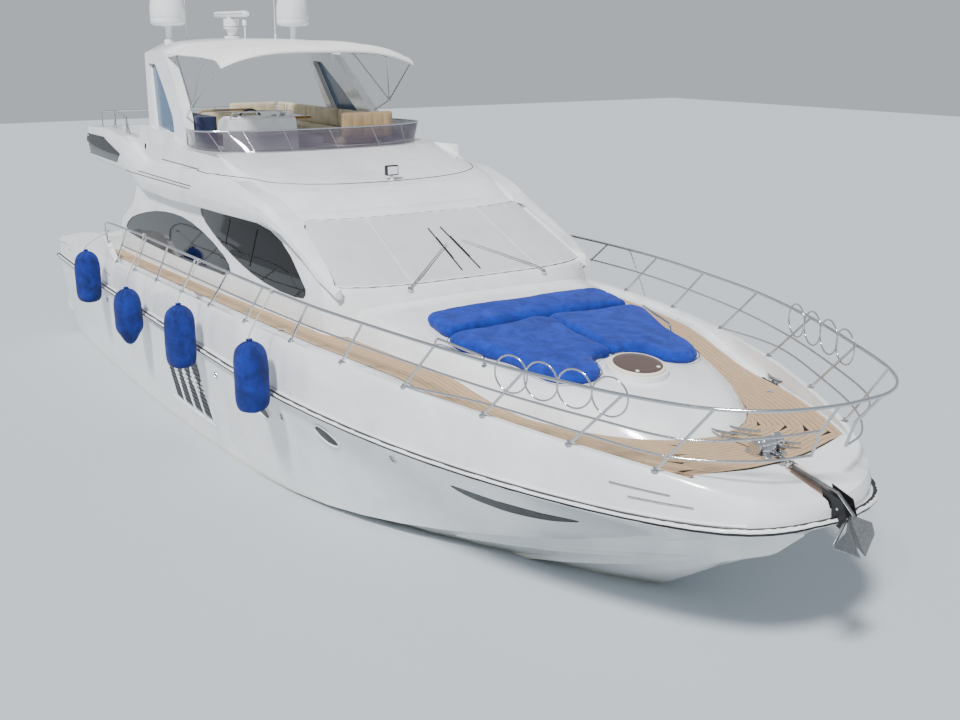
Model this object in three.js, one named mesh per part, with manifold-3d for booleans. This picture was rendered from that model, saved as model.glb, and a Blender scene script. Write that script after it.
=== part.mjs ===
// Flybridge motor yacht, in millimetres: +X forward, +Y to port, +Z up.
// The origin is on the centreline at the waterline, halfway along the boat.
import * as THREE from "three";
import Module from "manifold-3d";

const wasm = await Module();
wasm.setup();
const { Manifold, Mesh } = wasm;

// Driving sizes
const BEAM = 4900;
const HALF = BEAM / 2;
const DECK_Z = 1700;
const SOLE_Z = 1250;
const FLY_Z = 3280;
const CEILING_Z = 3200;
const SPLIT_Z = 3120;
const CLEAR = 0.5;
const TRANSOM_X = -7000;
const STERN_X = -8250;
const HOUSE_AFT_X = -3450;
const WING_AFT_X = -4800;
const WELL_BOW_X = 7540;

// Hull lines from the transom to the stem, one row per station.
const HULL_COLUMNS = ["keelX", "keelZ", "chineX", "chineY", "chineZ", "railX", "railY", "railZ", "capZ"];
const HULL_ROWS = [
  [-6950, -600, -6965, 2100, -90, -7000, 2340, 1430, 1750],
  [-5600, -640, -5600, 2180, -80, -5600, 2400, 1430, 1840],
  [-3600, -700, -3600, 2250, -60, -3600, 2435, 1430, 1860],
  [-1600, -750, -1600, 2270, -40, -1600, HALF, 1430, 1920],
  [400, -780, 400, 2210, -10, 400, HALF, 1420, 1975],
  [2100, -780, 2100, 2050, 30, 2150, 2430, 1410, 2010],
  [3300, -740, 3300, 1770, 110, 3400, 2330, 1400, 2010],
  [4200, -660, 4300, 1400, 230, 4600, 2140, 1390, 1975],
  [5000, -510, 5200, 1000, 390, 5600, 1885, 1385, 1920],
  [5700, -230, 6000, 640, 570, 6400, 1600, 1380, 1855],
  [6250, 90, 6700, 370, 770, 7050, 1310, 1380, 1790],
  [6700, 390, 7250, 170, 950, 7550, 1020, 1390, 1715],
  [7000, 590, 7560, 70, 1050, 7870, 740, 1405, 1650],
  [7180, 700, 7720, 25, 1110, 8040, 420, 1420, 1605],
  [7280, 780, 7800, 0, 1160, 8140, 0, 1440, 1580],
];

// Deckhouse plan at rising heights.
const HOUSE_COLUMNS = ["z", "frontX", "cornerX", "cornerY", "midY", "aftY"];
const HOUSE_ROWS = [
  [1700, 3110, 2500, 1800, 1880, 1860],
  [2250, 3010, 2460, 1795, 1870, 1850],
  [2450, 2920, 2390, 1765, 1850, 1840],
  [3090, 1500, 1060, 1625, 1770, 1780],
  [3300, 1010, 640, 1600, 1760, 1780],
];

// Flybridge moulding plan at rising heights.
const FLY_COLUMNS = ["z", "frontX", "cornerX", "cornerY", "midY", "aftY", "aftX"];
const FLY_ROWS = [
  [3060, 1565, 1120, 1630, 1760, 1700, -6380],
  [3150, 1360, 930, 1640, 1790, 1760, -6480],
  [3350, 800, 460, 1620, 1790, 1780, -6600],
  [3412, 470, 120, 1615, 1785, 1775, -6610],
  [3620, -540, -880, 1640, 1760, 1740, -6640],
];

// Moulded beam along each side of the superstructure, from the stern to the foot of the windscreen.
const BEAM_COLUMNS = ["x", "inY", "outY", "lowZ", "highZ"];
const BEAM_ROWS = [
  [-6450, 1650, 1860, 3400, 3560],
  [-6180, 1650, 1900, 3200, 3640],
  [-5300, 1650, 1915, 3160, 3680],
  [-4400, 1650, 1930, 3160, 3610],
  [-3880, 1650, 1940, 3100, 3500],
  [-3300, 1650, 1945, 2930, 3310],
  [-2000, 1650, 1945, 2920, 3380],
  [-800, 1640, 1940, 2955, 3420],
  [300, 1600, 1905, 2975, 3370],
  [1000, 1540, 1850, 2975, 3220],
  [1500, 1510, 1815, 2880, 3030],
  [2000, 1580, 1800, 2700, 2830],
  [2400, 1640, 1800, 2520, 2660],
  [2720, 1660, 1740, 2380, 2490],
];

// Coachroof on the foredeck, by station along the boat.
const ROOF_COLUMNS = ["x", "footY", "edgeY", "edgeZ", "topZ"];
const ROOF_ROWS = [
  [2300, 1660, 1500, 2250, 2400],
  [3200, 1640, 1470, 2200, 2310],
  [4000, 1540, 1360, 2120, 2210],
  [4800, 1370, 1190, 2040, 2130],
  [5500, 1160, 990, 1960, 2055],
  [6100, 920, 750, 1880, 1965],
  [6480, 650, 480, 1800, 1880],
  [6680, 390, 250, 1740, 1790],
  [6770, 120, 60, 1702, 1705],
];

// Point through the rows of a table, as a smooth curve in each column.
function blend(rows, columns, t) {
  const last = rows.length - 1;
  const i = Math.min(Math.floor(t), last - 1);
  const u = t - i;
  const at = (k) => rows[Math.max(0, Math.min(last, k))];
  const out = {};
  columns.forEach((name, c) => {
    const [a, b, d, e] = [at(i - 1)[c], at(i)[c], at(i + 1)[c], at(i + 2)[c]];
    const m0 = i === 0 ? d - b : (d - a) / 2;
    const m1 = i === last - 1 ? d - b : (e - b) / 2;
    const u2 = u * u;
    const u3 = u2 * u;
    out[name] = (2 * u3 - 3 * u2 + 1) * b + (u3 - 2 * u2 + u) * m0
      + (3 * u2 - 2 * u3) * d + (u3 - u2) * m1;
  });
  return out;
}

// Even steps through a table.
function steps(rows, per) {
  const n = (rows.length - 1) * per;
  return Array.from({ length: n + 1 }, (_, k) => k / per);
}

// Solid of a closed geometry: equal points become one and flat triangles go.
function solid(geometry) {
  const place = geometry.getAttribute("position");
  const index = new Map();
  const kept = [];
  const to = [];
  for (let i = 0; i < place.count; i++) {
    const p = [place.getX(i), place.getY(i), place.getZ(i)];
    const key = p.map((v) => Math.round(v * 100)).join(",");
    if (!index.has(key)) {
      index.set(key, kept.length / 3);
      kept.push(...p);
    }
    to.push(index.get(key));
  }
  const corners = geometry.index ? Array.from(geometry.index.array) : to.map((_, i) => i);
  const faces = [];
  for (let i = 0; i < corners.length; i += 3) {
    const [a, b, c] = corners.slice(i, i + 3).map((k) => to[k]);
    if (a !== b && b !== c && c !== a) faces.push([a, b, c]);
  }
  const made = meshed(kept, faces);
  return made.volume() >= 0 ? made : meshed(kept, faces.map(([a, b, c]) => [a, c, b]));
}

function meshed(points, faces) {
  return new Manifold(new Mesh({
    numProp: 3,
    vertProperties: new Float32Array(points),
    triVerts: new Uint32Array(faces.flat()),
  }));
}

// Geometry from points and triangles.
function surface(points, faces) {
  const geometry = new THREE.BufferGeometry();
  geometry.setAttribute("position", new THREE.Float32BufferAttribute(points.flat(), 3));
  geometry.setIndex(faces.flat());
  return geometry;
}

// Solid moved, turned or mirrored by a matrix.
function moved(shape, matrix) {
  const mesh = shape.getMesh();
  const geometry = new THREE.BufferGeometry();
  geometry.setAttribute("position", new THREE.BufferAttribute(mesh.vertProperties, 3));
  geometry.applyMatrix4(matrix);
  const corners = Array.from(mesh.triVerts);
  const faces = [];
  for (let i = 0; i < corners.length; i += 3) {
    const [a, b, c] = corners.slice(i, i + 3);
    faces.push(matrix.determinant() < 0 ? [a, c, b] : [a, b, c]);
  }
  return meshed(geometry.getAttribute("position").array, faces);
}

function shifted(shape, x, y, z) {
  return moved(shape, new THREE.Matrix4().makeTranslation(x, y, z));
}

// Mirror to the other side of the boat.
function otherSide(shape) {
  return moved(shape, new THREE.Matrix4().makeScale(1, -1, 1));
}

// Solid through a row of loops with the same number of points, closed by a fan at each end.
function loft(rings) {
  const n = rings[0].length;
  const points = rings.flat();
  const faces = [];
  for (let k = 0; k + 1 < rings.length; k++) {
    for (let i = 0; i < n; i++) {
      const [a, b] = [k * n + i, k * n + (i + 1) % n];
      faces.push([a, b, b + n], [a, b + n, a + n]);
    }
  }
  const middle = (ring) => [0, 1, 2].map((c) => ring.reduce((s, p) => s + p[c], 0) / n);
  const [first, end] = [points.length, points.length + 1];
  points.push(middle(rings[0]), middle(rings[rings.length - 1]));
  const base = (rings.length - 1) * n;
  for (let i = 0; i < n; i++) {
    faces.push([first, (i + 1) % n, i], [end, base + i, base + (i + 1) % n]);
  }
  return solid(surface(points, faces));
}

// Solid panel between two sheets of points that have the same rows and columns.
function panel(front, back) {
  const rings = front.map((row, k) => [...row, ...[...back[k]].reverse()]);
  const n = rings[0].length;
  const half = front[0].length;
  const points = rings.flat();
  const faces = [];
  for (let k = 0; k + 1 < rings.length; k++) {
    for (let i = 0; i < n; i++) {
      const [a, b] = [k * n + i, k * n + (i + 1) % n];
      faces.push([a, b, b + n], [a, b + n, a + n]);
    }
  }
  const base = (rings.length - 1) * n;
  for (let i = 0; i + 1 < half; i++) {
    const [p, q] = [n - 1 - i, n - 2 - i];
    faces.push([i, p, q], [i, q, i + 1]);
    faces.push([base + i, base + q, base + p], [base + i, base + i + 1, base + q]);
  }
  return solid(surface(points, faces));
}

// Flat plates: an outline in plan, seen from the side (x, z) or seen from ahead (y, z).
function plate(outline, thickness) {
  const shape = new THREE.Shape(outline.map(([a, b]) => new THREE.Vector2(a, b)));
  return new THREE.ExtrudeGeometry(shape, { depth: thickness, bevelEnabled: false, steps: 1 });
}

function planPlate(outline, z0, z1) {
  return solid(plate(outline, z1 - z0).translate(0, 0, z0));
}

function sidePlate(outline, y0, y1) {
  return solid(plate(outline, y1 - y0).rotateX(Math.PI / 2).translate(0, y1, 0));
}

const SEEN_FROM_AHEAD = new THREE.Matrix4().makeBasis(
  new THREE.Vector3(0, 1, 0), new THREE.Vector3(0, 0, 1), new THREE.Vector3(1, 0, 0));

function frontPlate(outline, x0, x1) {
  return solid(plate(outline, x1 - x0).applyMatrix4(SEEN_FROM_AHEAD).translate(x0, 0, 0));
}

function box(x0, x1, y0, y1, z0, z1) {
  return solid(new THREE.BoxGeometry(x1 - x0, y1 - y0, z1 - z0)
    .translate((x0 + x1) / 2, (y0 + y1) / 2, (z0 + z1) / 2));
}

// Round bar along an axis letter, from its start point.
function rod(axis, [x, y, z], length, r0, r1 = r0, sides = 16) {
  const bar = new THREE.CylinderGeometry(r1, r0, length, sides).translate(0, length / 2, 0);
  if (axis === "x") bar.rotateZ(-Math.PI / 2);
  if (axis === "z") bar.rotateX(Math.PI / 2);
  return solid(bar.translate(x, y, z));
}

// Solid turned about the Z axis from a profile of radius and height that ends on the axis.
function lathed(profile, sides) {
  const points = profile.map(([r, z]) => new THREE.Vector2(r, z));
  return solid(new THREE.LatheGeometry(points, sides).rotateX(Math.PI / 2));
}

// Bar between two points, or along a smooth curve through more.
function tube(points, radius, sides = 6, divisions = 1) {
  const v = points.map((p) => new THREE.Vector3(...p));
  const path = v.length === 2
    ? new THREE.LineCurve3(v[0], v[1])
    : new THREE.CatmullRomCurve3(v, false, "centripetal");
  const ring = new THREE.Shape(Array.from({ length: sides }, (_, k) => {
    const a = (k + 0.5) * 2 * Math.PI / sides;
    return new THREE.Vector2(Math.cos(a) * radius, Math.sin(a) * radius);
  }));
  const sweep = { extrudePath: path, steps: divisions, bevelEnabled: false };
  return solid(new THREE.ExtrudeGeometry(ring, sweep));
}

// Smooth path through a few points.
function curve(points, divisions) {
  const c = new THREE.CatmullRomCurve3(points.map((p) => new THREE.Vector3(...p)), false, "centripetal");
  return c.getPoints(divisions).map((p) => p.toArray());
}

// Outline with rounded corners from its corner points.
function rounded(outline, radius, arc = 4) {
  const n = outline.length;
  const out = [];
  outline.forEach((p, i) => {
    const a = outline[(i + n - 1) % n];
    const b = outline[(i + 1) % n];
    const pull = (q) => {
      const d = Math.hypot(q[0] - p[0], q[1] - p[1]);
      const r = Math.min(radius, d / 2.1);
      return [p[0] + (q[0] - p[0]) * r / d, p[1] + (q[1] - p[1]) * r / d];
    };
    const [s, e] = [pull(a), pull(b)];
    for (let k = 0; k <= arc; k++) {
      const t = k / arc;
      out.push([0, 1].map((c) => (1 - t) ** 2 * s[c] + 2 * t * (1 - t) * p[c] + t * t * e[c]));
    }
  });
  return out;
}

// Smooth closed outline through a few points.
function smoothLoop(outline, divisions) {
  const c = new THREE.CatmullRomCurve3(
    outline.map(([a, b]) => new THREE.Vector3(a, b, 0)), true, "centripetal");
  return c.getPoints(divisions).slice(0, -1).map((p) => [p.x, p.y]);
}

function union(list) {
  return Manifold.union(list);
}

// Finishes: colour, roughness and metalness.
const FINISHES = {
  gelcoat: [0xf1f2f3, 0.16, 0],
  strake: [0x141416, 0.45, 0],
  teak: [0xa98258, 0.75, 0],
  varnish: [0xb7802c, 0.2, 0],
  blueCloth: [0x2b4bb4, 0.85, 0],
  navyCloth: [0x1c2333, 0.85, 0],
  greyMesh: [0xcfd1d3, 0.85, 0],
  canvas: [0xeeeeea, 0.8, 0],
  upholstery: [0xd3c4a6, 0.55, 0],
  grip: [0x1a1a1a, 0.6, 0],
  stainless: [0xe4e6e8, 0.12, 1],
  galvanised: [0xb9bbbd, 0.45, 1],
  darkGlass: [0x15181b, 0.05, 0],
  smoked: [0x3a4148, 0.06, 0],
  bronze: [0xcfa76a, 0.3, 1],
  enginePaint: [0x8d9092, 0.5, 0],
};

function material(finish) {
  const [color, roughness, metalness] = FINISHES[finish];
  return new THREE.MeshStandardMaterial({ color, roughness, metalness });
}

const root = new THREE.Group();

// Named mesh from a solid, in a group of the scene.
function add(name, finish, shape, group = root) {
  const mesh = shape.getMesh();
  const geometry = new THREE.BufferGeometry();
  geometry.setAttribute("position", new THREE.BufferAttribute(mesh.vertProperties, 3));
  geometry.setIndex(new THREE.BufferAttribute(mesh.triVerts, 1));
  geometry.computeVertexNormals();
  const made = new THREE.Mesh(geometry, material(finish));
  made.name = name;
  group.add(made);
  return made;
}

// Group with its own place and tilt about the Y axis.
function groupAt(x, y, z, tilt = 0, parent = root) {
  const group = new THREE.Group();
  group.position.set(x, y, z);
  group.rotation.y = tilt;
  parent.add(group);
  return group;
}

const HULL_T = steps(HULL_ROWS, 2);
const hullAt = (t) => blend(HULL_ROWS, HULL_COLUMNS, t);

// Plan outline of the gunwale, moved out by a distance, from the port quarter round the bow.
function gunwale(out, from = 0) {
  const side = HULL_T.filter((t) => t >= from).map((t) => {
    const h = hullAt(t);
    return [h.railX, Math.max(0, h.railY)];
  });
  const whole = [...side, ...side.slice(0, -1).reverse().map(([x, y]) => [x, -y])];
  return whole.map((p, i) => {
    const a = whole[Math.max(0, i - 1)];
    const b = whole[Math.min(whole.length - 1, i + 1)];
    const d = Math.hypot(b[0] - a[0], b[1] - a[1]);
    const normal = [(b[1] - a[1]) / d, -(b[0] - a[0]) / d];
    return [p[0] - normal[0] * out, p[1] - normal[1] * out];
  });
}

// One half of a hull section, keel to gunwale.
function hullSide(h) {
  const fore = THREE.MathUtils.smoothstep(h.railX, 1000, 6500);
  const bilge = 0.5;
  const lift = THREE.MathUtils.lerp(30, 70, fore);
  const shape = [
    [h.keelX, 0, h.keelZ],
    [THREE.MathUtils.lerp(h.keelX, h.chineX, bilge), h.chineY * bilge,
      THREE.MathUtils.lerp(h.keelZ, h.chineZ, bilge) - lift],
    [h.chineX, Math.max(h.chineY * 0.6, h.chineY - 70), h.chineZ - 12],
    [h.chineX, h.chineY, h.chineZ],
  ];
  for (const u of [0.16, 0.36, 0.6, 0.82]) {
    const bow = Math.sin(Math.PI * u) * THREE.MathUtils.lerp(30, -45, fore);
    const y = THREE.MathUtils.lerp(h.chineY, h.railY, u) + bow * Math.min(1, h.chineY / 300);
    shape.push([THREE.MathUtils.lerp(h.chineX, h.railX, u), Math.max(0, y),
      THREE.MathUtils.lerp(h.chineZ, h.railZ, u)]);
  }
  shape.push([h.railX, Math.max(0, h.railY), h.railZ]);
  return shape;
}

function hull() {
  const rings = HULL_T.map((t) => {
    const side = hullSide(hullAt(t));
    return [...side, ...side.slice(1).reverse().map(([x, y, z]) => [x, -y, z])];
  });
  const body = loft(rings);
  const tub = box(-6900, 2050, -2110, 2110, SOLE_Z - 55, 1500);
  const rooms = [1, -1].map((s) => box(-4950, -3350, s * 800 - 480, s * 800 + 480, -130, 1500));
  const gate = box(TRANSOM_X - 200, -6850, 1230, 1850, SOLE_Z, 1500);
  return body.subtract(union([tub, gate, ...rooms]));
}

// Section of the bulwark: how far inside the gunwale, and how high towards the cap.
const BULWARK = [[22, 0], [30, 0.55], [52, 0.88], [88, 1]];
const BULWARK_LINES = new Map(BULWARK.map(([inward]) => [inward, gunwale(-inward)]));

// Outside of the deck moulding, from the gunwale up to the bulwark cap.
function deckBlock() {
  const n = HULL_T.length;
  const rings = HULL_T.map((t, k) => {
    const h = hullAt(t);
    const low = h.railZ + CLEAR;
    const half = BULWARK.map(([inward, up]) => {
      const [x, y] = BULWARK_LINES.get(inward)[k];
      return [x, k === n - 1 ? 0 : y, low + (h.capZ - low) * up];
    });
    return [...half, ...[...half].reverse().map(([x, y, z]) => [x, -y, z])];
  });
  return loft(rings);
}

// Inside of the bulwark in plan, up to the white bow top.
function wellOutline() {
  const line = gunwale(-140).filter(([x]) => x < WELL_BOW_X - 60);
  const half = line.slice(0, Math.floor(line.length / 2)).filter(([, y]) => y > 0);
  const port = [[TRANSOM_X + 120, half[0][1] - 40], ...half.slice(1)];
  port.push([7380, 880], [7450, 620], [7520, 330], [WELL_BOW_X, 60]);
  return [...port, ...[...port].reverse().map(([x, y]) => [x, -y])];
}

function deck() {
  const quarter = sidePlate(rounded([
    [-6960, 1700], [-6700, 1760], [-5900, 1930], [-5100, 2080], [-4400, 2160], [-3980, 2160],
    [-3700, 1980], [-3500, 1870], [-3350, 1800], [-3350, 1700],
  ], 90, 2), 2278, 2352);
  const outside = union([deckBlock(), box(-6890, 2040, -2100, 2100, SOLE_Z - 50, 1460)]);
  const well = planPlate(wellOutline(), DECK_Z, 2600);
  const cockpit = planPlate(rounded([
    [-6720, -1980], [SIDE_DECK_X, -2050], [SIDE_DECK_X, 2050], [-6720, 1980],
  ], 160), SOLE_Z, 2600);
  const porch = box(SIDE_DECK_X - 200, -3500, -1640, 1640, SOLE_Z, 2600);
  const saloon = box(-3560, 1980, -1560, 1560, SOLE_Z, 2600);
  const lips = [quarter, otherSide(quarter)];
  const sideSteps = [1, -1].map((s) => box(SIDE_DECK_X - 350, SIDE_DECK_X + 5, s * 1835 - 210, s * 1835 + 210,
    SOLE_Z - 10, 1475));
  const gate = box(TRANSOM_X - 200, -6650, 1230, 1850, SOLE_Z, 2600);
  const pocket = sidePlate([[7480, 1650], [8200, 1485], [8200, 1900], [7480, 1900]], -80, 80);
  return outside.subtract(union([well, cockpit, porch, saloon])).add(union([...lips, ...sideSteps]))
    .subtract(union([gate, pocket]));
}

// Moulded rubbing strake, swept round the gunwale.
function rubRail() {
  const section = [[0.5, -38], [26, -42], [46, -26], [46, 0], [32, 14], [0.5, 14]];
  const lines = section.map(([out]) => gunwale(out));
  const n = lines[0].length;
  const rings = [];
  for (let k = 0; k < n; k++) {
    const t = HULL_T[k < HULL_T.length ? k : 2 * (HULL_T.length - 1) - k];
    const z = hullAt(t).railZ;
    rings.push(section.map(([, up], i) => [...lines[i][k], z + up]));
  }
  return loft(rings);
}

// Loop of a moulding in plan at one height.
function plan(row, aftX, out = 0) {
  const w = (y) => y + out;
  const front = 7;
  const half = [
    [aftX, w(row.aftY)],
    [(HOUSE_AFT_X - 400) / 2, w((row.midY + row.aftY) / 2)],
    [-400, w(row.midY)],
    [row.cornerX * 0.55 - 150, w(row.midY * 0.45 + row.cornerY * 0.55)],
  ];
  for (let i = 0; i <= front; i++) {
    const a = (i / front) * Math.PI / 2;
    const reach = row.frontX - row.cornerX + out;
    half.push([row.cornerX + reach * Math.sin(a) ** 1.15, w(row.cornerY) * Math.cos(a) ** 0.55]);
  }
  half[half.length - 1][1] = 0;
  const other = half.slice(0, -1).reverse().map(([x, y]) => [x, -y]);
  return [...half, ...other].map(([x, y]) => [x, y, row.z]);
}

function houseBlock(out, z0 = DECK_Z + CLEAR, z1 = 3300, aftX = WING_AFT_X) {
  const heights = [z0, ...[2250, 2450, 2690, 2890, 3090].filter((z) => z > z0 && z < z1), z1];
  const rings = heights.map((z) => {
    const rows = HOUSE_ROWS;
    const k = Math.max(0, rows.findIndex((r, i) => i + 1 < rows.length && z <= rows[i + 1][0]));
    const u = (z - rows[k][0]) / (rows[k + 1][0] - rows[k][0]);
    const row = {};
    HOUSE_COLUMNS.forEach((c, i) => {
      row[c] = THREE.MathUtils.lerp(rows[k][i], rows[k + 1][i], u);
    });
    row.z = z;
    return plan(row, aftX, out);
  });
  return loft(rings);
}

function flyBlock() {
  return loft(FLY_ROWS.map((r) => {
    const row = Object.fromEntries(FLY_COLUMNS.map((c, i) => [c, r[i]]));
    return plan(row, row.aftX);
  }));
}

function sideBeam() {
  const rings = steps(BEAM_ROWS, 1).map((t) => {
    const b = blend(BEAM_ROWS, BEAM_COLUMNS, t);
    const rise = b.highZ - b.lowZ;
    return [
      [b.x, b.inY, b.lowZ + 4],
      [b.x, b.outY - 30, b.lowZ],
      [b.x, b.outY, b.lowZ + rise * 0.3],
      [b.x, b.outY - 15, b.lowZ + rise * 0.7],
      [b.x, b.outY - 90, b.highZ],
      [b.x, b.inY, b.highZ + 6],
    ];
  });
  return loft(rings);
}

// Side windows, seen from the side.
const FRONT_WINDOW = smoothLoop([
  [-1180, 2890], [-1050, 2905], [-600, 2915], [100, 2925], [750, 2915], [1300, 2800],
  [1760, 2580], [2090, 2360], [2060, 2285], [1680, 2245], [960, 2270], [400, 2350],
  [-50, 2450], [-670, 2620], [-1090, 2780],
], 24);
const AFT_WINDOW = smoothLoop([
  [-4520, 2200], [-4250, 2370], [-3680, 2520], [-2970, 2640], [-2290, 2695], [-1650, 2685], [-910, 2580],
  [-250, 2410], [-20, 2260], [-110, 2180], [-700, 2140], [-1580, 2110], [-3350, 2095], [-4480, 2150],
], 24);

// Where the deckhouse sides end beside the cockpit, seen from the side: all aft of this line is open.
const WING_EDGE = [
  [-5200, 1650], [-4700, 1650], [-4790, 2120], [-4660, 2330], [-4400, 2460], [-4110, 2620], [-3960, 2850],
  [-3900, 3140], [-3900, 3250], [-5200, 3250],
];
const SIDE_DECK_X = -4800;
const SCREEN = [
  [-1640, 2470], [-1700, 2520], [-1560, 3000], [-1480, 3045], [1480, 3045], [1560, 3000],
  [1700, 2520], [1640, 2470],
];

// Outline with its points in anticlockwise order.
function ordered(outline) {
  const area = outline.reduce((sum, [x, y], i) => {
    const [u, v] = outline[(i + 1) % outline.length];
    return sum + x * v - u * y;
  }, 0);
  return area < 0 ? [...outline].reverse() : outline;
}

// Outline moved out by a distance, or in by a negative one.
function grown(outline, by) {
  const line = ordered(outline);
  const n = line.length;
  const unit = (p, q) => {
    const d = Math.hypot(q[0] - p[0], q[1] - p[1]);
    return [(q[0] - p[0]) / d, (q[1] - p[1]) / d];
  };
  return line.map((p, i) => {
    const u = unit(line[(i + n - 1) % n], p);
    const v = unit(p, line[(i + 1) % n]);
    const k = 1 + u[0] * v[0] + u[1] * v[1];
    return [p[0] + by * (u[1] + v[1]) / k, p[1] - by * (u[0] + v[0]) / k];
  });
}

function windowCut(outline, by) {
  return union([1, -1].map((s) => {
    const cut = sidePlate(grown(outline, by), 1300, 2200);
    return s > 0 ? cut : otherSide(cut);
  }));
}

function screenCut(by) {
  return frontPlate(grown(SCREEN, by), 1180, 3200);
}

// Deckhouse and flybridge as they leave the mould, before the parting line.
function superstructure() {
  const beam = sideBeam();
  const fins = [1, -1].map((s) => {
    const fin = sidePlate(rounded([
      [-1280, 3400], [-1810, 3590], [-2230, 3715], [-2790, 3805], [-3290, 3845], [-3640, 3835],
      [-3740, 3770], [-3930, 3330], [-1280, 3300],
    ], 60, 2), 1620, 1745);
    return s > 0 ? fin : otherSide(fin);
  });
  const walls = houseBlock(0).subtract(sidePlate(WING_EDGE, -2100, 2100));
  const outside = union([walls, flyBlock(), beam, otherSide(beam)]);
  const inside = roomSpace(0);
  const flyWell = planPlate(rounded([
    [-6430, -1520], [-1800, -1540], [-1250, -1250], [-1060, -600], [-1060, 600],
    [-1250, 1250], [-1800, 1540], [-6430, 1520],
  ], 240), FLY_Z, 4000);
  const stairwell = box(-5250, -3600, -1440, -820, 3000, 3400);
  return outside.subtract(union([inside, windowCut(FRONT_WINDOW, 0),
    windowCut(AFT_WINDOW, 0), screenCut(0)]))
    .add(union(fins))
    .subtract(union([flyWell, stairwell]));
}

// Space inside the walls, open towards the cockpit, less a gap all round.
function roomSpace(gap) {
  return houseBlock(-75 - gap, 1600, CEILING_Z - gap, WING_AFT_X - 200)
    .intersect(box(WING_AFT_X - 200, 3200, -2000, 2000, 1600, CEILING_Z - gap));
}

function coachroof() {
  const rings = steps(ROOF_ROWS, 2).map((t) => {
    const r = blend(ROOF_ROWS, ROOF_COLUMNS, t);
    const z = DECK_Z + CLEAR;
    const edge = Math.max(r.edgeZ, z + 3);
    const top = Math.max(r.topZ, edge + 3);
    const half = [
      [r.x, r.footY, z],
      [r.x, r.edgeY + (r.footY - r.edgeY) * 0.55, edge - (edge - z) * 0.22],
      [r.x, r.edgeY, edge + (top - edge) * 0.3],
      [r.x, r.edgeY * 0.82, edge + (top - edge) * 0.72],
      [r.x, r.edgeY * 0.45, edge + (top - edge) * 0.95],
    ];
    return [...half, [r.x, 0, top], ...[...half].reverse().map(([x, y, w]) => [x, -y, w])];
  });
  const lidHole = rod("z", [HATCH_X, 0, 1900], 400, 262, 262, 24);
  return union([loft(rings), hatchFrame()]).subtract(union([houseBlock(4, 1600), lidHole]));
}

const HATCH_X = 5640;
const HATCH_TILT = THREE.MathUtils.degToRad(8.5);

// Height of the coachroof at a point.
function roofTop(x, y) {
  let t = 0;
  while (t < ROOF_ROWS.length - 1 && blend(ROOF_ROWS, ROOF_COLUMNS, t).x < x) t += 0.05;
  const r = blend(ROOF_ROWS, ROOF_COLUMNS, Math.min(t, ROOF_ROWS.length - 1));
  const u = Math.min(1, Math.abs(y) / r.edgeY);
  return r.edgeZ + (r.topZ - r.edgeZ) * (1 - 0.7 * u ** 2.2);
}

// Moulded ring round the hatch, in the roof's own slope.
function hatchFrame() {
  const ring = rod("z", [0, 0, -70], 122, 318, 300, 24)
    .subtract(rod("z", [0, 0, -75], 160, 252, 252, 24));
  const place = new THREE.Matrix4().makeRotationY(HATCH_TILT).setPosition(HATCH_X, 0, hatchZ());
  return moved(ring, place);
}

function hatchZ() {
  return roofTop(HATCH_X, 0) + 6;
}

function hatchLid() {
  const knuckle = rod("y", [-284, -60, 62], 120, 8, 8, 8);
  const web = box(-284, -250, -60, 60, 53.5, 66);
  return union([rod("z", [0, 0, 52.5], 22, 272, 262, 24), knuckle, web]);
}

// Sunbathing pad on the coachroof: its outline cut from a slab that follows the roof.
function pad(outline, low, high) {
  const ends = (c) => [Math.min(...outline.map((p) => p[c])), Math.max(...outline.map((p) => p[c]))];
  const spread = ([a, b], n) => Array.from({ length: n + 1 }, (_, k) => a - 20 + (b - a + 40) * k / n);
  const xs = spread(ends(0), 5);
  const ys = spread(ends(1), 5);
  const sheet = (up) => xs.map((x) => ys.map((y) => [x, y, roofTop(x, y) + up]));
  return panel(sheet(high), sheet(low))
    .intersect(planPlate(outline, 1500, 2700))
    .subtract(shifted(roofShape, 0, 0, CLEAR));
}

function sunpad() {
  return pad([
    [4180, 8], [4180, 1220], [4320, 1260], [4620, 1150], [4950, 1030], [5300, 980], [5530, 910],
    [5680, 760], [5715, 580], [5650, 430], [5520, 345], [5360, 280], [5285, 120], [5270, 8],
  ], -10, 95);
}

function headrest() {
  return pad(rounded([[3560, -1180], [3560, 1180], [4140, 1230], [4140, -1230]], 110, 3), -10, 165);
}

// Swim platform with moulded steps up to the gate.
function swimPlatform() {
  const board = planPlate(rounded([
    [-6940, -2110], [-8000, -2080], [STERN_X, -1700], [STERN_X, 1700], [-8000, 2080], [-6940, 2110],
  ], 180), 290, 410);
  const stairs = [0, 1, 2].map((k) => box(-7760 + k * 245, -6940, 1230, 1850, 400, 625 + k * 215));
  return union([board, ...stairs]).subtract(shifted(hullShape, -CLEAR, 0, 0));
}

function teakDeck() {
  return planPlate(grown(wellOutline(), -34), DECK_Z + CLEAR, DECK_Z + 14).subtract(plankingStop());
}

// What the side deck planks stop at: deckhouse, coachroof and cockpit.
function plankingStop() {
  const house = houseBlock(28, 1600, 2250);
  const roof = steps(ROOF_ROWS, 2).map((t) => {
    const r = blend(ROOF_ROWS, ROOF_COLUMNS, t);
    return [r.x + (t > 7 ? 40 : 0), r.footY + 30];
  });
  const shape = [...roof, ...[...roof].reverse().map(([x, y]) => [x, -y])];
  const aft = box(-7100, SIDE_DECK_X + 20, -2500, 2500, 1600, 1800);
  return union([house, planPlate(shape, 1600, 1800), aft, box(-4900, 2400, -1800, 1800, 1600, 1800)]);
}

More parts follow.
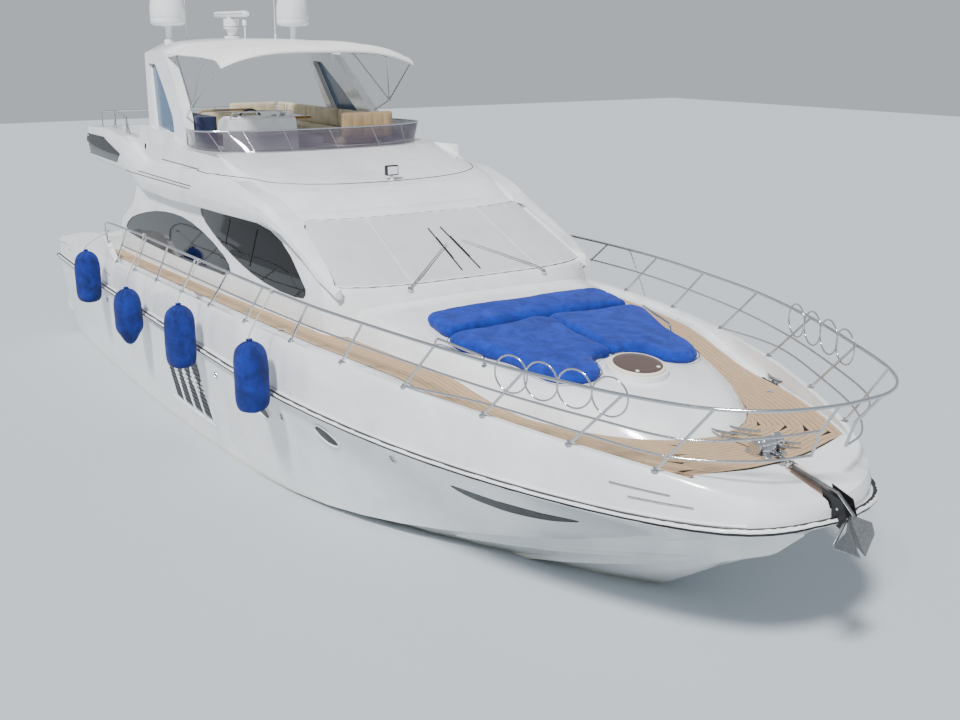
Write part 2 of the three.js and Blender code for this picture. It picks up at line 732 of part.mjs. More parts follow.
// Stainless guard rails: posts lean forward, a top rail and a middle rail run along them.
const POST_FEET_X = [-3400, -2500, -1500, -480, 530, 1620, 2760, 3740, 4700, 5660, 6500, 7200];
const POST_TOPS = [
  [-2600, 2392, 2470], [-1680, 2395, 2490], [-790, 2395, 2500], [250, 2395, 2510], [1290, 2385, 2515],
  [2270, 2370, 2520], [3280, 2315, 2515], [4220, 2185, 2500], [5230, 2000, 2480],
  [6210, 1725, 2440], [7060, 1370, 2405], [7700, 1010, 2400],
];

function footOnCap(x) {
  let t = 0;
  while (t < HULL_ROWS.length - 1 && hullAt(t).railX < x) t += 0.02;
  const h = hullAt(t);
  return [x, Math.max(0, h.railY - 95), h.capZ + CLEAR * 2];
}

// The whole rail as one work: it is cut into two sides and the pulpit.
function rails() {
  const feet = POST_FEET_X.map(footOnCap);
  const mid = feet.map((f, i) => f.map((v, c) => v + (POST_TOPS[i][c] - v) * 0.52));
  const posts = feet.map((f, i) => tube([[f[0], f[1], f[2] - 20], POST_TOPS[i]], 14, 4));
  const bow = [...POST_TOPS.slice(10), [8060, 650, 2420], [8260, 260, 2450]];
  const round = (half) => [...half, ...[...half].reverse().map(([x, y, z]) => [x, -y, z])];
  const end = [[-3860, 2325, 2060], [-3800, 2380, 2390]];
  const side = tube([...end, ...POST_TOPS.slice(0, 11)], 18, 5, 15);
  const middle = tube(mid.slice(0, 11), 10, 4, 9);
  const lower = [...mid.slice(10), [7860, 560, 2130], [8040, 200, 2170]];
  const stays = [1, -1].map((s) => tube([[8040, s * 200, 2170], [8250, s * 255, 2450]], 12, 4));
  const half = union([...posts, side, middle]);
  const ends = [tube(round(bow), 18, 5, 16), tube(round(lower), 10, 4, 14)];
  const seat = shifted(deckShape, 0, 0, CLEAR);
  return union([half, otherSide(half), ...ends, ...stays]).subtract(union([seat, otherSide(seat)]));
}

// Glass set back from the outside of the deckhouse.
function glassShell() {
  return houseBlock(-12, 1650, 3180, WING_AFT_X + 4)
    .subtract(houseBlock(-24, 1640, 3190, WING_AFT_X - 60));
}

function sideGlass(outline) {
  return sidePlate(grown(outline, -CLEAR), 1300, 2200).intersect(glassShell());
}

function windscreenCover() {
  return houseBlock(12, 1650, 3180, -3000)
    .subtract(houseBlock(2, 1640, 3190, -3100))
    .intersect(screenCut(-CLEAR));
}

function aftBulkhead() {
  const x0 = -3500;
  const x1 = HOUSE_AFT_X - CLEAR;
  const sheet = union([
    box(x0, x1, -1559, 1559, SOLE_Z + CLEAR, 1750),
    box(x0, x1, -1900, 1900, 1703, CEILING_Z - CLEAR).intersect(roomSpace(CLEAR)),
  ]);
  const door = box(-3600, -3400, -650, 250, SOLE_Z + 60, 3020);
  const pane = box(-3600, -3470, 330, 1340, 1750, 2950);
  const sill = box(-3545, -3495, -720, 1220, SOLE_Z + 2, 1279.5);
  return union([sheet.subtract(union([door, pane])), sill]);
}

function saloonDoor() {
  return box(-3534, -3506, -700, 300, SOLE_Z + 30, 3050);
}

// Radar arch: a wishbone frame each side, leaning inboard, and a crowned beam between them.
const ARCH_FOOT_Z = 3620.5;
const ARCH_TOP_Z = 4860;
const ARCH_FOOT_Y = 1600;
const ARCH_TOP_Y = 1400;
const ARCH_THICK = 138;

function leaning(shape) {
  const k = (ARCH_TOP_Y - ARCH_FOOT_Y) / (ARCH_TOP_Z - ARCH_FOOT_Z);
  return moved(shape, new THREE.Matrix4().set(1, 0, 0, 0, 0, 1, k, -k * ARCH_FOOT_Z, 0, 0, 1, 0, 0, 0, 0, 1));
}

function radarArch() {
  const frame = sidePlate(rounded([
    [-3720, ARCH_FOOT_Z], [-3520, ARCH_FOOT_Z], [-3440, 3655], [-2720, 3655], [-2620, ARCH_FOOT_Z],
    [-2160, ARCH_FOOT_Z], [-2340, 3990], [-2830, 4420], [-3380, ARCH_TOP_Z], [-4340, ARCH_TOP_Z],
  ], 60, 2), ARCH_FOOT_Y - ARCH_THICK, ARCH_FOOT_Y);
  const opening = sidePlate(rounded([
    [-3560, 3760], [-2650, 3740], [-2800, 3980], [-3300, 4360], [-3800, 4700], [-4130, 4700],
  ], 70, 2), ARCH_FOOT_Y - 300, ARCH_FOOT_Y + 300);
  const leg = leaning(frame.subtract(opening));
  const rows = 11;
  const rings = Array.from({ length: rows }, (_, k) => {
    const u = -1 + 2 * k / (rows - 1);
    const end = Math.abs(u) > 0.99 ? 1 : 0;
    const y = u * ARCH_TOP_Y;
    const top = 5060 - 120 * Math.abs(u) ** 3 - 62 * end;
    const aft = -4410 - 80 * (1 - u * u) + 70 * end;
    const fore = -3300 - 60 * end;
    return [
      [aft, y, top - 60], [aft + 110, y, top - 12], [-3860, y, top + 6], [fore - 90, y, top - 6],
      [fore, y, top - 46], [fore - 80, y, top - 110], [-3860, y, top - 130 + 50 * end],
      [aft + 100, y, top - 110],
    ];
  });
  return union([leg, otherSide(leg), loft(rings), radarPedestal()]);
}

// Cloth canopy stretched forward of the arch over bows.
const CANOPY_U = [-1, -0.93, -0.8, -0.55, -0.28, 0, 0.28, 0.55, 0.8, 0.93, 1];

function canopyPoint(s, u, down) {
  const half = 1425 + 25 * s;
  const crown = 5048 - 8 * s - 40 * s ** 4 - 90 * Math.max(0, (s - 0.88) / 0.12) ** 2;
  const drop = (195 + 15 * s) * Math.abs(u) ** 3.4;
  return [-3310 + s * 2270 + 120 * s * (1 - u * u), u * half, crown - drop - down];
}

function canopy() {
  const sheet = (down) => [0, 0.25, 0.5, 0.75, 0.9, 0.96, 1]
    .map((s) => CANOPY_U.map((u) => canopyPoint(s, u, down)));
  return panel(sheet(0), sheet(26)).subtract(shifted(archShape, CLEAR, 0, 0));
}

// Struts of the canopy: they meet at a hub, and one goes on to its foot on the arch.
const STRUT_HUB = [-1980, 1535, 4170];
const STRUT_FOOT = [-2420, 1480, 3985];

function canopyFrame() {
  const bow = (s) => CANOPY_U.map((u) => canopyPoint(s, u * 0.99, 26 + 14));
  const bows = [bow(0.96), bow(0.66), bow(0.2)];
  const at = ([x, y, z], side) => [x, side * y, z];
  const legs = [1, -1].flatMap((side) => bows.map(([[x, y, z]]) => {
    return tube([at(STRUT_HUB, side), [x, -side * y, z]], 13, 4);
  }));
  const feet = [1, -1].flatMap((side) => [
    tube([at(STRUT_HUB, side), at(STRUT_FOOT, side)], 13, 6),
    rod("y", [STRUT_HUB[0], side * STRUT_HUB[1] - 24, STRUT_HUB[2]], 48, 22, 22, 8),
  ]);
  return union([...bows.map((b) => tube(b, 13, 4, 8)), ...legs, ...feet])
    .subtract(union([shifted(canopyShape, 0, 0, -CLEAR), shifted(archShape, CLEAR, 0, CLEAR)]));
}

// Satellite dome on its stalk, seated on the crown of the arch.
const DOME_PLACE = [-4260, 1030];

function dome(side) {
  const profile = [[0, 4985], [75, 4985], [75, 5040], [48, 5065], [48, 5245], [215, 5250], [258, 5290],
    [262, 5500], [232, 5660], [150, 5765], [0, 5805]];
  const [x, y] = DOME_PLACE;
  return lathed(profile, 16).subtract(shifted(archShape, -x, -side * y, CLEAR));
}

function radarPedestal() {
  return union([
    rod("z", [-4300, 0, 5030], 75, 130, 120, 14),
    rod("z", [-4300, 0, 5100], 110, 60, 95, 14),
    rod("z", [-4300, 0, 5205], 150, 125, 125, 16),
  ]);
}

function radarScanner() {
  const outline = [[-4990, 5372], [-3610, 5372], [-3610, 5472], [-4990, 5472]];
  const bar = sidePlate(rounded(outline, 45, 3), -60, 60);
  return union([bar, rod("z", [-4300, 0, 5355.5], 30, 60, 60, 12)]);
}

// Flybridge furniture
// Low smoked screen round the front of the flybridge: it leans aft, and outboard along the sides.
const SCREEN_FOOT = [
  [-2080, 1598], [-1700, 1622], [-1280, 1540], [-930, 1300], [-730, 1000], [-650, 560], [-630, 0],
];
const SCREEN_TOP = [
  [-2080, 1606], [-1750, 1690], [-1380, 1680], [-1140, 1400], [-990, 1040], [-920, 560], [-900, 0],
];

function flyScreen() {
  const row = (half, z) => curve([...half, ...half.slice(0, -1).reverse().map(([x, y]) => [x, -y])]
    .map(([x, y]) => [x, y, z]), 24);
  const front = [row(SCREEN_FOOT, 3620 + CLEAR), row(SCREEN_TOP, 3880)];
  const back = front.map((line) => line.map(([x, y, z], i) => {
    const [a, b] = [line[Math.max(0, i - 1)], line[Math.min(line.length - 1, i + 1)]];
    const d = Math.hypot(b[0] - a[0], b[1] - a[1]);
    return [x + 9 * (b[1] - a[1]) / d, y - 9 * (b[0] - a[0]) / d, z];
  }));
  return panel(front, back);
}

function flyConsole() {
  const side = [[-1920, FLY_Z + CLEAR], [-1600, FLY_Z + CLEAR], [-1590, 3700], [-1660, 3985], [-1830, 4030],
    [-2040, 3960], [-2085, 3825], [-1900, 3790]];
  return sidePlate(side, -1150, -150);
}

// Steering wheel about its own centre, its shaft along X.
const WHEEL_TILT = Math.atan2(1, 3);

function wheel() {
  const rim = solid(new THREE.TorusGeometry(185, 14, 5, 16).rotateY(Math.PI / 2));
  const spokes = [90, 210, 330].map((d) => {
    const a = THREE.MathUtils.degToRad(d);
    return tube([[0, 0, 0], [0, 185 * Math.cos(a), 185 * Math.sin(a)]], 12, 5);
  });
  return union([rim, ...spokes, rod("x", [-25, 0, 0], 114.5, 30, 30, 12)]);
}

function flySeat() {
  const base = rod("z", [-2620, -650, FLY_Z + CLEAR], 320, 110, 70, 14);
  const squab = [[-2900, -1080], [-2380, -1080], [-2380, -220], [-2900, -220]];
  const cushion = planPlate(rounded(squab, 80), 3590, 3730);
  const side = [[-2980, 3640], [-2850, 3640], [-2900, 4180], [-3020, 4180]];
  const back = sidePlate(rounded(side, 40), -1080, -220);
  return union([base, cushion, back]);
}

function flySofa() {
  const outline = [[-1290, 380], [-1290, 1050], [-2050, 1420], [-5700, 1420], [-5700, 380], [-5100, 380],
    [-5100, 880], [-2700, 880], [-2000, 720], [-2000, 380]];
  const seat = planPlate(outline, FLY_Z + CLEAR, 3700);
  const backs = [
    box(-5700, -2090, 1270, 1392, 3650, 3990),
    box(-1400, -1275, 400, 1230, 3640, 4060),
    box(-5700, -5560, 380, 1392, 3650, 3990),
  ];
  return union([seat, ...backs]);
}

function flyTable() {
  const top = planPlate(rounded([[-4700, 60], [-3000, 60], [-3000, 760], [-4700, 760]], 160), 3870, 3910);
  const legs = [-4350, -3350].map((x) => rod("z", [x, 410, FLY_Z + CLEAR], 595, 55, 45, 12));
  return union([top, ...legs]);
}

// Covered cooking and sink unit beside the arch leg.
function flyLocker() {
  const outline = [[-3420, -1390], [-2200, -1390], [-2200, -1090], [-3420, -1090]];
  return planPlate(rounded(outline, 70), FLY_Z + CLEAR, 4010);
}

// Stairs from the cockpit to the flybridge.
function flyStairs() {
  const n = 8;
  const rise = (FLY_Z - SOLE_Z) / n;
  const run = 232;
  const treads = [];
  for (let k = 1; k < n; k++) {
    const x = -5430 + (k - 1) * run;
    const z = SOLE_Z + k * rise;
    treads.push(box(x, x + 270, -1420, -840, z - 45, z));
  }
  const line = (y) => sidePlate([
    [-5480, SOLE_Z + CLEAR], [-5200, SOLE_Z + CLEAR], [-3720, 3040], [-3720, 3240], [-3860, 3240],
    [-5480, 1480],
  ], y, y + 32);
  return union([...treads, line(-1422), line(-872)]);
}

function cockpitSofa() {
  const seat = box(-6690, -6080, -1150, 1150, SOLE_Z + CLEAR, 1690);
  const back = box(-6690, -6500, -1150, 1150, 1680, 1990);
  return union([seat, back]);
}

function cockpitTable() {
  const top = planPlate(rounded([[-5850, -600], [-5000, -600], [-5000, 750], [-5850, 750]], 90), 1945, 1985);
  return union([top, rod("z", [-5420, 80, SOLE_Z + CLEAR], 700, 110, 60, 14)]);
}

// Gate in the transom about its hinge, which is inboard and on the leaf's forward face.
const GATE_HINGE = [-6806, 1243];

function transomGate() {
  const leaf = box(-44, -4, 13, 599, 1300, 1745);
  const barrels = [1360, 1640].map((z) => rod("z", [0, 0, z], 60, 12.5, 12.5, 12));
  const straps = [1360, 1640].map((z) => box(-8, 4, 0, 57, z + 5, z + 55));
  return union([leaf, ...barrels, ...straps]);
}

// Long round-ended fender that hangs against the topside.
function fender(length, radius) {
  const half = length / 2;
  const r = radius;
  return lathed([[0, -half], [r * 0.5, -half + 12], [r * 0.86, -half + 60], [r, -half + 140],
    [r, half - 300], [r * 0.9, half - 150], [r * 0.55, half - 50], [r * 0.22, half], [0, half]], 12);
}

// Anchor in its roller, and the gear behind it.
function anchor() {
  const floor = (x) => 1650 - (x - 7480) * 165 / 720;
  const base = sidePlate([[7560, floor(7560) + CLEAR], [8240, floor(8240) + CLEAR], [8240, floor(8240) + 9],
    [7560, floor(7560) + 9]], -70, 70);
  const cheek = sidePlate([
    [7560, floor(7560) + 2], [8240, floor(8240) + 2], [8290, 1500], [8270, 1560], [8120, 1600],
    [7560, floor(7560) + 70],
  ], 58, 70);
  const pin = rod("y", [8200, -64, 1540], 128, 26, 26, 10);
  const shank = sidePlate([[7600, 1668], [8190, 1562], [8300, 1500], [8370, 1240], [8420, 1260], [8350, 1540],
    [8220, 1625], [7600, 1712]], -17, 17);
  const crown = rod("y", [8385, -90, 1240], 180, 36, 36, 10);
  const neck = box(7590, 7640, -60, 60, floor(7600) + 4, 1700);
  return union([base, cheek, otherSide(cheek), pin, shank, crown, neck, anchorFluke(1), anchorFluke(-1)]);
}

function anchorFluke(side) {
  const leaf = planPlate([[-30, 0], [40, 0], [150, 210], [60, 270], [-330, 120], [-120, 30]], -8, 8);
  const dip = new THREE.Matrix4().makeRotationY(THREE.MathUtils.degToRad(58)).setPosition(8385, 20, 1240);
  return side > 0 ? moved(leaf, dip) : otherSide(moved(leaf, dip));
}

function windlass() {
  const base = [[7180, -130], [7460, -130], [7460, 130], [7180, 130]];
  return union([
    planPlate(rounded(base, 50, 3), DECK_Z + 14.5, DECK_Z + 45),
    rod("y", [7320, -150, 1815], 300, 72, 72, 16),
    box(7270, 7370, -60, 60, DECK_Z + 40, 1820),
  ]);
}

// Propeller shafts in their brackets, propellers and rudders, one set each side.
const SHAFT_Y = 820;
const PROP_X = -5930;
const RUDDER_X = -6480;

function shaftZ(x) {
  return -790 + (x - PROP_X) * 0.115;
}

function shaftLine(s) {
  const at = (x) => [x, s * SHAFT_Y, shaftZ(x)];
  const bar = tube([at(PROP_X + 0.5), at(-3900)], 27, 10);
  const barrel = tube([at(PROP_X + 40), at(PROP_X + 290)], 52, 10);
  const keelZ = hullBottom(-5760, SHAFT_Y);
  const strut = frontPlate([
    [SHAFT_Y - 17, shaftZ(-5760)], [SHAFT_Y + 17, shaftZ(-5760)],
    [SHAFT_Y + 17, keelZ - 14], [SHAFT_Y - 17, keelZ - 14],
  ], -5850, -5680);
  const foot = box(-5900, -5630, SHAFT_Y - 60, SHAFT_Y + 60, keelZ - 60, keelZ + 60);
  const bracket = union([strut, foot]);
  return union([bar, barrel, s > 0 ? bracket : otherSide(bracket)]).subtract(hullSkin());
}

function hullBottom(x, y) {
  let t = 0;
  while (t < HULL_ROWS.length - 1 && hullAt(t).keelX < x) t += 0.02;
  const side = hullSide(hullAt(t));
  for (let i = 0; i + 1 < side.length; i++) {
    const [a, b] = [side[i], side[i + 1]];
    if (y >= a[1] && y <= b[1]) return a[2] + (b[2] - a[2]) * (y - a[1]) / (b[1] - a[1]);
  }
  return side[0][2];
}

let skin = null;
function hullSkin() {
  if (!skin) {
    skin = loft(HULL_T.map((t) => {
      const side = hullSide(hullAt(t)).map(([x, y, z]) => [x, y, z - CLEAR]);
      return [...side, ...side.slice(1).reverse().map(([x, y, z]) => [x, -y, z])];
    }));
  }
  return skin;
}

// Four-bladed propeller about its own axis, along X.
const SHAFT_TILT = THREE.MathUtils.degToRad(-6.6);

function propeller(s) {
  const leaf = smoothLoop([[30, -60], [150, -120], [262, -60], [285, 40], [190, 105], [30, 60]], 9);
  const pitch = new THREE.Matrix4().makeRotationX(THREE.MathUtils.degToRad(s * -38));
  const onHub = SEEN_FROM_AHEAD.clone().setPosition(-52, 0, 0);
  const blades = [0, 1, 2, 3].map((k) => {
    const turn = new THREE.Matrix4().makeRotationX(k * Math.PI / 2);
    return moved(planPlate(leaf, -6, 6), turn.multiply(onHub).multiply(pitch));
  });
  return union([rod("x", [-100, 0, 0], 102, 34, 50, 12), ...blades]);
}

// Spade rudder about its own stock.
const RUDDER_Y = SHAFT_Y + 40;
const STOCK_R = 30;

// The stock ends just under the hull, whose facets lie a little higher to port.
function rudder(rise) {
  const top = hullBottom(RUDDER_X, RUDDER_Y) - 48;
  const seat = hullBottom(RUDDER_X + STOCK_R, RUDDER_Y - STOCK_R) + rise;
  const blade = sidePlate(rounded([
    [130, top], [-240, top], [-210, -1010], [110, -1010],
  ], 30, 2), -17, 17);
  return union([blade, rod("z", [0, 0, -700], seat + 700, STOCK_R, STOCK_R, 12)]);
}

function engine() {
  return box(-750, 750, -430, 430, 0, 1009.5);
}

// Fenders in their covers: name, x, side, z, and how much nearer the curved gunwale lets it hang.
const FENDER_R = 205;
const FENDER_LENGTH = 810;
const FENDER_ROWS = [
  ["fender_1", -3800, -1, 1625, 0.9],
  ["fender_2", -1760, -1, 1425, 0],
  ["fender_3", 400, -1, 1618, 0],
  ["fender_4", 2530, -1, 1640, 2.9],
  ["fender_5", 2700, 1, 1450, 1.1],
];

function gunwaleY(x) {
  let t = 0;
  while (t < HULL_ROWS.length - 1 && hullAt(t).railX < x) t += 0.02;
  return hullAt(t).railY;
}

// Build order, from the keel up
const hullShape = hull();
add("hull", "gelcoat", hullShape);
add("rub_rail", "strake", rubRail());
const deckShape = deck();
add("deck", "gelcoat", deckShape);
add("teak_deck", "teak", teakDeck());
add("swim_platform", "gelcoat", swimPlatform());

const house = groupAt(0, 0, 0);
const moulding = superstructure();
const SPLIT_X = WING_AFT_X - 60;
const aboveSplit = union([box(-9000, 9000, -3000, 3000, SPLIT_Z + CLEAR / 2, 6000),
  box(-9000, SPLIT_X, -3000, 3000, 2600, 6000)]);
const belowSplit = box(SPLIT_X + CLEAR, 9000, -3000, 3000, 0, SPLIT_Z - CLEAR / 2);
add("deckhouse", "gelcoat", moulding.intersect(belowSplit), house);
add("windscreen_glass", "darkGlass", glassShell().intersect(screenCut(-CLEAR)), house);
add("windscreen_cover", "greyMesh", windscreenCover(), house);
for (const [name, outline] of [["window_front", FRONT_WINDOW], ["window_aft", AFT_WINDOW]]) {
  add(name + "_port", "darkGlass", sideGlass(outline), house);
  add(name + "_starboard", "darkGlass", otherSide(sideGlass(outline)), house);
}
add("aft_bulkhead", "gelcoat", aftBulkhead(), house);
add("saloon_door", "darkGlass", saloonDoor(), house);

const foredeck = groupAt(0, 0, 0);
const roofShape = coachroof();
add("coachroof", "gelcoat", roofShape, foredeck);
const pads = sunpad();
add("sunpad_port", "blueCloth", pads, foredeck);
add("sunpad_starboard", "blueCloth", otherSide(pads), foredeck);
add("sunpad_headrest", "blueCloth", headrest(), foredeck);
add("hatch_lid", "darkGlass", hatchLid(), groupAt(HATCH_X, 0, hatchZ(), HATCH_TILT, foredeck));
add("anchor", "galvanised", anchor(), foredeck);
add("windlass", "stainless", windlass(), foredeck);

const railWork = rails();
const RAIL_JOINT_X = 6340;
const portRail = railWork.intersect(box(-5000, RAIL_JOINT_X, 100, 3000, 1500, 3000));
add("guard_rail_port", "stainless", portRail);
add("guard_rail_starboard", "stainless", otherSide(portRail));
add("pulpit", "stainless", railWork.intersect(box(RAIL_JOINT_X + CLEAR, 9000, -3000, 3000, 1500, 3000)));

const upper = groupAt(0, 0, 0);
add("flybridge", "gelcoat", moulding.intersect(aboveSplit), upper);
const archShape = radarArch();
add("radar_arch", "gelcoat", archShape, upper);
const canopyShape = canopy();
add("canopy", "canvas", canopyShape, upper);
add("canopy_frame", "stainless", canopyFrame(), upper);
for (const [name, s] of [["dome_port", 1], ["dome_starboard", -1]]) {
  add(name, "gelcoat", dome(s), groupAt(DOME_PLACE[0], s * DOME_PLACE[1], 0, 0, upper));
}
add("radar_scanner", "gelcoat", radarScanner(), upper);
add("fly_screen", "smoked", flyScreen(), upper);
add("fly_console", "gelcoat", flyConsole(), upper);
add("fly_wheel", "grip", wheel(), groupAt(-2147.9, -650, 3921, WHEEL_TILT, upper));
add("fly_seat", "upholstery", flySeat(), upper);
add("fly_sofa", "upholstery", flySofa(), upper);
add("fly_table", "varnish", flyTable(), upper);
add("fly_locker", "navyCloth", flyLocker(), upper);

const cockpit = groupAt(0, 0, 0);
add("fly_stairs", "gelcoat", flyStairs(), cockpit);
add("cockpit_sofa", "upholstery", cockpitSofa(), cockpit);
add("cockpit_table", "varnish", cockpitTable(), cockpit);
add("transom_gate", "gelcoat", transomGate(), groupAt(GATE_HINGE[0], GATE_HINGE[1], 0, 0, cockpit));

for (const [name, x, side, z, nearer] of FENDER_ROWS) {
  const y = gunwaleY(x) + 46.5 + FENDER_R - nearer;
  add(name, "blueCloth", fender(FENDER_LENGTH, FENDER_R), groupAt(x, side * y, z));
}

for (const [name, s, rise] of [["port", 1, 1.1], ["starboard", -1, -CLEAR]]) {
  const drive = groupAt(0, 0, 0);
  add("shaft_" + name, "stainless", shaftLine(s), drive);
  add("propeller_" + name, "bronze", propeller(s),
    groupAt(PROP_X - 2, s * SHAFT_Y, shaftZ(PROP_X), SHAFT_TILT, drive));
  add("rudder_" + name, "bronze", rudder(rise), groupAt(RUDDER_X, s * RUDDER_Y, 0, 0, drive));
  add("engine_" + name, "enginePaint", engine(), groupAt(-4150, s * 800, -130 + CLEAR, 0, drive));
}

export default root;
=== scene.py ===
"""Looks of the flybridge motor yacht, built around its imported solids.

Metres, +X forward, +Y to port, +Z up, with the origin on the centreline at the waterline.
"""

import logging
import math
import random
from dataclasses import dataclass, field
from enum import Enum
from typing import Callable, Iterable, Sequence

import bpy
from mathutils import Matrix, Vector, noise
from mathutils.bvhtree import BVHTree


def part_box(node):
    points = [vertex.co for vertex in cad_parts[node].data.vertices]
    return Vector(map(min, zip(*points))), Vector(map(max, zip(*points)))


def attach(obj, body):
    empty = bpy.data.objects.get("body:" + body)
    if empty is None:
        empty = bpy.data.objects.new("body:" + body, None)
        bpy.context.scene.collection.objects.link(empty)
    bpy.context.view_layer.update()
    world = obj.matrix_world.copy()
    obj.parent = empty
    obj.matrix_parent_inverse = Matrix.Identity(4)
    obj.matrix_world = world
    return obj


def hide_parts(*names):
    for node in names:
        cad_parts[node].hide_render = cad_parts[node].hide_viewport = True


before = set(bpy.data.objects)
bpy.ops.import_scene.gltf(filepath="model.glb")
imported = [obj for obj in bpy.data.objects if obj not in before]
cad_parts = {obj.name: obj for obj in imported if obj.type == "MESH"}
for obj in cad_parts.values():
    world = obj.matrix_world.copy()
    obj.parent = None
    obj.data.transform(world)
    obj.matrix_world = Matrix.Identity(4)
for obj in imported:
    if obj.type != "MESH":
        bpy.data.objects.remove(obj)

LOG = logging.getLogger("yacht")
# radius that closes the end of a turned part
TIP = 0.0001
# heights over the waterline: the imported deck's top and the flybridge's sole
DECK_TOP = 1.7145
FLY_SOLE = 3.281
SIDES = (("port", 1), ("starboard", -1))
BOAT = "boat"
SEED = 7

Point = Sequence[float]
Socket = bpy.types.NodeSocket


class Slot(Enum):
    """Material slots of the record."""

    GELCOAT = "gelcoat_white"
    STRAKE = "strake_black"
    TEAK = "teak"
    VARNISH = "varnished_wood"
    BLUE = "blue_cloth"
    NAVY = "navy_cloth"
    MESH = "grey_mesh"
    CANVAS = "white_canvas"
    HIDE = "beige_upholstery"
    GRIP = "black_grip"
    STEEL = "stainless"
    ZINC = "galvanised"
    GLASS = "dark_glass"
    ACRYLIC = "smoked_acrylic"
    BRONZE = "bronze"
    ENGINE = "engine_paint"


def linear(code: str) -> tuple[float, float, float, float]:
    """Turn an sRGB hex colour into a linear one.

    Args:
        code: Six hex digits.

    Returns:
        Red, green, blue and an alpha of one.
    """
    parts = [int(code[i:i + 2], 16) / 255 for i in (0, 2, 4)]
    curved = [c / 12.92 if c <= 0.04045 else ((c + 0.055) / 1.055) ** 2.4 for c in parts]
    return (*curved, 1.0)


def add_node(tree: bpy.types.NodeTree, kind: str, values: dict | None = None,
             links: dict | None = None, **settings) -> bpy.types.Node:
    """Add one shader node with its settings, values and links.

    Args:
        tree: Node tree of the material.
        kind: Node type without its ShaderNode prefix.
        values: Constant by input name or number.
        links: Source socket by input name or number.
        settings: Properties of the node itself.

    Returns:
        The new node.
    """
    made = tree.nodes.new("ShaderNode" + kind)
    for key, value in settings.items():
        setattr(made, key, value)
    for key, value in (values or {}).items():
        made.inputs[key].default_value = value
    for key, source in (links or {}).items():
        tree.links.new(source, made.inputs[key])
    return made


@dataclass(frozen=True)
class Finish:
    """A material: what the real one is, its colour, gloss and metalness."""

    name: str
    colour: str
    roughness: float
    metallic: float = 0.0
    ior: float = 1.5
    coat: float = 0.0
    coat_roughness: float = 0.05
    sheen: float = 0.0
    alpha: float = 1.0

    def material(self) -> bpy.types.Material:
        """Return the material, made once for all the pieces that share it."""
        known = bpy.data.materials.get(self.name)
        if known:
            return known
        made = bpy.data.materials.new(self.name)
        made.use_nodes = True
        tree = made.node_tree
        shader = tree.nodes["Principled BSDF"]
        plain = {
            "Base Color": linear(self.colour), "Roughness": self.roughness,
            "Metallic": self.metallic, "Coat Weight": self.coat,
            "Coat Roughness": self.coat_roughness, "Sheen Weight": self.sheen,
            "Alpha": self.alpha,
        }
        if not self.metallic:
            plain["IOR"] = self.ior
        for key, value in plain.items():
            shader.inputs[key].default_value = value
        self.pattern(tree, shader)
        return made

    def pattern(self, tree: bpy.types.NodeTree, shader: bpy.types.Node) -> None:
        """Add what the surface shows up close; the plain finish has faint handling marks."""
        place = add_node(tree, "TexCoord").outputs["Object"]
        marks = add_node(tree, "TexNoise", {"Scale": 14.0, "Detail": 3.0}, {"Vector": place})
        gloss = add_node(tree, "MapRange", {"To Min": self.roughness * 0.85, "To Max": self.roughness * 1.2},
                         {"Value": marks.outputs["Fac"]})
        tree.links.new(gloss.outputs["Result"], shader.inputs["Roughness"])


@dataclass(frozen=True)
class SprayedGelcoat(Finish):
    """Polyester gelcoat sprayed into a polished mould: deep gloss, long soft waves, faint chalking."""

    shade: str = "dfe2e4"
    wave: float = 0.0006

    def pattern(self, tree: bpy.types.NodeTree, shader: bpy.types.Node) -> None:
        """Soft chalky clouds of half a metre and mould waves of about 15 cm."""
        place = add_node(tree, "TexCoord").outputs["Object"]
        clouds = add_node(tree, "TexNoise", {"Scale": 1.7, "Detail": 5.0, "Roughness": 0.6},
                          {"Vector": place})
        share = add_node(tree, "MapRange", {"From Min": 0.42, "From Max": 0.75},
                         {"Value": clouds.outputs["Fac"]})
        colour = add_node(tree, "Mix", {6: linear(self.colour), 7: linear(self.shade)},
                          {0: share.outputs["Result"]}, data_type="RGBA")
        gloss = add_node(tree, "MapRange", {"To Min": self.roughness * 0.7, "To Max": self.roughness * 1.5},
                         {"Value": clouds.outputs["Fac"]})
        waves = add_node(tree, "TexNoise", {"Scale": 6.5, "Detail": 1.0}, {"Vector": place})
        bump = add_node(tree, "Bump", {"Strength": 0.25, "Distance": self.wave * 10},
                        {"Height": waves.outputs["Fac"]})
        tree.links.new(self.stained(tree, place, colour.outputs[2]), shader.inputs["Base Color"])
        tree.links.new(gloss.outputs["Result"], shader.inputs["Roughness"])
        tree.links.new(bump.outputs["Normal"], shader.inputs["Normal"])

    def stained(self, tree: bpy.types.NodeTree, place: Socket, colour: Socket) -> Socket:
        """Return the colour unchanged: only the hull has a tide mark."""
        return colour


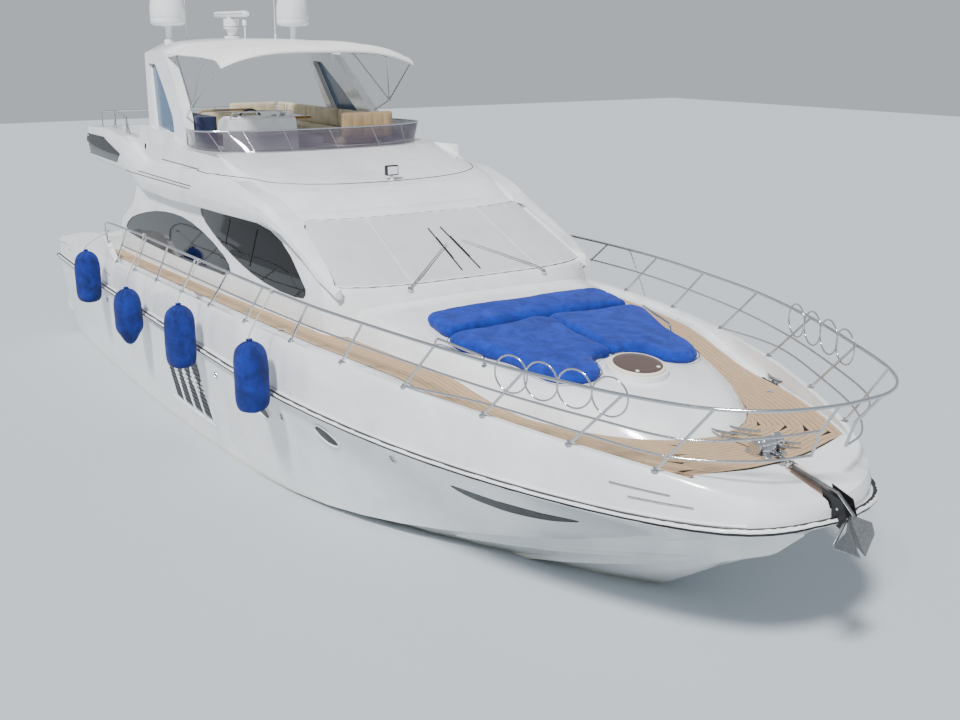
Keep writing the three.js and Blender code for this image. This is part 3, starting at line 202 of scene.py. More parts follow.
@dataclass(frozen=True)
class FloatingGelcoat(SprayedGelcoat):
    """Gelcoat of the topsides, with a tide mark and antifouling paint below the waterline."""

    paint: str = "1d2430"
    mark: str = "b9b690"

    def stained(self, tree: bpy.types.NodeTree, place: Socket, colour: Socket) -> Socket:
        """Blend in a thin uneven tide mark and the dark paint under water.

        Args:
            tree: Node tree of the material.
            place: Coordinates in metres.
            colour: Colour of the clean gelcoat.

        Returns:
            Colour socket of the hull.
        """
        parts = add_node(tree, "SeparateXYZ", links={"Vector": place})
        weed = add_node(tree, "TexNoise", {"Scale": 5.0, "Detail": 6.0}, {"Vector": place})
        uneven = add_node(tree, "Math", {1: 0.05}, {0: weed.outputs["Fac"]}, operation="MULTIPLY")
        height = add_node(tree, "Math", links={0: parts.outputs["Z"], 1: uneven.outputs[0]},
                          operation="SUBTRACT")
        mark = add_node(tree, "MapRange", {"From Min": 0.07, "From Max": 0.0, "To Max": 0.5},
                        {"Value": height.outputs[0]})
        stained = add_node(tree, "Mix", {7: linear(self.mark)},
                           {0: mark.outputs["Result"], 6: colour}, data_type="RGBA")
        below = add_node(tree, "MapRange", {"From Min": -0.018, "From Max": -0.022},
                         {"Value": parts.outputs["Z"]})
        return add_node(tree, "Mix", {7: linear(self.paint)},
                        {0: below.outputs["Result"], 6: stained.outputs[2]}, data_type="RGBA").outputs[2]


@dataclass(frozen=True)
class LaidTeak(Finish):
    """Teak laid in narrow planks and scrubbed: grain along each plank, every plank of its own tone."""

    dark: str = "8a6a49"
    grey: str = "c3ab8a"

    def pattern(self, tree: bpy.types.NodeTree, shader: bpy.types.Node) -> None:
        """Grain of about 3 mm across, stretched ten times along the plank, by the planks' own coordinates."""
        along = add_node(tree, "UVMap").outputs["UV"]
        tone = add_node(tree, "Attribute", attribute_name="tone").outputs["Fac"]
        grain_place = add_node(tree, "Mapping", {"Scale": (6.0, 130.0, 1.0)}, {"Vector": along})
        grain = add_node(tree, "TexNoise", {"Scale": 1.0, "Detail": 6.0, "Roughness": 0.65},
                         {"Vector": grain_place.outputs[0]})
        share = add_node(tree, "MapRange", {"From Min": 0.35, "From Max": 0.75},
                         {"Value": grain.outputs["Fac"]})
        plank = add_node(tree, "Mix", {6: linear(self.grey), 7: linear(self.colour)}, {0: tone},
                         data_type="RGBA")
        depth = add_node(tree, "Math", {1: 0.6}, {0: share.outputs["Result"]}, operation="MULTIPLY")
        wood = add_node(tree, "Mix", {7: linear(self.dark)},
                        {0: depth.outputs[0], 6: plank.outputs[2]}, data_type="RGBA")
        bump = add_node(tree, "Bump", {"Strength": 0.4, "Distance": 0.001},
                        {"Height": grain.outputs["Fac"]})
        tree.links.new(wood.outputs[2], shader.inputs["Base Color"])
        tree.links.new(bump.outputs["Normal"], shader.inputs["Normal"])


@dataclass(frozen=True)
class TerryCloth(Finish):
    """Dyed terry towelling with a soft nap, in lighter and darker blotches that are painted sheen and shade
    of the pile.
    """

    light: str = "2f62d6"
    dark: str = "0b2a86"

    def pattern(self, tree: bpy.types.NodeTree, shader: bpy.types.Node) -> None:
        """Painted sheen and shade in blotches of 10 to 30 cm, and loops drawn 6 mm wide, coarser than the
        real 2 mm so that they show, their raised tips painted lighter as a highlight.
        """
        place = add_node(tree, "TexCoord").outputs["Object"]
        # painted sheen and shade: lighter and darker blotches of the pile
        blotch = add_node(tree, "TexNoise",
                          {"Scale": 5.5, "Detail": 7.0, "Roughness": 0.62, "Distortion": 0.5},
                          {"Vector": place})
        share = add_node(tree, "MapRange", {"From Min": 0.36, "From Max": 0.66},
                         {"Value": blotch.outputs["Fac"]})
        cloth = add_node(tree, "Mix", {6: linear(self.dark), 7: linear(self.colour)},
                         {0: share.outputs["Result"]}, data_type="RGBA")
        loops = add_node(tree, "TexNoise", {"Scale": 160.0, "Detail": 2.0}, {"Vector": place})
        # painted highlight: the loops' raised tips drawn in the lighter blue
        loop_highlight = add_node(tree, "MapRange", {"From Min": 0.5, "From Max": 0.85, "To Max": 0.55},
                         {"Value": loops.outputs["Fac"]})
        napped = add_node(tree, "Mix", {7: linear(self.light)},
                          {0: loop_highlight.outputs["Result"], 6: cloth.outputs[2]}, data_type="RGBA")
        bump = add_node(tree, "Bump", {"Strength": 0.6, "Distance": 0.004},
                        {"Height": loops.outputs["Fac"]})
        tree.links.new(napped.outputs[2], shader.inputs["Base Color"])
        tree.links.new(bump.outputs["Normal"], shader.inputs["Normal"])


@dataclass(frozen=True)
class WovenCloth(Finish):
    """Woven polyester or acrylic canvas: a plain weave and slight dust in its folds."""

    dust: str = "b7b4aa"
    thread: float = 0.004
    strength: float = 0.3

    def pattern(self, tree: bpy.types.NodeTree, shader: bpy.types.Node) -> None:
        """Threads of the given spacing both ways; the real 1 mm ones are too fine to show."""
        place = add_node(tree, "TexCoord").outputs["Object"]
        wash = add_node(tree, "TexNoise", {"Scale": 3.2, "Detail": 6.0}, {"Vector": place})
        share = add_node(tree, "MapRange", {"From Min": 0.45, "From Max": 0.8, "To Max": 0.45},
                         {"Value": wash.outputs["Fac"]})
        colour = add_node(tree, "Mix", {6: linear(self.colour), 7: linear(self.dust)},
                          {0: share.outputs["Result"]}, data_type="RGBA")
        scale = 1 / self.thread / math.tau
        warp = add_node(tree, "TexWave", {"Scale": scale}, {"Vector": place}, bands_direction="X")
        weft = add_node(tree, "TexWave", {"Scale": scale}, {"Vector": place}, bands_direction="Y")
        weave = add_node(tree, "Math", links={0: warp.outputs["Fac"], 1: weft.outputs["Fac"]},
                         operation="MULTIPLY")
        bump = add_node(tree, "Bump", {"Strength": self.strength, "Distance": 0.001},
                        {"Height": weave.outputs[0]})
        tree.links.new(colour.outputs[2], shader.inputs["Base Color"])
        tree.links.new(bump.outputs["Normal"], shader.inputs["Normal"])


@dataclass(frozen=True)
class PolishedSteel(Finish):
    """316 stainless tube, drawn and mirror polished: bright, with fine rub marks and water spots."""

    def pattern(self, tree: bpy.types.NodeTree, shader: bpy.types.Node) -> None:
        """Water spots of about 2 cm that dull the polish a little."""
        place = add_node(tree, "TexCoord").outputs["Object"]
        spots = add_node(tree, "TexNoise", {"Scale": 48.0, "Detail": 4.0}, {"Vector": place})
        gloss = add_node(tree, "MapRange",
                         {"From Min": 0.4, "From Max": 0.7, "To Min": self.roughness,
                          "To Max": self.roughness * 2.2},
                         {"Value": spots.outputs["Fac"]})
        tree.links.new(gloss.outputs["Result"], shader.inputs["Roughness"])


@dataclass(frozen=True)
class CastMetal(Finish):
    """Cast and tumbled or hot-dipped metal: mottled crystals and a dull, uneven skin."""

    spangle: str = "8b8d8f"
    grain: float = 0.012

    def pattern(self, tree: bpy.types.NodeTree, shader: bpy.types.Node) -> None:
        """Crystals of about the given size in metres, tinted and slightly raised."""
        place = add_node(tree, "TexCoord").outputs["Object"]
        cells = add_node(tree, "TexVoronoi", {"Scale": 1 / self.grain}, {"Vector": place})
        colour = add_node(tree, "Mix", {6: linear(self.colour), 7: linear(self.spangle)},
                          {0: cells.outputs["Color"]}, data_type="RGBA")
        skin = add_node(tree, "TexNoise", {"Scale": 70.0, "Detail": 4.0}, {"Vector": place})
        bump = add_node(tree, "Bump", {"Strength": 0.3, "Distance": 0.002},
                        {"Height": skin.outputs["Fac"]})
        tree.links.new(colour.outputs[2], shader.inputs["Base Color"])
        tree.links.new(bump.outputs["Normal"], shader.inputs["Normal"])


@dataclass(frozen=True)
class VarnishedWood(Finish):
    """Marine ply faced in light hardwood under several coats of varnish: warm, glassy, grain along X."""

    dark: str = "7a4a12"

    def pattern(self, tree: bpy.types.NodeTree, shader: bpy.types.Node) -> None:
        """Flowing grain, about 25 mm from band to band."""
        place = add_node(tree, "TexCoord").outputs["Object"]
        squeezed = add_node(tree, "Mapping", {"Scale": (1.2, 11.0, 11.0)}, {"Vector": place})
        figure = add_node(tree, "TexNoise", {"Scale": 2.4, "Detail": 7.0, "Distortion": 1.2},
                          {"Vector": squeezed.outputs[0]})
        share = add_node(tree, "MapRange", {"From Min": 0.38, "From Max": 0.68},
                         {"Value": figure.outputs["Fac"]})
        colour = add_node(tree, "Mix", {6: linear(self.colour), 7: linear(self.dark)},
                          {0: share.outputs["Result"]}, data_type="RGBA")
        tree.links.new(colour.outputs[2], shader.inputs["Base Color"])


@dataclass(frozen=True)
class GrainedVinyl(Finish):
    """Marine upholstery vinyl, calendered with a leather grain: soft gloss in fine creases."""

    worn: str = "b3a688"

    def pattern(self, tree: bpy.types.NodeTree, shader: bpy.types.Node) -> None:
        """Leather cells of 9 mm, larger than the real 2 mm so that they show, and a worn tone."""
        place = add_node(tree, "TexCoord").outputs["Object"]
        wear = add_node(tree, "TexNoise", {"Scale": 4.0, "Detail": 5.0}, {"Vector": place})
        share = add_node(tree, "MapRange", {"From Min": 0.45, "From Max": 0.75},
                         {"Value": wear.outputs["Fac"]})
        colour = add_node(tree, "Mix", {6: linear(self.colour), 7: linear(self.worn)},
                          {0: share.outputs["Result"]}, data_type="RGBA")
        cells = add_node(tree, "TexVoronoi", {"Scale": 110.0}, {"Vector": place},
                         feature="DISTANCE_TO_EDGE")
        bump = add_node(tree, "Bump", {"Strength": 0.25, "Distance": 0.002},
                        {"Height": cells.outputs["Distance"]})
        tree.links.new(colour.outputs[2], shader.inputs["Base Color"])
        tree.links.new(bump.outputs["Normal"], shader.inputs["Normal"])


@dataclass(frozen=True)
class LaidRope(Finish):
    """Three-strand polyester rope: strands that wind round the line."""

    strand: str = "8c8c86"

    def pattern(self, tree: bpy.types.NodeTree, shader: bpy.types.Node) -> None:
        """Strands 8 mm apart, drawn as slanting bands."""
        place = add_node(tree, "TexCoord").outputs["Object"]
        lay = add_node(tree, "TexWave", {"Scale": 20.0}, {"Vector": place}, bands_direction="DIAGONAL")
        colour = add_node(tree, "Mix", {6: linear(self.colour), 7: linear(self.strand)},
                          {0: lay.outputs["Fac"]}, data_type="RGBA")
        bump = add_node(tree, "Bump", {"Strength": 0.7, "Distance": 0.003}, {"Height": lay.outputs["Fac"]})
        tree.links.new(colour.outputs[2], shader.inputs["Base Color"])
        tree.links.new(bump.outputs["Normal"], shader.inputs["Normal"])


# Moulded decks and house: clean gloss white with a faint uneven tint.
WHITE = SprayedGelcoat("gelcoat_sprayed_white", "f4f5f6", 0.16, coat=0.5)
# Hull sides: clean gloss white, with a tide mark and dark paint below the waterline.
TOPSIDES = FloatingGelcoat("gelcoat_topsides_white", "f3f4f5", 0.14, coat=0.6)
# Inner mouldings: warmer and less shiny than the white round them.
CREAM = SprayedGelcoat("gelcoat_cream_inner", "e9e3d6", 0.3, shade="d9d0bd")
# Anchor channel: matt beige that sets the steel off.
CHANNEL = SprayedGelcoat("gelcoat_anchor_channel_beige", "d9c4b6", 0.35, shade="c3a997")
# Extruded PVC fender section: black with a dull bloom.
PVC = Finish("pvc_extruded_black", "17181a", 0.42)
# Caulking: matt black lines that never shine beside the wood.
CAULK = Finish("polysulphide_caulk_black", "15130f", 0.6)
# Scrubbed planks: pale grain along each plank and a tone of its own.
TEAK = LaidTeak("teak_scrubbed_planks", "ccab89", 0.75)
# Table: honey grain under a clear glossy coat.
VARNISH = VarnishedWood("varnished_ply_honey", "b98533", 0.22, coat=0.8)
# Pad covers: deep saturated blue with a soft looped pile.
BLUE_TERRY = TerryCloth("terry_towelling_royal_blue", "0a37ac", 0.95, sheen=0.06, light="1649c4",
                        dark="06237a")
# Fender socks: a darker, flatter blue than the pads.
BLUE_SOCK = TerryCloth("fleece_fender_sock_blue", "0a2a8c", 0.95, sheen=0.05, light="153ca8", dark="05164f")
# Locker cover: dusty, nearly black weave.
NAVY_CANVAS = WovenCloth("acrylic_canvas_navy", "1a2547", 0.88, dust="2c3a63", sheen=0.2)
# Windscreen cover: pale open weave with visible threads.
SCREEN_MESH = WovenCloth("pvc_mesh_screen_grey", "cdcfd2", 0.8, dust="b8babd", thread=0.012, strength=0.5)
# Canopy and hems: dull white weave, whiter than the mesh.
WHITE_CANVAS = WovenCloth("acrylic_canvas_white", "f1f1ed", 0.8, dust="dcdad2", sheen=0.1)
# Arch curtains: thin sheet that lets some of the background through.
BLUE_VINYL = Finish("vinyl_sheet_blue_grey", "50708f", 0.25, alpha=0.85, coat=0.4)
# Seats: soft grained hide with a dull sheen.
BEIGE_VINYL = GrainedVinyl("marine_vinyl_beige", "d5c9ab", 0.5)
# Seat backs: the darker hide, worn lighter at its grain.
TAN_VINYL = GrainedVinyl("marine_vinyl_tan", "b99e78", 0.5, worn="a58a66")
# Rails and fittings: bright mirror with fine polishing lines.
STEEL = PolishedSteel("stainless_polished_tube", "cfd1d4", 0.09, metallic=1.0)
# Anchor and chain: grey, mottled and only half shiny.
ZINC = CastMetal("steel_hot_dip_galvanised", "a9abad", 0.42, metallic=1.0)
# Propellers: warm brown metal with darker patches.
BRONZE = CastMetal("manganese_bronze_cast", "c0904e", 0.33, metallic=1.0, spangle="a87a3c", grain=0.03)
# House windows: nearly black, with a sharp reflection.
GLASS = Finish("float_glass_tinted_dark", "07090c", 0.05, ior=1.5)
# Hull lights: satin black, flatter than the windows above them.
HULL_GLASS = Finish("cast_acrylic_black_satin", "090a0c", 0.38, ior=1.49)
# Hatch lid: deep brown under a glossy face.
HATCH_ACRYLIC = Finish("cast_acrylic_bronze_brown", "4a2f22", 0.1, coat=0.7, ior=1.49)
# Flybridge screen: purple-grey pane that is seen through.
SMOKED = Finish("cast_acrylic_smoked", "4b4352", 0.07, alpha=0.55, coat=0.8, ior=1.49)
# Small cases and joints: satin black; the same black is painted shade in the outlet holes, the intake
# openings and the grooves.
BLACK_PLASTIC_AND_SHADE = Finish("abs_black_and_painted_shade", "141517", 0.38)
# Wheel rim: matt grained black.
GRIP = GrainedVinyl("polyurethane_grip_black", "16161a", 0.5, worn="26262a")
# Lanyards and inlay: off-white with the twist of its strands.
LINE_ROPE = LaidRope("polyester_rope_white", "e8e6dc", 0.8)
# Lamp glasses: clear and bright.
LAMP = Finish("lamp_glass_clear", "f4f6ff", 0.08, coat=1.0)
# Engine blocks: grey enamel with a faint unevenness.
ENGINE = CastMetal("engine_enamel_grey", "8d9092", 0.45, spangle="7d8082", grain=0.05)


@dataclass
class Shape:
    """Points and faces that grow into one mesh, with optional plank coordinates."""

    points: list[Vector] = field(default_factory=list)
    faces: list[tuple[int, ...]] = field(default_factory=list)
    uvs: list[tuple[float, float]] = field(default_factory=list)
    tones: list[float] = field(default_factory=list)

    def add(self, other: "Shape") -> "Shape":
        """Take in another shape's points and faces and return this one."""
        base = len(self.points)
        self.points += other.points
        self.faces += [tuple(i + base for i in f) for f in other.faces]
        self.uvs += other.uvs
        self.tones += other.tones
        return self

    def moved(self, matrix: Matrix) -> "Shape":
        """Return the shape placed by a matrix, its faces kept outward."""
        flip = matrix.to_3x3().determinant() < 0
        faces = [tuple(reversed(f)) if flip else f for f in self.faces]
        return Shape([matrix @ p for p in self.points], faces, list(self.uvs), list(self.tones))

    def shifted(self, x: float, y: float, z: float) -> "Shape":
        """Return the shape moved along the axes."""
        return self.moved(Matrix.Translation((x, y, z)))

    def mirrored(self) -> "Shape":
        """Return the shape on the other side of the boat."""
        return self.moved(Matrix.Diagonal((1, -1, 1, 1)))


def joined(shapes: Iterable[Shape]) -> Shape:
    """Return one shape from several."""
    whole = Shape()
    for shape in shapes:
        whole.add(shape)
    return whole


def both(shape: Shape) -> Shape:
    """Return a shape together with its mirror image."""
    return joined([shape, shape.mirrored()])


def smooth_path(points: Sequence[Point], per: int = 6, closed: bool = False) -> list[Vector]:
    """Run a centripetal curve through points.

    Args:
        points: Points to pass through.
        per: Steps from one point to the next.
        closed: Whether the curve returns to its start.

    Returns:
        Points along the curve.
    """
    v = [Vector(p) for p in points]
    n = len(v)
    if n == 2:
        return [v[0].lerp(v[1], k / per) for k in range(per + 1)]
    out = []
    for i in range(n if closed else n - 1):
        b, c = v[i], v[(i + 1) % n]
        a = v[i - 1] if closed or i else b * 2 - c
        d = v[(i + 2) % n] if closed or i + 2 < n else c * 2 - b
        t1 = max((b - a).length, 1e-9) ** 0.5
        t2 = t1 + max((c - b).length, 1e-9) ** 0.5
        t3 = t2 + max((d - c).length, 1e-9) ** 0.5
        for k in range(per):
            t = t1 + (t2 - t1) * k / per
            a1 = a * ((t1 - t) / t1) + b * (t / t1)
            a2 = b * ((t2 - t) / (t2 - t1)) + c * ((t - t1) / (t2 - t1))
            a3 = c * ((t3 - t) / (t3 - t2)) + d * ((t - t2) / (t3 - t2))
            b1 = a1 * ((t2 - t) / t2) + a2 * (t / t2)
            b2 = a2 * ((t3 - t) / (t3 - t1)) + a3 * ((t - t1) / (t3 - t1))
            out.append(b1 * ((t2 - t) / (t2 - t1)) + b2 * ((t - t1) / (t2 - t1)))
    if not closed:
        out.append(v[-1].copy())
    return out


def rounded_path(points: Sequence[Point], radius: float, arc: int = 5, closed: bool = False) -> list[Vector]:
    """Round the corners of a line of points.

    Args:
        points: Corner points.
        radius: How far from each corner its bend starts.
        arc: Steps in each bend.
        closed: Whether the line is a loop.

    Returns:
        Points along the rounded line.
    """
    v = [Vector(p) for p in points]
    n = len(v)
    out = []
    for i, p in enumerate(v):
        if not closed and i in (0, n - 1):
            out.append(p)
            continue
        a, b = v[i - 1], v[(i + 1) % n]
        s = p + (a - p) * min(radius / (a - p).length, 0.48)
        e = p + (b - p) * min(radius / (b - p).length, 0.48)
        for k in range(arc + 1):
            t = k / arc
            out.append(s * (1 - t) ** 2 + p * 2 * t * (1 - t) + e * t * t)
    return out


def dense(loop: Sequence[Vector], step: float) -> list[Vector]:
    """Return a closed loop with no side longer than a step."""
    out = []
    for k, a in enumerate(loop):
        b = loop[(k + 1) % len(loop)]
        n = max(1, math.ceil((b - a).length / step))
        out += [a.lerp(b, j / n) for j in range(n)]
    return out


def rim_of(width: int, count: int) -> list[int]:
    """Return the point numbers round the edge of a grid of count rows, each of width points."""
    edge = [*range(width), *(r * width + width - 1 for r in range(1, count))]
    edge += [(count - 1) * width + c for c in range(width - 2, -1, -1)]
    return edge + [r * width for r in range(count - 2, 0, -1)]


def loft(rings: Sequence[Sequence[Point]], closed: bool = True, caps: bool = True) -> Shape:
    """Skin a row of loops that have the same number of points.

    Args:
        rings: Loops of points.
        closed: Whether each loop is closed round.
        caps: Whether the first and last loops are filled.

    Returns:
        The skin.
    """
    n = len(rings[0])
    shape = Shape([Vector(p) for ring in rings for p in ring])
    for k in range(len(rings) - 1):
        for i in range(n if closed else n - 1):
            a, b = k * n + i, k * n + (i + 1) % n
            shape.faces.append((a, b, b + n, a + n))
    if caps:
        base = (len(rings) - 1) * n
        shape.faces.append(tuple(range(n - 1, -1, -1)))
        shape.faces.append(tuple(range(base, base + n)))
    return shape


def lined(front: Sequence[Sequence[Point]], back: Sequence[Sequence[Point]],
          flip: bool = False) -> tuple[Shape, list[int]]:
    """Close a sheet with a lining close behind it.

    Args:
        front: Rows of points on the sheet's outer face.
        back: The same rows on the lining.
        flip: Whether the rows run the other way round, so that faces are turned.

    Returns:
        The sheet with its lining and edge faces, and the point numbers round its rim.
    """
    shape = loft(front, closed=False, caps=False)
    base = len(shape.points)
    lining = loft(back, closed=False, caps=False)
    shape.points += lining.points
    shape.faces += [tuple(i + base for i in reversed(f)) for f in lining.faces]
    edge = rim_of(len(front[0]), len(front))
    pairs = zip(edge, edge[1:] + edge[:1])
    shape.faces += [(a + base, b + base, b, a) for a, b in pairs]
    if flip:
        shape.faces = [tuple(reversed(f)) for f in shape.faces]
    return shape, edge


def tube(path: Sequence[Point], radius: float | Callable[[float], float], sides: int = 10,
         closed: bool = False) -> Shape:
    """Sweep a round section along a path.

    Args:
        path: Points to follow.
        radius: Radius, or radius by the share of the way along.
        sides: Sides of the section.
        closed: Whether the path is a loop.

    Returns:
        The tube, capped where it is open.
    """
    v = [Vector(p) for p in path]
    n = len(v)
    size = radius if callable(radius) else (lambda _: radius)
    rings = []
    up = Vector((0, 0, 1))
    for i, p in enumerate(v):
        a = v[i - 1] if closed or i else v[i]
        b = v[(i + 1) % n] if closed or i + 1 < n else v[i]
        along = (b - a).normalized()
        side = up.cross(along)
        if side.length < 1e-4:
            side = Vector((1, 0, 0)).cross(along)
        side.normalize()
        up = along.cross(side).normalized()
        r = size(i / max(n - 1, 1))
        rings.append([p + side * (r * math.cos(k * math.tau / sides))
                      + up * (r * math.sin(k * math.tau / sides))
                      for k in range(sides)])
    if closed:
        rings.append(rings[0])
    return loft(rings, caps=not closed)


def lathe(profile: Sequence[tuple[float, float]], sides: int = 28) -> Shape:
    """Turn a profile of radius and height about the Z axis, closed at its ends."""
    rings = [[(r * math.cos(k * math.tau / sides), r * math.sin(k * math.tau / sides), z)
              for k in range(sides)] for r, z in profile]
    return loft(rings)


def slab(outline: Sequence[Point], low: float, high: float) -> Shape:
    """Raise a flat outline from one height to another."""
    flat = [(p[0], p[1]) for p in outline]
    return loft([[(x, y, low) for x, y in flat], [(x, y, high) for x, y in flat]])


def block(x0: float, x1: float, y0: float, y1: float, z0: float, z1: float) -> Shape:
    """Return a block between two corners."""
    return slab([(x0, y0), (x1, y0), (x1, y1), (x0, y1)], z0, z1)


def standing(outline: Sequence[Point], y0: float, y1: float) -> Shape:
    """Raise an outline of (x, z) points across the boat, from y0 to y1."""
    return loft([[(p[0], y0, p[1]) for p in outline], [(p[0], y1, p[1]) for p in outline]])


def facing(origin: Point, along: Point) -> Matrix:
    """Return the placing that turns the Z axis along a direction at an origin."""
    turn = Vector(along).to_track_quat("Z", "Y").to_matrix().to_4x4()
    return Matrix.Translation(origin) @ turn


def piece(name: str, shape: Shape, finish: Finish, slot: Slot, body: str = BOAT, bevel: float = 0.0,
          subdivide: int = 0, angle: float = 35.0, replaces: Sequence[str] = ()) -> bpy.types.Object:
    """Make one visible piece from a shape.

    Args:
        name: Name of the piece.
        shape: Its points and faces.
        finish: Its material.
        slot: Record slot the finish belongs to; not used.
        body: CAD body it rides on.
        bevel: Radius of its edges in metres.
        subdivide: Levels of subdivision surface.
        angle: Edges sharper than this many degrees stay sharp.
        replaces: CAD nodes that it stands for.

    Returns:
        The object.
    """
    mesh = bpy.data.meshes.new(name)
    mesh.from_pydata([tuple(p) for p in shape.points], [], shape.faces)
    if shape.uvs:
        layer = mesh.uv_layers.new(name="UVMap")
        for loop in mesh.loops:
            layer.data[loop.index].uv = shape.uvs[loop.vertex_index]
    if shape.tones:
        tones = mesh.attributes.new("tone", "FLOAT", "POINT")
        tones.data.foreach_set("value", shape.tones)
    mesh.validate()
    return dress(name, mesh, finish, slot, body, bevel, subdivide, angle, replaces)


def upholstered(name: str, shape: Shape, finish: Finish, replaces: Sequence[str] = ()) -> None:
    """Make a sewn cushion."""
    made = piece(name, shape, finish, Slot.HIDE, subdivide=1, angle=70, replaces=replaces)


def dress(name: str, mesh: bpy.types.Mesh, finish: Finish, slot: Slot, body: str = BOAT, bevel: float = 0.0,
          subdivide: int = 0, angle: float = 35.0, replaces: Sequence[str] = ()) -> bpy.types.Object:
    """Put a mesh in the scene as a finished piece; see piece() for the arguments."""
    made = bpy.data.objects.new(name, mesh)
    bpy.context.scene.collection.objects.link(made)
    mesh.materials.clear()
    mesh.materials.append(finish.material())
    mesh.shade_smooth()
    mesh.set_sharp_from_angle(angle=math.radians(angle))
    if bevel:
        edge = made.modifiers.new("edges", "BEVEL")
        edge.width = bevel
        edge.segments = 2
        edge.limit_method = "ANGLE"
        edge.angle_limit = math.radians(angle)
        edge.harden_normals = False
    if subdivide:
        fine = made.modifiers.new("fine", "SUBSURF")
        fine.levels = fine.render_levels = subdivide
    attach(made, body)
    if replaces:
        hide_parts(*replaces)
    LOG.info("%s: %d faces", name, len(mesh.polygons))
    return made


class Skin:
    """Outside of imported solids, felt by rays."""

    def __init__(self, *nodes: str) -> None:
        """Join the solids' triangles into one tree."""
        points, faces = [], []
        for name in nodes:
            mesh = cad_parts[name].data
            base = len(points)
            points += [v.co.copy() for v in mesh.vertices]
            faces += [[i + base for i in p.vertices] for p in mesh.polygons]
        self.tree = BVHTree.FromPolygons(points, faces)

    def hit(self, origin: Point, along: Point) -> tuple[Vector, Vector] | None:
        """Return the first point met and its normal, or None."""
        place, normal, index, _ = self.tree.ray_cast(Vector(origin), Vector(along).normalized())
        return None if index is None else (place, normal)

    def top(self, x: float, y: float, start: float = 8.0) -> Vector:
        """Return the point met straight down from a height."""
        found = self.hit((x, y, start), (0, 0, -1))
        return found[0] if found else Vector((x, y, 0))

    def side(self, x: float, z: float, side: int, start: float = 4.0) -> tuple[Vector, Vector]:
        """Return the point met from abeam, and its normal."""
        found = self.hit((x, side * start, z), (0, -side, 0))
        return found if found else (Vector((x, 0, z)), Vector((0, side, 0)))


def polished(name: str, finish: Finish, angle: float = 32.0) -> bpy.types.Object:
    """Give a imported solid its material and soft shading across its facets.

    Args:
        name: CAD node.
        finish: Its material.
        angle: Edges sharper than this many degrees stay sharp.

    Returns:
        The CAD object.
    """
    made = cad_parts[name]
    made.data.materials.clear()
    made.data.materials.append(finish.material())
    group = bpy.data.node_groups.get("facets") or facet_group()
    soft = made.modifiers.new("facets", "NODES")
    soft.node_group = group
    for item in group.interface.items_tree:
        if item.name == "Angle":
            soft[item.identifier] = math.radians(angle)
    weight = made.modifiers.new("weight", "WEIGHTED_NORMAL")
    weight.keep_sharp = True
    return made


def facet_group() -> bpy.types.NodeTree:
    """Make the geometry nodes that shade a mesh softly except at its sharp edges."""
    group = bpy.data.node_groups.new("facets", "GeometryNodeTree")
    group.interface.new_socket("Geometry", in_out="INPUT", socket_type="NodeSocketGeometry")
    group.interface.new_socket("Angle", in_out="INPUT", socket_type="NodeSocketFloat")
    group.interface.new_socket("Geometry", in_out="OUTPUT", socket_type="NodeSocketGeometry")
    start = group.nodes.new("NodeGroupInput")
    end = group.nodes.new("NodeGroupOutput")
    merge = group.nodes.new("GeometryNodeMergeByDistance")
    merge.inputs["Distance"].default_value = 1e-5
    turn = group.nodes.new("GeometryNodeInputMeshEdgeAngle")
    sharp = group.nodes.new("FunctionNodeCompare")
    sharp.operation = "GREATER_THAN"
    faces = group.nodes.new("GeometryNodeSetShadeSmooth")
    faces.domain = "FACE"
    edges = group.nodes.new("GeometryNodeSetShadeSmooth")
    edges.domain = "EDGE"
    edges.inputs["Shade Smooth"].default_value = False
    link = group.links.new
    link(start.outputs["Geometry"], merge.inputs["Geometry"])
    link(merge.outputs["Geometry"], faces.inputs["Geometry"])
    link(turn.outputs["Unsigned Angle"], sharp.inputs[0])
    link(start.outputs["Angle"], sharp.inputs[1])
    link(faces.outputs["Geometry"], edges.inputs["Geometry"])
    link(sharp.outputs["Result"], edges.inputs["Selection"])
    link(edges.outputs["Geometry"], end.inputs["Geometry"])
    return group


@dataclass
class Studio:
    """Camera of the photograph, pale floor at the waterline and soft light."""

    place: Point = (13.658, -6.991, 5.126)
    look: Point = (-0.8069, 0.5240, -0.2728)
    lens: float = 43.125
    sensor: float = 36.0
    floor_half: float = 60.0

    def build(self) -> None:
        """Make the camera, the floor, the sky and the lamps."""
        lens = bpy.data.cameras.new("camera")
        lens.lens = self.lens
        lens.sensor_width = self.sensor
        camera = bpy.data.objects.new("camera", lens)
        bpy.context.scene.collection.objects.link(camera)
        camera.location = self.place
        camera.rotation_euler = Vector(self.look).to_track_quat("-Z", "Y").to_euler()
        bpy.context.scene.camera = camera
        self.floor()
        self.sky()
        self.lamp("sun", "SUN", 5.0, (0.62, 0.30, 0.2), 0.15)

    def floor(self) -> None:
        """Make the pale floor at the waterline."""
        h = self.floor_half
        mesh = bpy.data.meshes.new("floor")
        mesh.from_pydata([(-h, -h, 0), (h, -h, 0), (h, h, 0), (-h, h, 0)], [], [(0, 1, 2, 3)])
        floor = bpy.data.objects.new("floor", mesh)
        bpy.context.scene.collection.objects.link(floor)
        mesh.materials.append(Finish("studio_floor_pale", "bcc3c8", 0.75).material())

    def sky(self) -> None:
        """Make an even bright sky."""
        world = bpy.data.worlds.new("studio")
        world.use_nodes = True
        back = world.node_tree.nodes["Background"]
        back.inputs["Color"].default_value = linear("dfe6ee")
        back.inputs["Strength"].default_value = 0.66
        bpy.context.scene.world = world

    def lamp(self, name: str, kind: str, energy: float, turn: Point, size: float) -> None:
        """Add one lamp with its strength, rotation and softness."""
        light = bpy.data.lights.new(name, kind)
        light.energy = energy
        light.angle = size
        lamp = bpy.data.objects.new(name, light)
        bpy.context.scene.collection.objects.link(lamp)
        lamp.rotation_euler = turn


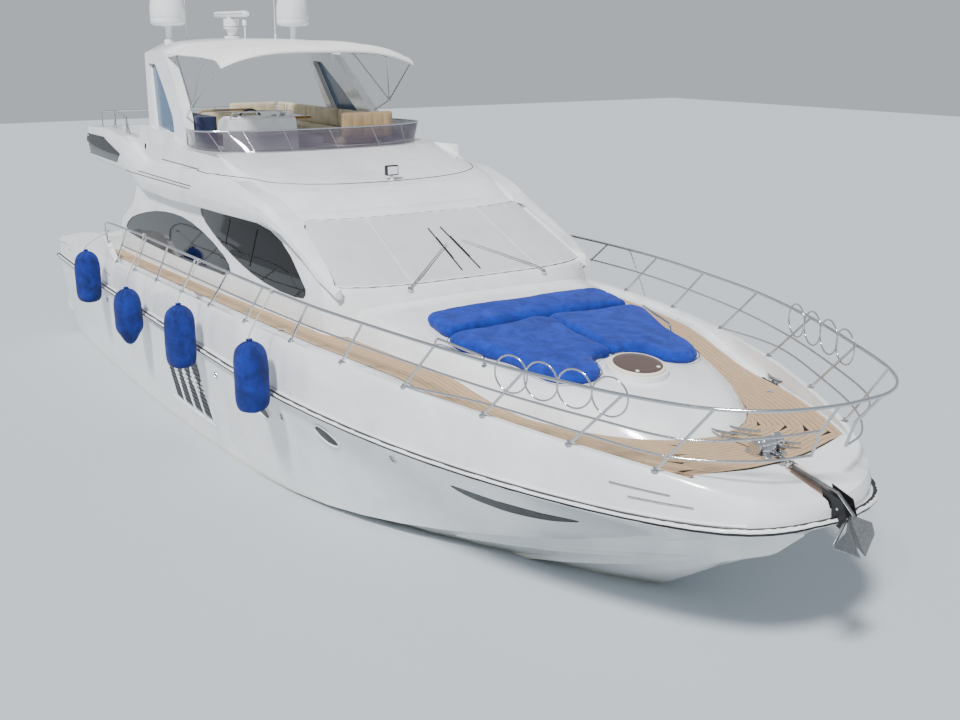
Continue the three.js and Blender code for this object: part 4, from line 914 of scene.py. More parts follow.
def on_skin(skin: Skin, outline: Sequence[tuple[float, float]], side: int, out: float) -> list[Vector]:
    """Lay (x, z) points on a skin seen from abeam.

    Args:
        skin: Solids to lie on.
        outline: Points seen from the side.
        side: 1 for port, -1 for starboard.
        out: How far they stand off the skin.

    Returns:
        Points in space.
    """
    laid = []
    for x, z in outline:
        place, normal = skin.side(x, z, side)
        laid.append(place + normal * out)
    return laid


def decal(skin: Skin, outline: Sequence[tuple[float, float]], side: int, out: float, rings: int = 4) -> Shape:
    """Cover an outline with a thin patch that follows a skin.

    Args:
        skin: Solids to lie on.
        outline: Star-shaped outline of (x, z) points.
        side: 1 for port, -1 for starboard.
        out: How proud the patch stands.
        rings: Rows from the middle to the rim.

    Returns:
        The patch with its rim turned down into the skin.
    """
    n = len(outline)
    cx = sum(p[0] for p in outline) / n
    cz = sum(p[1] for p in outline) / n
    rows = []
    for k in range(1, rings + 1):
        s = k / rings
        rows.append(on_skin(skin, [(cx + (x - cx) * s, cz + (z - cz) * s) for x, z in outline], side, out))
    rows.append(on_skin(skin, outline, side, -0.006))
    shape = loft(rows, caps=False)
    shape.points.append(on_skin(skin, [(cx, cz)], side, out)[0])
    middle = len(shape.points) - 1
    shape.faces += [(middle, (i + 1) % n, i) for i in range(n)]
    return shape


def oval(cx: float, cz: float, rx: float, rz: float, lean: float = 0.0,
         n: int = 28) -> list[tuple[float, float]]:
    """Return an oval outline of (x, z) points, sheared by a lean."""
    return [(cx + rx * math.cos(k * math.tau / n) + lean * rz * math.sin(k * math.tau / n),
             cz + rz * math.sin(k * math.tau / n)) for k in range(n)]


def taken(made: bpy.types.Object, *others: bpy.types.Object) -> bpy.types.Mesh:
    """Return an object's mesh with its modifiers applied, and remove it and the other helpers."""
    bpy.context.view_layer.update()
    graph = bpy.context.evaluated_depsgraph_get()
    mesh = bpy.data.meshes.new_from_object(made.evaluated_get(graph))
    for used in (made, *others):
        bpy.data.objects.remove(used)
    return mesh


def stuffed(name: str, mesh: bpy.types.Mesh, voxel: float, shrink: float, cap: float,
            pressure: float = 4.0) -> bpy.types.Mesh:
    """Swell a closed mesh like a filled cover.

    Args:
        name: Name for the new mesh.
        mesh: Outer shape of the pad.
        voxel: Size of the even net that it is rebuilt with.
        shrink: How far it is drawn in before it swells.
        cap: The most that a point may move.
        pressure: Inner pressure of the cloth.

    Returns:
        The swollen mesh.
    """
    made = bpy.data.objects.new(name + "_start", mesh)
    bpy.context.scene.collection.objects.link(made)
    weld = made.modifiers.new("weld", "WELD")
    weld.merge_threshold = 1e-4
    drawn = made.modifiers.new("drawn", "DISPLACE")
    drawn.strength = -shrink
    drawn.mid_level = 0.0
    net = made.modifiers.new("net", "REMESH")
    net.mode = "VOXEL"
    net.voxel_size = voxel
    start = taken(made)
    cloth_piece = bpy.data.objects.new(name + "_cloth", start)
    bpy.context.scene.collection.objects.link(cloth_piece)
    before = [v.co.copy() for v in start.vertices]
    cloth = cloth_piece.modifiers.new("cloth", "CLOTH")
    cloth.settings.use_pressure = True
    cloth.settings.uniform_pressure_force = pressure
    cloth.settings.effector_weights.gravity = 0.0
    cloth.settings.quality = 4
    for step in range(1, 13):
        bpy.context.scene.frame_set(step)
    swollen = taken(cloth_piece)
    bpy.context.scene.frame_set(1)
    for vertex, old in zip(swollen.vertices, before):
        step = vertex.co - old
        if step.length > cap:
            vertex.co = old + step * (cap / step.length)
    return swollen


def wrinkled(mesh: bpy.types.Mesh, size: float, depth: float, seed: float = 0.0) -> bpy.types.Mesh:
    """Press soft dents into a mesh along its normals, from a fixed noise."""
    mesh.update()
    moves = [v.normal * depth * noise.noise((v.co + Vector((seed, 0, 0))) / size) for v in mesh.vertices]
    for vertex, move in zip(mesh.vertices, moves):
        vertex.co += move
    return mesh


def shape_mesh(name: str, shape: Shape) -> bpy.types.Mesh:
    """Turn a shape into a bare mesh."""
    mesh = bpy.data.meshes.new(name)
    mesh.from_pydata([tuple(p) for p in shape.points], [], shape.faces)
    mesh.validate()
    return mesh


@dataclass
class Hull:
    """Topsides with their lights and intakes, spray rails and the rubbing strake."""

    outlets: Sequence[tuple[float, float]] = ((-3.84, 1.21), (0.76, 1.165), (2.50, 1.105), (4.43, 1.16))
    outlet_radius: float = 0.034
    ports: Sequence[tuple[float, float]] = ((2.03, 1.08), (3.38, 1.13))
    slots: Sequence[Sequence[float]] = (
        # top aft x, top fore x, top z, bottom aft x, bottom fore x, bottom z
        (-1.14, -0.90, 1.02, -0.97, -0.73, 0.42), (-0.83, -0.58, 1.08, -0.64, -0.39, 0.42),
        (-0.51, -0.26, 1.13, -0.30, -0.05, 0.42), (-0.18, 0.11, 1.18, 0.03, 0.27, 0.42),
    )
    window: Sequence[tuple[float, float]] = (
        (5.01, 1.02), (5.25, 0.985), (5.53, 0.94), (5.82, 0.912), (6.09, 0.885), (5.78, 0.80), (5.52, 0.79),
        (5.30, 0.825), (5.10, 0.90),
    )
    bands: Sequence[tuple[float, float]] = ((0.0, 0.27), (0.66, 1.0))
    spray: Sequence[Sequence[tuple[float, float]]] = (
        ((3.2, -0.14), (4.4, -0.06), (5.2, 0.09), (5.9, 0.27), (6.66, 0.50)),
        ((4.3, 0.12), (5.42, 0.29), (6.03, 0.42), (6.70, 0.58)),
    )

    def build(self) -> None:
        """Make the hull and what is on it."""
        skin = Skin("hull")
        polished("hull", TOPSIDES, angle=30)
        for name, side in SIDES:
            self.lights(skin, name, side)
            self.intake(skin, name, side)
        piece("spray_rails",
              joined(self.spray_rail(skin, row, side) for row in self.spray for _, side in SIDES),
              TOPSIDES, Slot.GELCOAT)
        polished("rub_rail", PVC)
        self.strake_edge()

    def intake(self, skin: Skin, name: str, side: int) -> None:
        """Add the openings as black patches of painted shade, the blades and the pale bars of the engine room
        intake.
        """
        openings, blades, bars = [], [], []
        for a, b, top, c, d, low in self.slots:
            corners = [(a, 0, top - 0.03), (b, 0, top), (d, 0, low), (c, 0, low + 0.02)]
            rim = [(p.x, p.z) for p in rounded_path(corners, 0.025, 4, True)]
            openings.append(decal(skin, rim, side, 0.003, 6))
            bars.append(tube(on_skin(skin, [(b + 0.02, top), (d + 0.02, low)], side, 0.002), 0.007, 8))
            for k in range(1, 12):
                s = k / 12
                ends = [(a + (c - a) * s + 0.01, top - 0.03 + (low + 0.05 - top) * s),
                        (b + (d - b) * s - 0.01, top + (low - top) * s)]
                blades.append(tube(on_skin(skin, ends, side, 0.004), 0.005, 5))
        # The openings are black patches of painted shade in the recessed slots, behind the blades.
        piece("intake_painted_shade_" + name, joined(openings), BLACK_PLASTIC_AND_SHADE, Slot.GRIP)
        piece("intake_blades_" + name, joined(blades), GRIP, Slot.GRIP)
        piece("intake_bars_" + name, joined(bars), WHITE, Slot.GELCOAT)
        sill = on_skin(skin, [(-1.18, 0.385), (-0.4, 0.37), (0.33, 0.36)], side, 0.004)
        piece("intake_sill_" + name, tube(sill, 0.012, 6), WHITE, Slot.GELCOAT)

    def lights(self, skin: Skin, name: str, side: int) -> None:
        """Add the oval ports, the bow window and the outlets of one side, each outlet's hole a black disc of
        painted shade.
        """
        ovals = [oval(x, z, 0.165, 0.105, lean=-0.55) for x, z in self.ports]
        glass = [decal(skin, ring, side, 0.003) for ring in ovals]
        smooth = [(p.x, p.z) for p in smooth_path([(x, 0, z) for x, z in self.window], 4, True)]
        glass.append(decal(skin, smooth, side, 0.004))
        piece("hull_glass_" + name, joined(glass), HULL_GLASS, Slot.GLASS)
        rims = [tube(on_skin(skin, ring, side, 0.004), 0.014, 8, True) for ring in ovals]
        piece("port_rims_" + name, joined(rims), WHITE, Slot.GELCOAT)
        rings, holes = [], []
        for x, z in self.outlets:
            circle = oval(x, z, self.outlet_radius, self.outlet_radius, n=16)
            rings.append(tube(on_skin(skin, circle, side, 0.004), 0.009, 8, True))
            # black disc of painted shade inside the outlet's hole
            holes.append(decal(skin, circle, side, 0.002, 2))
        piece("outlet_rings_" + name, joined(rings), STEEL, Slot.STEEL)
        piece("outlet_hole_shade_" + name, joined(holes), BLACK_PLASTIC_AND_SHADE, Slot.GRIP)

    def spray_rail(self, skin: Skin, row: Sequence[tuple[float, float]], side: int) -> Shape:
        """Return one wedge-shaped spray rail that tapers at both ends."""
        path = smooth_path([(x, 0, z) for x, z in row], 8)
        rings = []
        for k, p in enumerate(path):
            size = math.sin(math.pi * min(1.0, max(0.02, k / (len(path) - 1)))) ** 0.4
            place, normal = skin.side(p.x, p.z, side)
            if place.y * side < 0.03:
                place.y = side * 0.03
            up = Vector((0, 0, 1))
            rings.append([place - normal * 0.01 - up * 0.02 * size,
                          place + normal * 0.026 * size - up * 0.016 * size,
                          place + normal * 0.022 * size, place - normal * 0.01 + up * 0.045 * size])
        return loft(rings)

    def strake_edge(self) -> None:
        """Add the white moulded edge that stands on the rubbing strake."""
        skin, deck = Skin("rub_rail"), Skin("deck")
        for name, side in SIDES:
            path = []
            for k in range(70):
                x = -6.9 + k * (14.75 / 69)
                place, _ = deck.side(x, 1.455 if x < 7.2 else 1.47, side)
                if place.y * side > 0.1:
                    top = skin.hit((x, place.y + side * 0.03, 2.0), (0, 0, -1))
                    z = top[0].z if top else path[-1][2]
                    path.append((x, place.y + side * 0.014, z + 0.006))
            piece("strake_edge_" + name, tube(path, 0.013, 8), WHITE, Slot.GELCOAT)
            bands = [self.strake_band(skin, low, high, side) for low, high in self.bands]
            piece("strake_bands_" + name, joined(bands), WHITE, Slot.GELCOAT)

    def strake_band(self, skin: Skin, low: float, high: float, side: int) -> Shape:
        """Return the white moulding over a share of the strake's height, from the quarter to the stem."""
        stations = [(Vector((-6.9 + k * 14.1 / 150, 0, 0)), math.pi / 2) for k in range(151)]
        stations += [(Vector((7.2, 0, 0)), math.radians(90 - k * 90 / 44)) for k in range(1, 45)]
        rings = []
        for origin, turn in stations:
            out = Vector((math.cos(turn), side * math.sin(turn), 0))

            def met(z: float) -> tuple[Vector, Vector] | None:
                """Return what a level ray from outside meets at a height."""
                return skin.hit(origin + out * 3 + Vector((0, 0, z)), -out)

            levels = [z for z in (1.30 + k * 0.0025 for k in range(84)) if met(z)]
            if not levels:
                continue
            z0, tall = levels[0] + 0.002, levels[-1] - levels[0] - 0.004
            found = [met(z0 + tall * (low + (high - low) * j / 4)) for j in range(5)]
            laid = [place + normal * 0.004 for place, normal in (f for f in found if f)]
            if len(laid) < 5:
                continue
            ring = [*laid, *(p - out * 0.012 for p in reversed(laid))]
            rings.append(ring if side > 0 else ring[::-1])
        return loft(rings)


@dataclass
class Deck:
    """Deck moulding, its laid teak, cleats, windlass, anchor and chain."""

    plank: float = 0.055
    seam: float = 0.006
    thick: float = 0.004
    cleats: Sequence[tuple[float, float]] = ((6.86, 0.0), (6.89, 0.19), (7.30, 0.24))
    rail_cleats: Sequence[tuple[float, float]] = ((0.09, 2.33), (5.9, 1.63), (-5.9, 2.25))
    windlass_place: Point = (7.32, 0.0, 1.745)
    # x and height of the bulwark's cap
    cap: Sequence[tuple[float, float]] = (
        (-7.0, 1.75), (-5.6, 1.84), (-3.6, 1.86), (-1.6, 1.92), (0.4, 1.975), (2.15, 2.01), (3.4, 2.01),
        (4.6, 1.975), (5.6, 1.92), (6.4, 1.855), (7.05, 1.79),
    )
    base: float = DECK_TOP
    under_cap: float = 0.045
    aft: float = -4.78
    ramp: tuple[float, float] = (4.2, 5.7)
    steps: int = 140
    waterway: float = 0.14

    def build(self) -> None:
        """Dress the moulding and lay the planks."""
        polished("deck", WHITE)
        self.anchor()
        self.planks()
        self.cockpit_planks()
        self.fittings()
        self.windlass()

    def lift(self, x: float) -> float:
        """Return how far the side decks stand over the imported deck, just under the bulwark's cap."""
        rows = self.cap
        high = rows[-1][1]
        for (x0, z0), (x1, z1) in zip(rows, rows[1:]):
            if x0 <= x <= x1:
                high = z0 + (z1 - z0) * (x - x0) / (x1 - x0)
                break
        t = min(1.0, max(0.0, (self.ramp[1] - x) / (self.ramp[1] - self.ramp[0])))
        return max(0.0, high - self.under_cap - self.base) * t * t * (3 - 2 * t)

    def side_decks(self) -> None:
        """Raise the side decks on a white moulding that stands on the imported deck."""
        bulwark, inner, teak = Skin("deck"), Skin("deckhouse", "coachroof"), Skin("teak_deck")
        rings, caulk = [], []
        for k in range(self.steps + 1):
            x = self.aft + (self.ramp[1] - self.aft) * k / self.steps
            top = self.base + self.lift(x)
            start = teak.side(x, self.base - 0.006, 1)[0].y - 0.04
            out = bulwark.hit((x, start, top - 0.004), (0, 1, 0))
            near = inner.hit((x, start, top - 0.004), (0, -1, 0))
            y1 = (out[0].y if out else start + 0.04) + 0.01
            y0 = near[0].y if near else 1.6
            self.inside.append((x, y0 + 0.02))
            rings.append([(x, y, z) for y, z in ((y0 - 0.06, self.base - 0.008), (y1, self.base - 0.008),
                                                 (y1, top), (y0 - 0.06, top))])
            edge = start + 0.04 - self.margin(x) + 0.004
            caulk.append([(x, y, top + z) for y, z in ((y0 + 0.014, -0.003), (edge, -0.003), (edge, 0.001),
                                                       (y0 + 0.014, 0.001))])
        piece("side_decks", both(loft(rings)), WHITE, Slot.GELCOAT)
        piece("side_deck_caulk", both(loft(caulk)), CAULK, Slot.TEAK)

    def margin(self, x: float) -> float:
        """Return the width of the white waterway outside the planks."""
        return self.waterway * min(1.0, max(0.0, (6.2 - x) / 1.7))

    def limit(self, x: float) -> float:
        """Return how close to the centreline planks may lie."""
        rows = self.inside
        for (x0, y0), (x1, y1) in zip(rows, rows[1:]):
            if x0 <= x <= x1:
                return y0 + (y1 - y0) * (x - x0) / (x1 - x0)
        found = self.house.hit((x, 1.5, self.base + 0.004), (0, -1, 0)) if x < 6.8 else None
        return found[0].y + 0.02 if found else 0.012

    def planks(self) -> None:
        """Lay swept planks parallel to the bulwark over black caulk."""
        polished("teak_deck", CAULK, angle=20)
        self.inside: list[tuple[float, float]] = []
        self.house = Skin("deckhouse", "coachroof")
        self.side_decks()
        edge = self.deck_edge(Skin("teak_deck"))
        for p in edge:
            p.y -= self.margin(p.x)
        boards = Shape()
        pick = random.Random(SEED)
        for row in range(34):
            self.lay(boards, edge, row * self.plank, pick)
        piece("deck_planks", boards, TEAK, Slot.TEAK, angle=20)

    def deck_edge(self, skin: Skin) -> list[Vector]:
        """Return the outer edge of the teak from the port quarter to the bow's centre."""
        edge = []
        x = -4.78
        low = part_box("teak_deck")[0].z + 0.006
        while x < 7.2:
            place, _ = skin.side(x, low, 1)
            edge.append(Vector((x, place.y, 0)))
            x += 0.12
        for k in range(12):
            angle = math.radians(70 - k * 70 / 11)
            found = skin.hit((6.9 + 2 * math.cos(angle), 2 * math.sin(angle), low),
                             (-math.cos(angle), -math.sin(angle), 0))
            if found and found[0].x > edge[-1].x - 0.02:
                edge.append(Vector((found[0].x, max(found[0].y, 0.0), 0)))
        return edge

    def lay(self, boards: Shape, edge: list[Vector], inset: float, pick: random.Random) -> None:
        """Add one row of planks at a distance inside the edge, on both sides of the boat."""
        middle = self.inset_line(edge, inset + self.plank / 2)
        half = (self.plank - self.seam) / 2
        pairs = []
        for k, p in enumerate(middle):
            along = (middle[min(len(middle) - 1, k + 1)] - middle[max(0, k - 1)]).normalized()
            across = Vector((-along.y, along.x, 0)) * half
            pairs.append((p + across, p - across))
        for side in (1, -1):
            run: list[tuple[Vector, Vector]] = []
            length, reach = 0.0, 1.5 + pick.random()
            for k, (a, b) in enumerate(pairs):
                a = Vector((a.x, max(a.y, self.limit(a.x)), 0))
                b = Vector((b.x, max(b.y, self.limit(b.x)), 0))
                gone = (a - b).length < 0.004
                if not gone:
                    length += (a - run[-1][0]).length if run else 0.0
                    run.append((a, b))
                if gone or length > reach or k == len(pairs) - 1:
                    if len(run) > 1:
                        boards.add(self.board(run, inset, side, pick.random()))
                    run = [] if gone else [(a + Vector((0.004, 0, 0)), b + Vector((0.004, 0, 0)))]
                    length, reach = 0.0, 2.4

    def board(self, run: list[tuple[Vector, Vector]], inset: float, side: int, tone: float) -> Shape:
        """Return one plank from pairs of outer and inner points."""
        rings, uvs, along = [], [], tone * 9
        for k, (a, b) in enumerate(run):
            along += (a - run[max(0, k - 1)][0]).length
            ring = []
            for p, up in ((a, self.thick), (b, self.thick), (b, -0.004), (a, -0.004)):
                ring.append(Vector((p.x, side * p.y, self.base + self.lift(p.x) + up)))
            across = [0.0, self.plank, self.plank, 0.0]
            rings.append(ring if side > 0 else ring[::-1])
            uvs += [(along, v + inset + side * 3) for v in across]
        shape = loft(rings)
        shape.uvs = uvs
        shape.tones = [tone] * len(uvs)
        return shape

    def inset_line(self, edge: list[Vector], inset: float) -> list[Vector]:
        """Return the edge moved inboard as far as just over the centreline, without its folds."""
        line = []
        for k, p in enumerate(edge):
            a, b = edge[max(0, k - 1)], edge[min(len(edge) - 1, k + 1)]
            along = (b - a).normalized()
            q = p + Vector((along.y, -along.x, 0)) * inset
            if q.y < -self.plank or min((q - e).length for e in edge) < inset * 0.985:
                continue
            line.append(q)
        return line

    def straight_planks(self, x0: float, x1: float, y0: float, y1: float, z: float,
                        pick: random.Random) -> Shape:
        """Return planks that run fore and aft over a rectangle."""
        boards = Shape()
        count = int((y1 - y0) / self.plank)
        for k in range(count):
            y = y0 + (y1 - y0 - count * self.plank) / 2 + k * self.plank
            part = block(x0, x1, y + self.seam / 2, y + self.plank - self.seam / 2, z - 0.001, z + 0.004)
            shift = pick.random() * 5
            part.uvs = [(p.x, p.y + shift) for p in part.points]
            part.tones = [pick.random()] * len(part.points)
            boards.add(part)
        return boards

    def cockpit_planks(self) -> None:
        """Plank the cockpit sole and the swim platform."""
        pick = random.Random(SEED + 1)
        piece("cockpit_caulk", joined([block(-6.05, -5.48, -1.9, 1.9, 1.2505, 1.2525),
                                       block(-5.48, -5.02, -0.82, 1.9, 1.2505, 1.2525),
                                       block(-5.02, -3.57, -0.82, 1.58, 1.2505, 1.2525)]), CAULK, Slot.TEAK)
        sole = self.straight_planks(-6.04, -5.49, -1.88, 1.88, 1.2525, pick)
        sole.add(self.straight_planks(-5.49, -5.03, -0.81, 1.88, 1.2525, pick))
        sole.add(self.straight_planks(-5.03, -3.58, -0.81, 1.57, 1.2525, pick))
        piece("cockpit_planks", sole, TEAK, Slot.TEAK)
        piece("platform_caulk", block(-8.1, -7.02, -1.9, 1.18, 0.4105, 0.4125), CAULK, Slot.TEAK)
        piece("platform_planks", self.straight_planks(-8.08, -7.04, -1.88, 1.16, 0.4125, pick), TEAK,
              Slot.TEAK)

    def cleat(self, x: float, y: float, z: float, turn: float) -> Shape:
        """Return a two-legged horn cleat on its foot, turned about Z."""
        horns = tube(smooth_path([(-0.14, 0, 0.062), (-0.07, 0, 0.05), (0.07, 0, 0.05), (0.14, 0, 0.062)], 5),
                     lambda t: 0.010 + 0.006 * math.sin(math.pi * t), 8)
        legs = [tube([(s * 0.045, 0, 0.0), (s * 0.04, 0, 0.05)], 0.013, 8) for s in (1, -1)]
        foot = slab([(p.x, p.y) for p in rounded_path(
            [(-0.075, -0.022, 0), (0.075, -0.022, 0), (0.075, 0.022, 0), (-0.075, 0.022, 0)], 0.02, 3,
            True)], 0, 0.006)
        return joined([horns, foot, *legs]).moved(Matrix.Translation((x, y, z)) @ Matrix.Rotation(turn, 4,
                                                                                                  "Z"))

    def fittings(self) -> None:
        """Add cleats, filler caps, chafe strips and thin black lines of painted shade in the quarter grooves.
        """
        skin = Skin("deck", "teak_deck")
        deck = Skin("deck")
        parts = [self.cleat(x, y, self.base + self.thick, 0.5) for x, y in self.cleats]
        for x, y in self.rail_cleats:
            z = skin.top(x, y).z
            turn = -0.25 if x > 5 else 0.0
            parts.append(both(self.cleat(x, y, z, turn)))
        piece("deck_cleats", joined(parts), STEEL, Slot.STEEL)
        caps = [both(lathe([(0.045, 0), (0.045, 0.004), (0.03, 0.007), (TIP, 0.008)], 20)
                     .shifted(x, y, self.base + self.lift(x))) for x,
                     y in ((-1.2, 2.12), (2.1, 2.1), (6.1, 1.35))]
        piece("filler_caps", joined(caps), STEEL, Slot.STEEL)
        bars = []
        for row in ((6.90, 1.62, 7.36, 1.60), (7.055, 1.53, 7.53, 1.53)):
            for side in (1, -1):
                ends = on_skin(deck, [(row[0] + (row[2] - row[0]) * k / 6, row[1] + (row[3] - row[1]) * k / 6)
                                      for k in range(7)], side, 0.006)
                bars.append(tube(ends, 0.008, 8))
        piece("chafe_strips", joined(bars), STEEL, Slot.STEEL)
        # The quarter grooves are thin black lines of painted shade.
        row = ((-6.3, 1.62), (-3.6, 1.64))
        lines = [tube(on_skin(deck, row, side, 0.001), 0.004, 6) for _, side in SIDES]
        piece("quarter_groove_shade", joined(lines), BLACK_PLASTIC_AND_SHADE, Slot.GRIP)

    def plate(self, corners: Sequence[Point], thick: float) -> Shape:
        """Return a flat plate of a thickness over its corners."""
        v = [Vector(p) for p in corners]
        normal = (v[1] - v[0]).cross(v[2] - v[0]).normalized() * (thick / 2)
        return loft([[p - normal for p in v], [p + normal for p in v]])

    def anchor(self) -> None:
        """Make the stowed anchor: shank, crown and two flukes, its cheek plates and the lined channel."""
        shank = [(7.60, 1.675), (7.60, 1.712), (8.10, 1.635), (8.27, 1.50), (8.25, 1.43), (8.20, 1.44),
                 (8.07, 1.585)]
        parts = [standing(shank, -0.017, 0.017)]
        for side in (1, -1):
            corners = [(8.22, 0.0, 1.49), (8.33, side * 0.15, 1.42), (8.29, side * 0.25, 1.29),
                       (8.39, side * 0.03, 1.19),
                       (8.24, 0.0, 1.30)]
            parts.append(self.plate(corners if side > 0 else corners[::-1], 0.016))
            parts.append(tube([(8.21, 0, 1.46), (8.28, side * 0.23, 1.31)], 0.013, 8))
        parts.append(tube([(7.62, -0.03, 1.693), (7.62, 0.03, 1.693)], 0.012, 12))
        piece("anchor_claw", joined(parts), ZINC, Slot.ZINC, bevel=0.003, replaces=("anchor",))
        cheek = [(7.98, 1.66), (8.20, 1.60), (8.25, 1.47), (8.19, 1.37), (8.10, 1.42), (8.02, 1.53)]
        cheeks = [standing(cheek, y - 0.004, y + 0.004) for y in (-0.062, 0.062)]
        piece("bow_roller_cheeks", joined(cheeks), BLACK_PLASTIC_AND_SHADE, Slot.GRIP, bevel=0.002)
        bolts = [tube([(x, -0.075, z), (x, 0.075, z)], 0.011, 12) for x, z in ((8.16, 1.53), (8.17, 1.42))]
        piece("bow_roller_bolts", joined(bolts), STEEL, Slot.STEEL)
        skin = Skin("deck")
        rings = []
        for k in range(31):
            x = 7.52 + k * 0.56 / 30
            row = [skin.top(x, -0.085 + 0.17 * j / 6, 2.0) + Vector((0, 0, 0.004)) for j in range(7)]
            rings.append([*row, *(p - Vector((0, 0, 0.01)) for p in reversed(row))])
        piece("anchor_channel", loft(rings), CHANNEL, Slot.GELCOAT)

    def windlass(self) -> None:
        """Replace the windlass by a turned one, with a chain over the roller to the anchor."""
        x, y, z = self.windlass_place
        foot = slab([(x + p.x, p.y) for p in rounded_path(
            [(-0.14, -0.13, 0), (0.14, -0.13, 0), (0.14, 0.13, 0), (-0.14, 0.13, 0)], 0.05, 4, True)],
            DECK_TOP, 1.745)
        drum = lathe([(TIP, -0.15), (0.06, -0.15), (0.072, -0.142), (0.072, -0.128), (0.045, -0.112),
                      (0.04, -0.09), (0.052, -0.07), (0.058, -0.062), (0.058, 0.062), (0.052, 0.07),
                      (0.04, 0.09),
                      (0.045, 0.112), (0.072, 0.128), (0.072, 0.142), (0.06, 0.15), (TIP, 0.15)], 28)
        whole = drum.moved(facing((x, y, 1.815), (0, 1, 0)))
        body = lathe([(0.075, 0), (0.075, 0.05), (0.06, 0.075), (TIP, 0.08)], 24).shifted(x, 0, 1.744)
        piece("windlass_body", joined([foot, whole, body]), STEEL, Slot.STEEL, bevel=0.003,
              replaces=("windlass",))
        path = smooth_path([(7.36, 0.0, 1.776), (7.46, 0, 1.752), (7.56, 0.0, 1.735), (7.66, 0.0, 1.728)], 10)
        links = Shape()
        for k in range(0, len(path) - 1, 2):
            along = path[k + 1] - path[k]
            ring = [Vector((0.022 * math.cos(a) * 1.0, 0.012 * math.sin(a), 0))
                    for a in (j * math.tau / 12 for j in range(12))]
            turn = Matrix.Rotation(math.radians(90 * ((k // 2) % 2)), 4, "X")
            place = Matrix.Translation(path[k]) @ along.to_track_quat("X", "Z").to_matrix().to_4x4() @ turn
            links.add(tube([place @ p for p in ring], 0.005, 6, True))
        piece("anchor_chain", links, ZINC, Slot.ZINC)


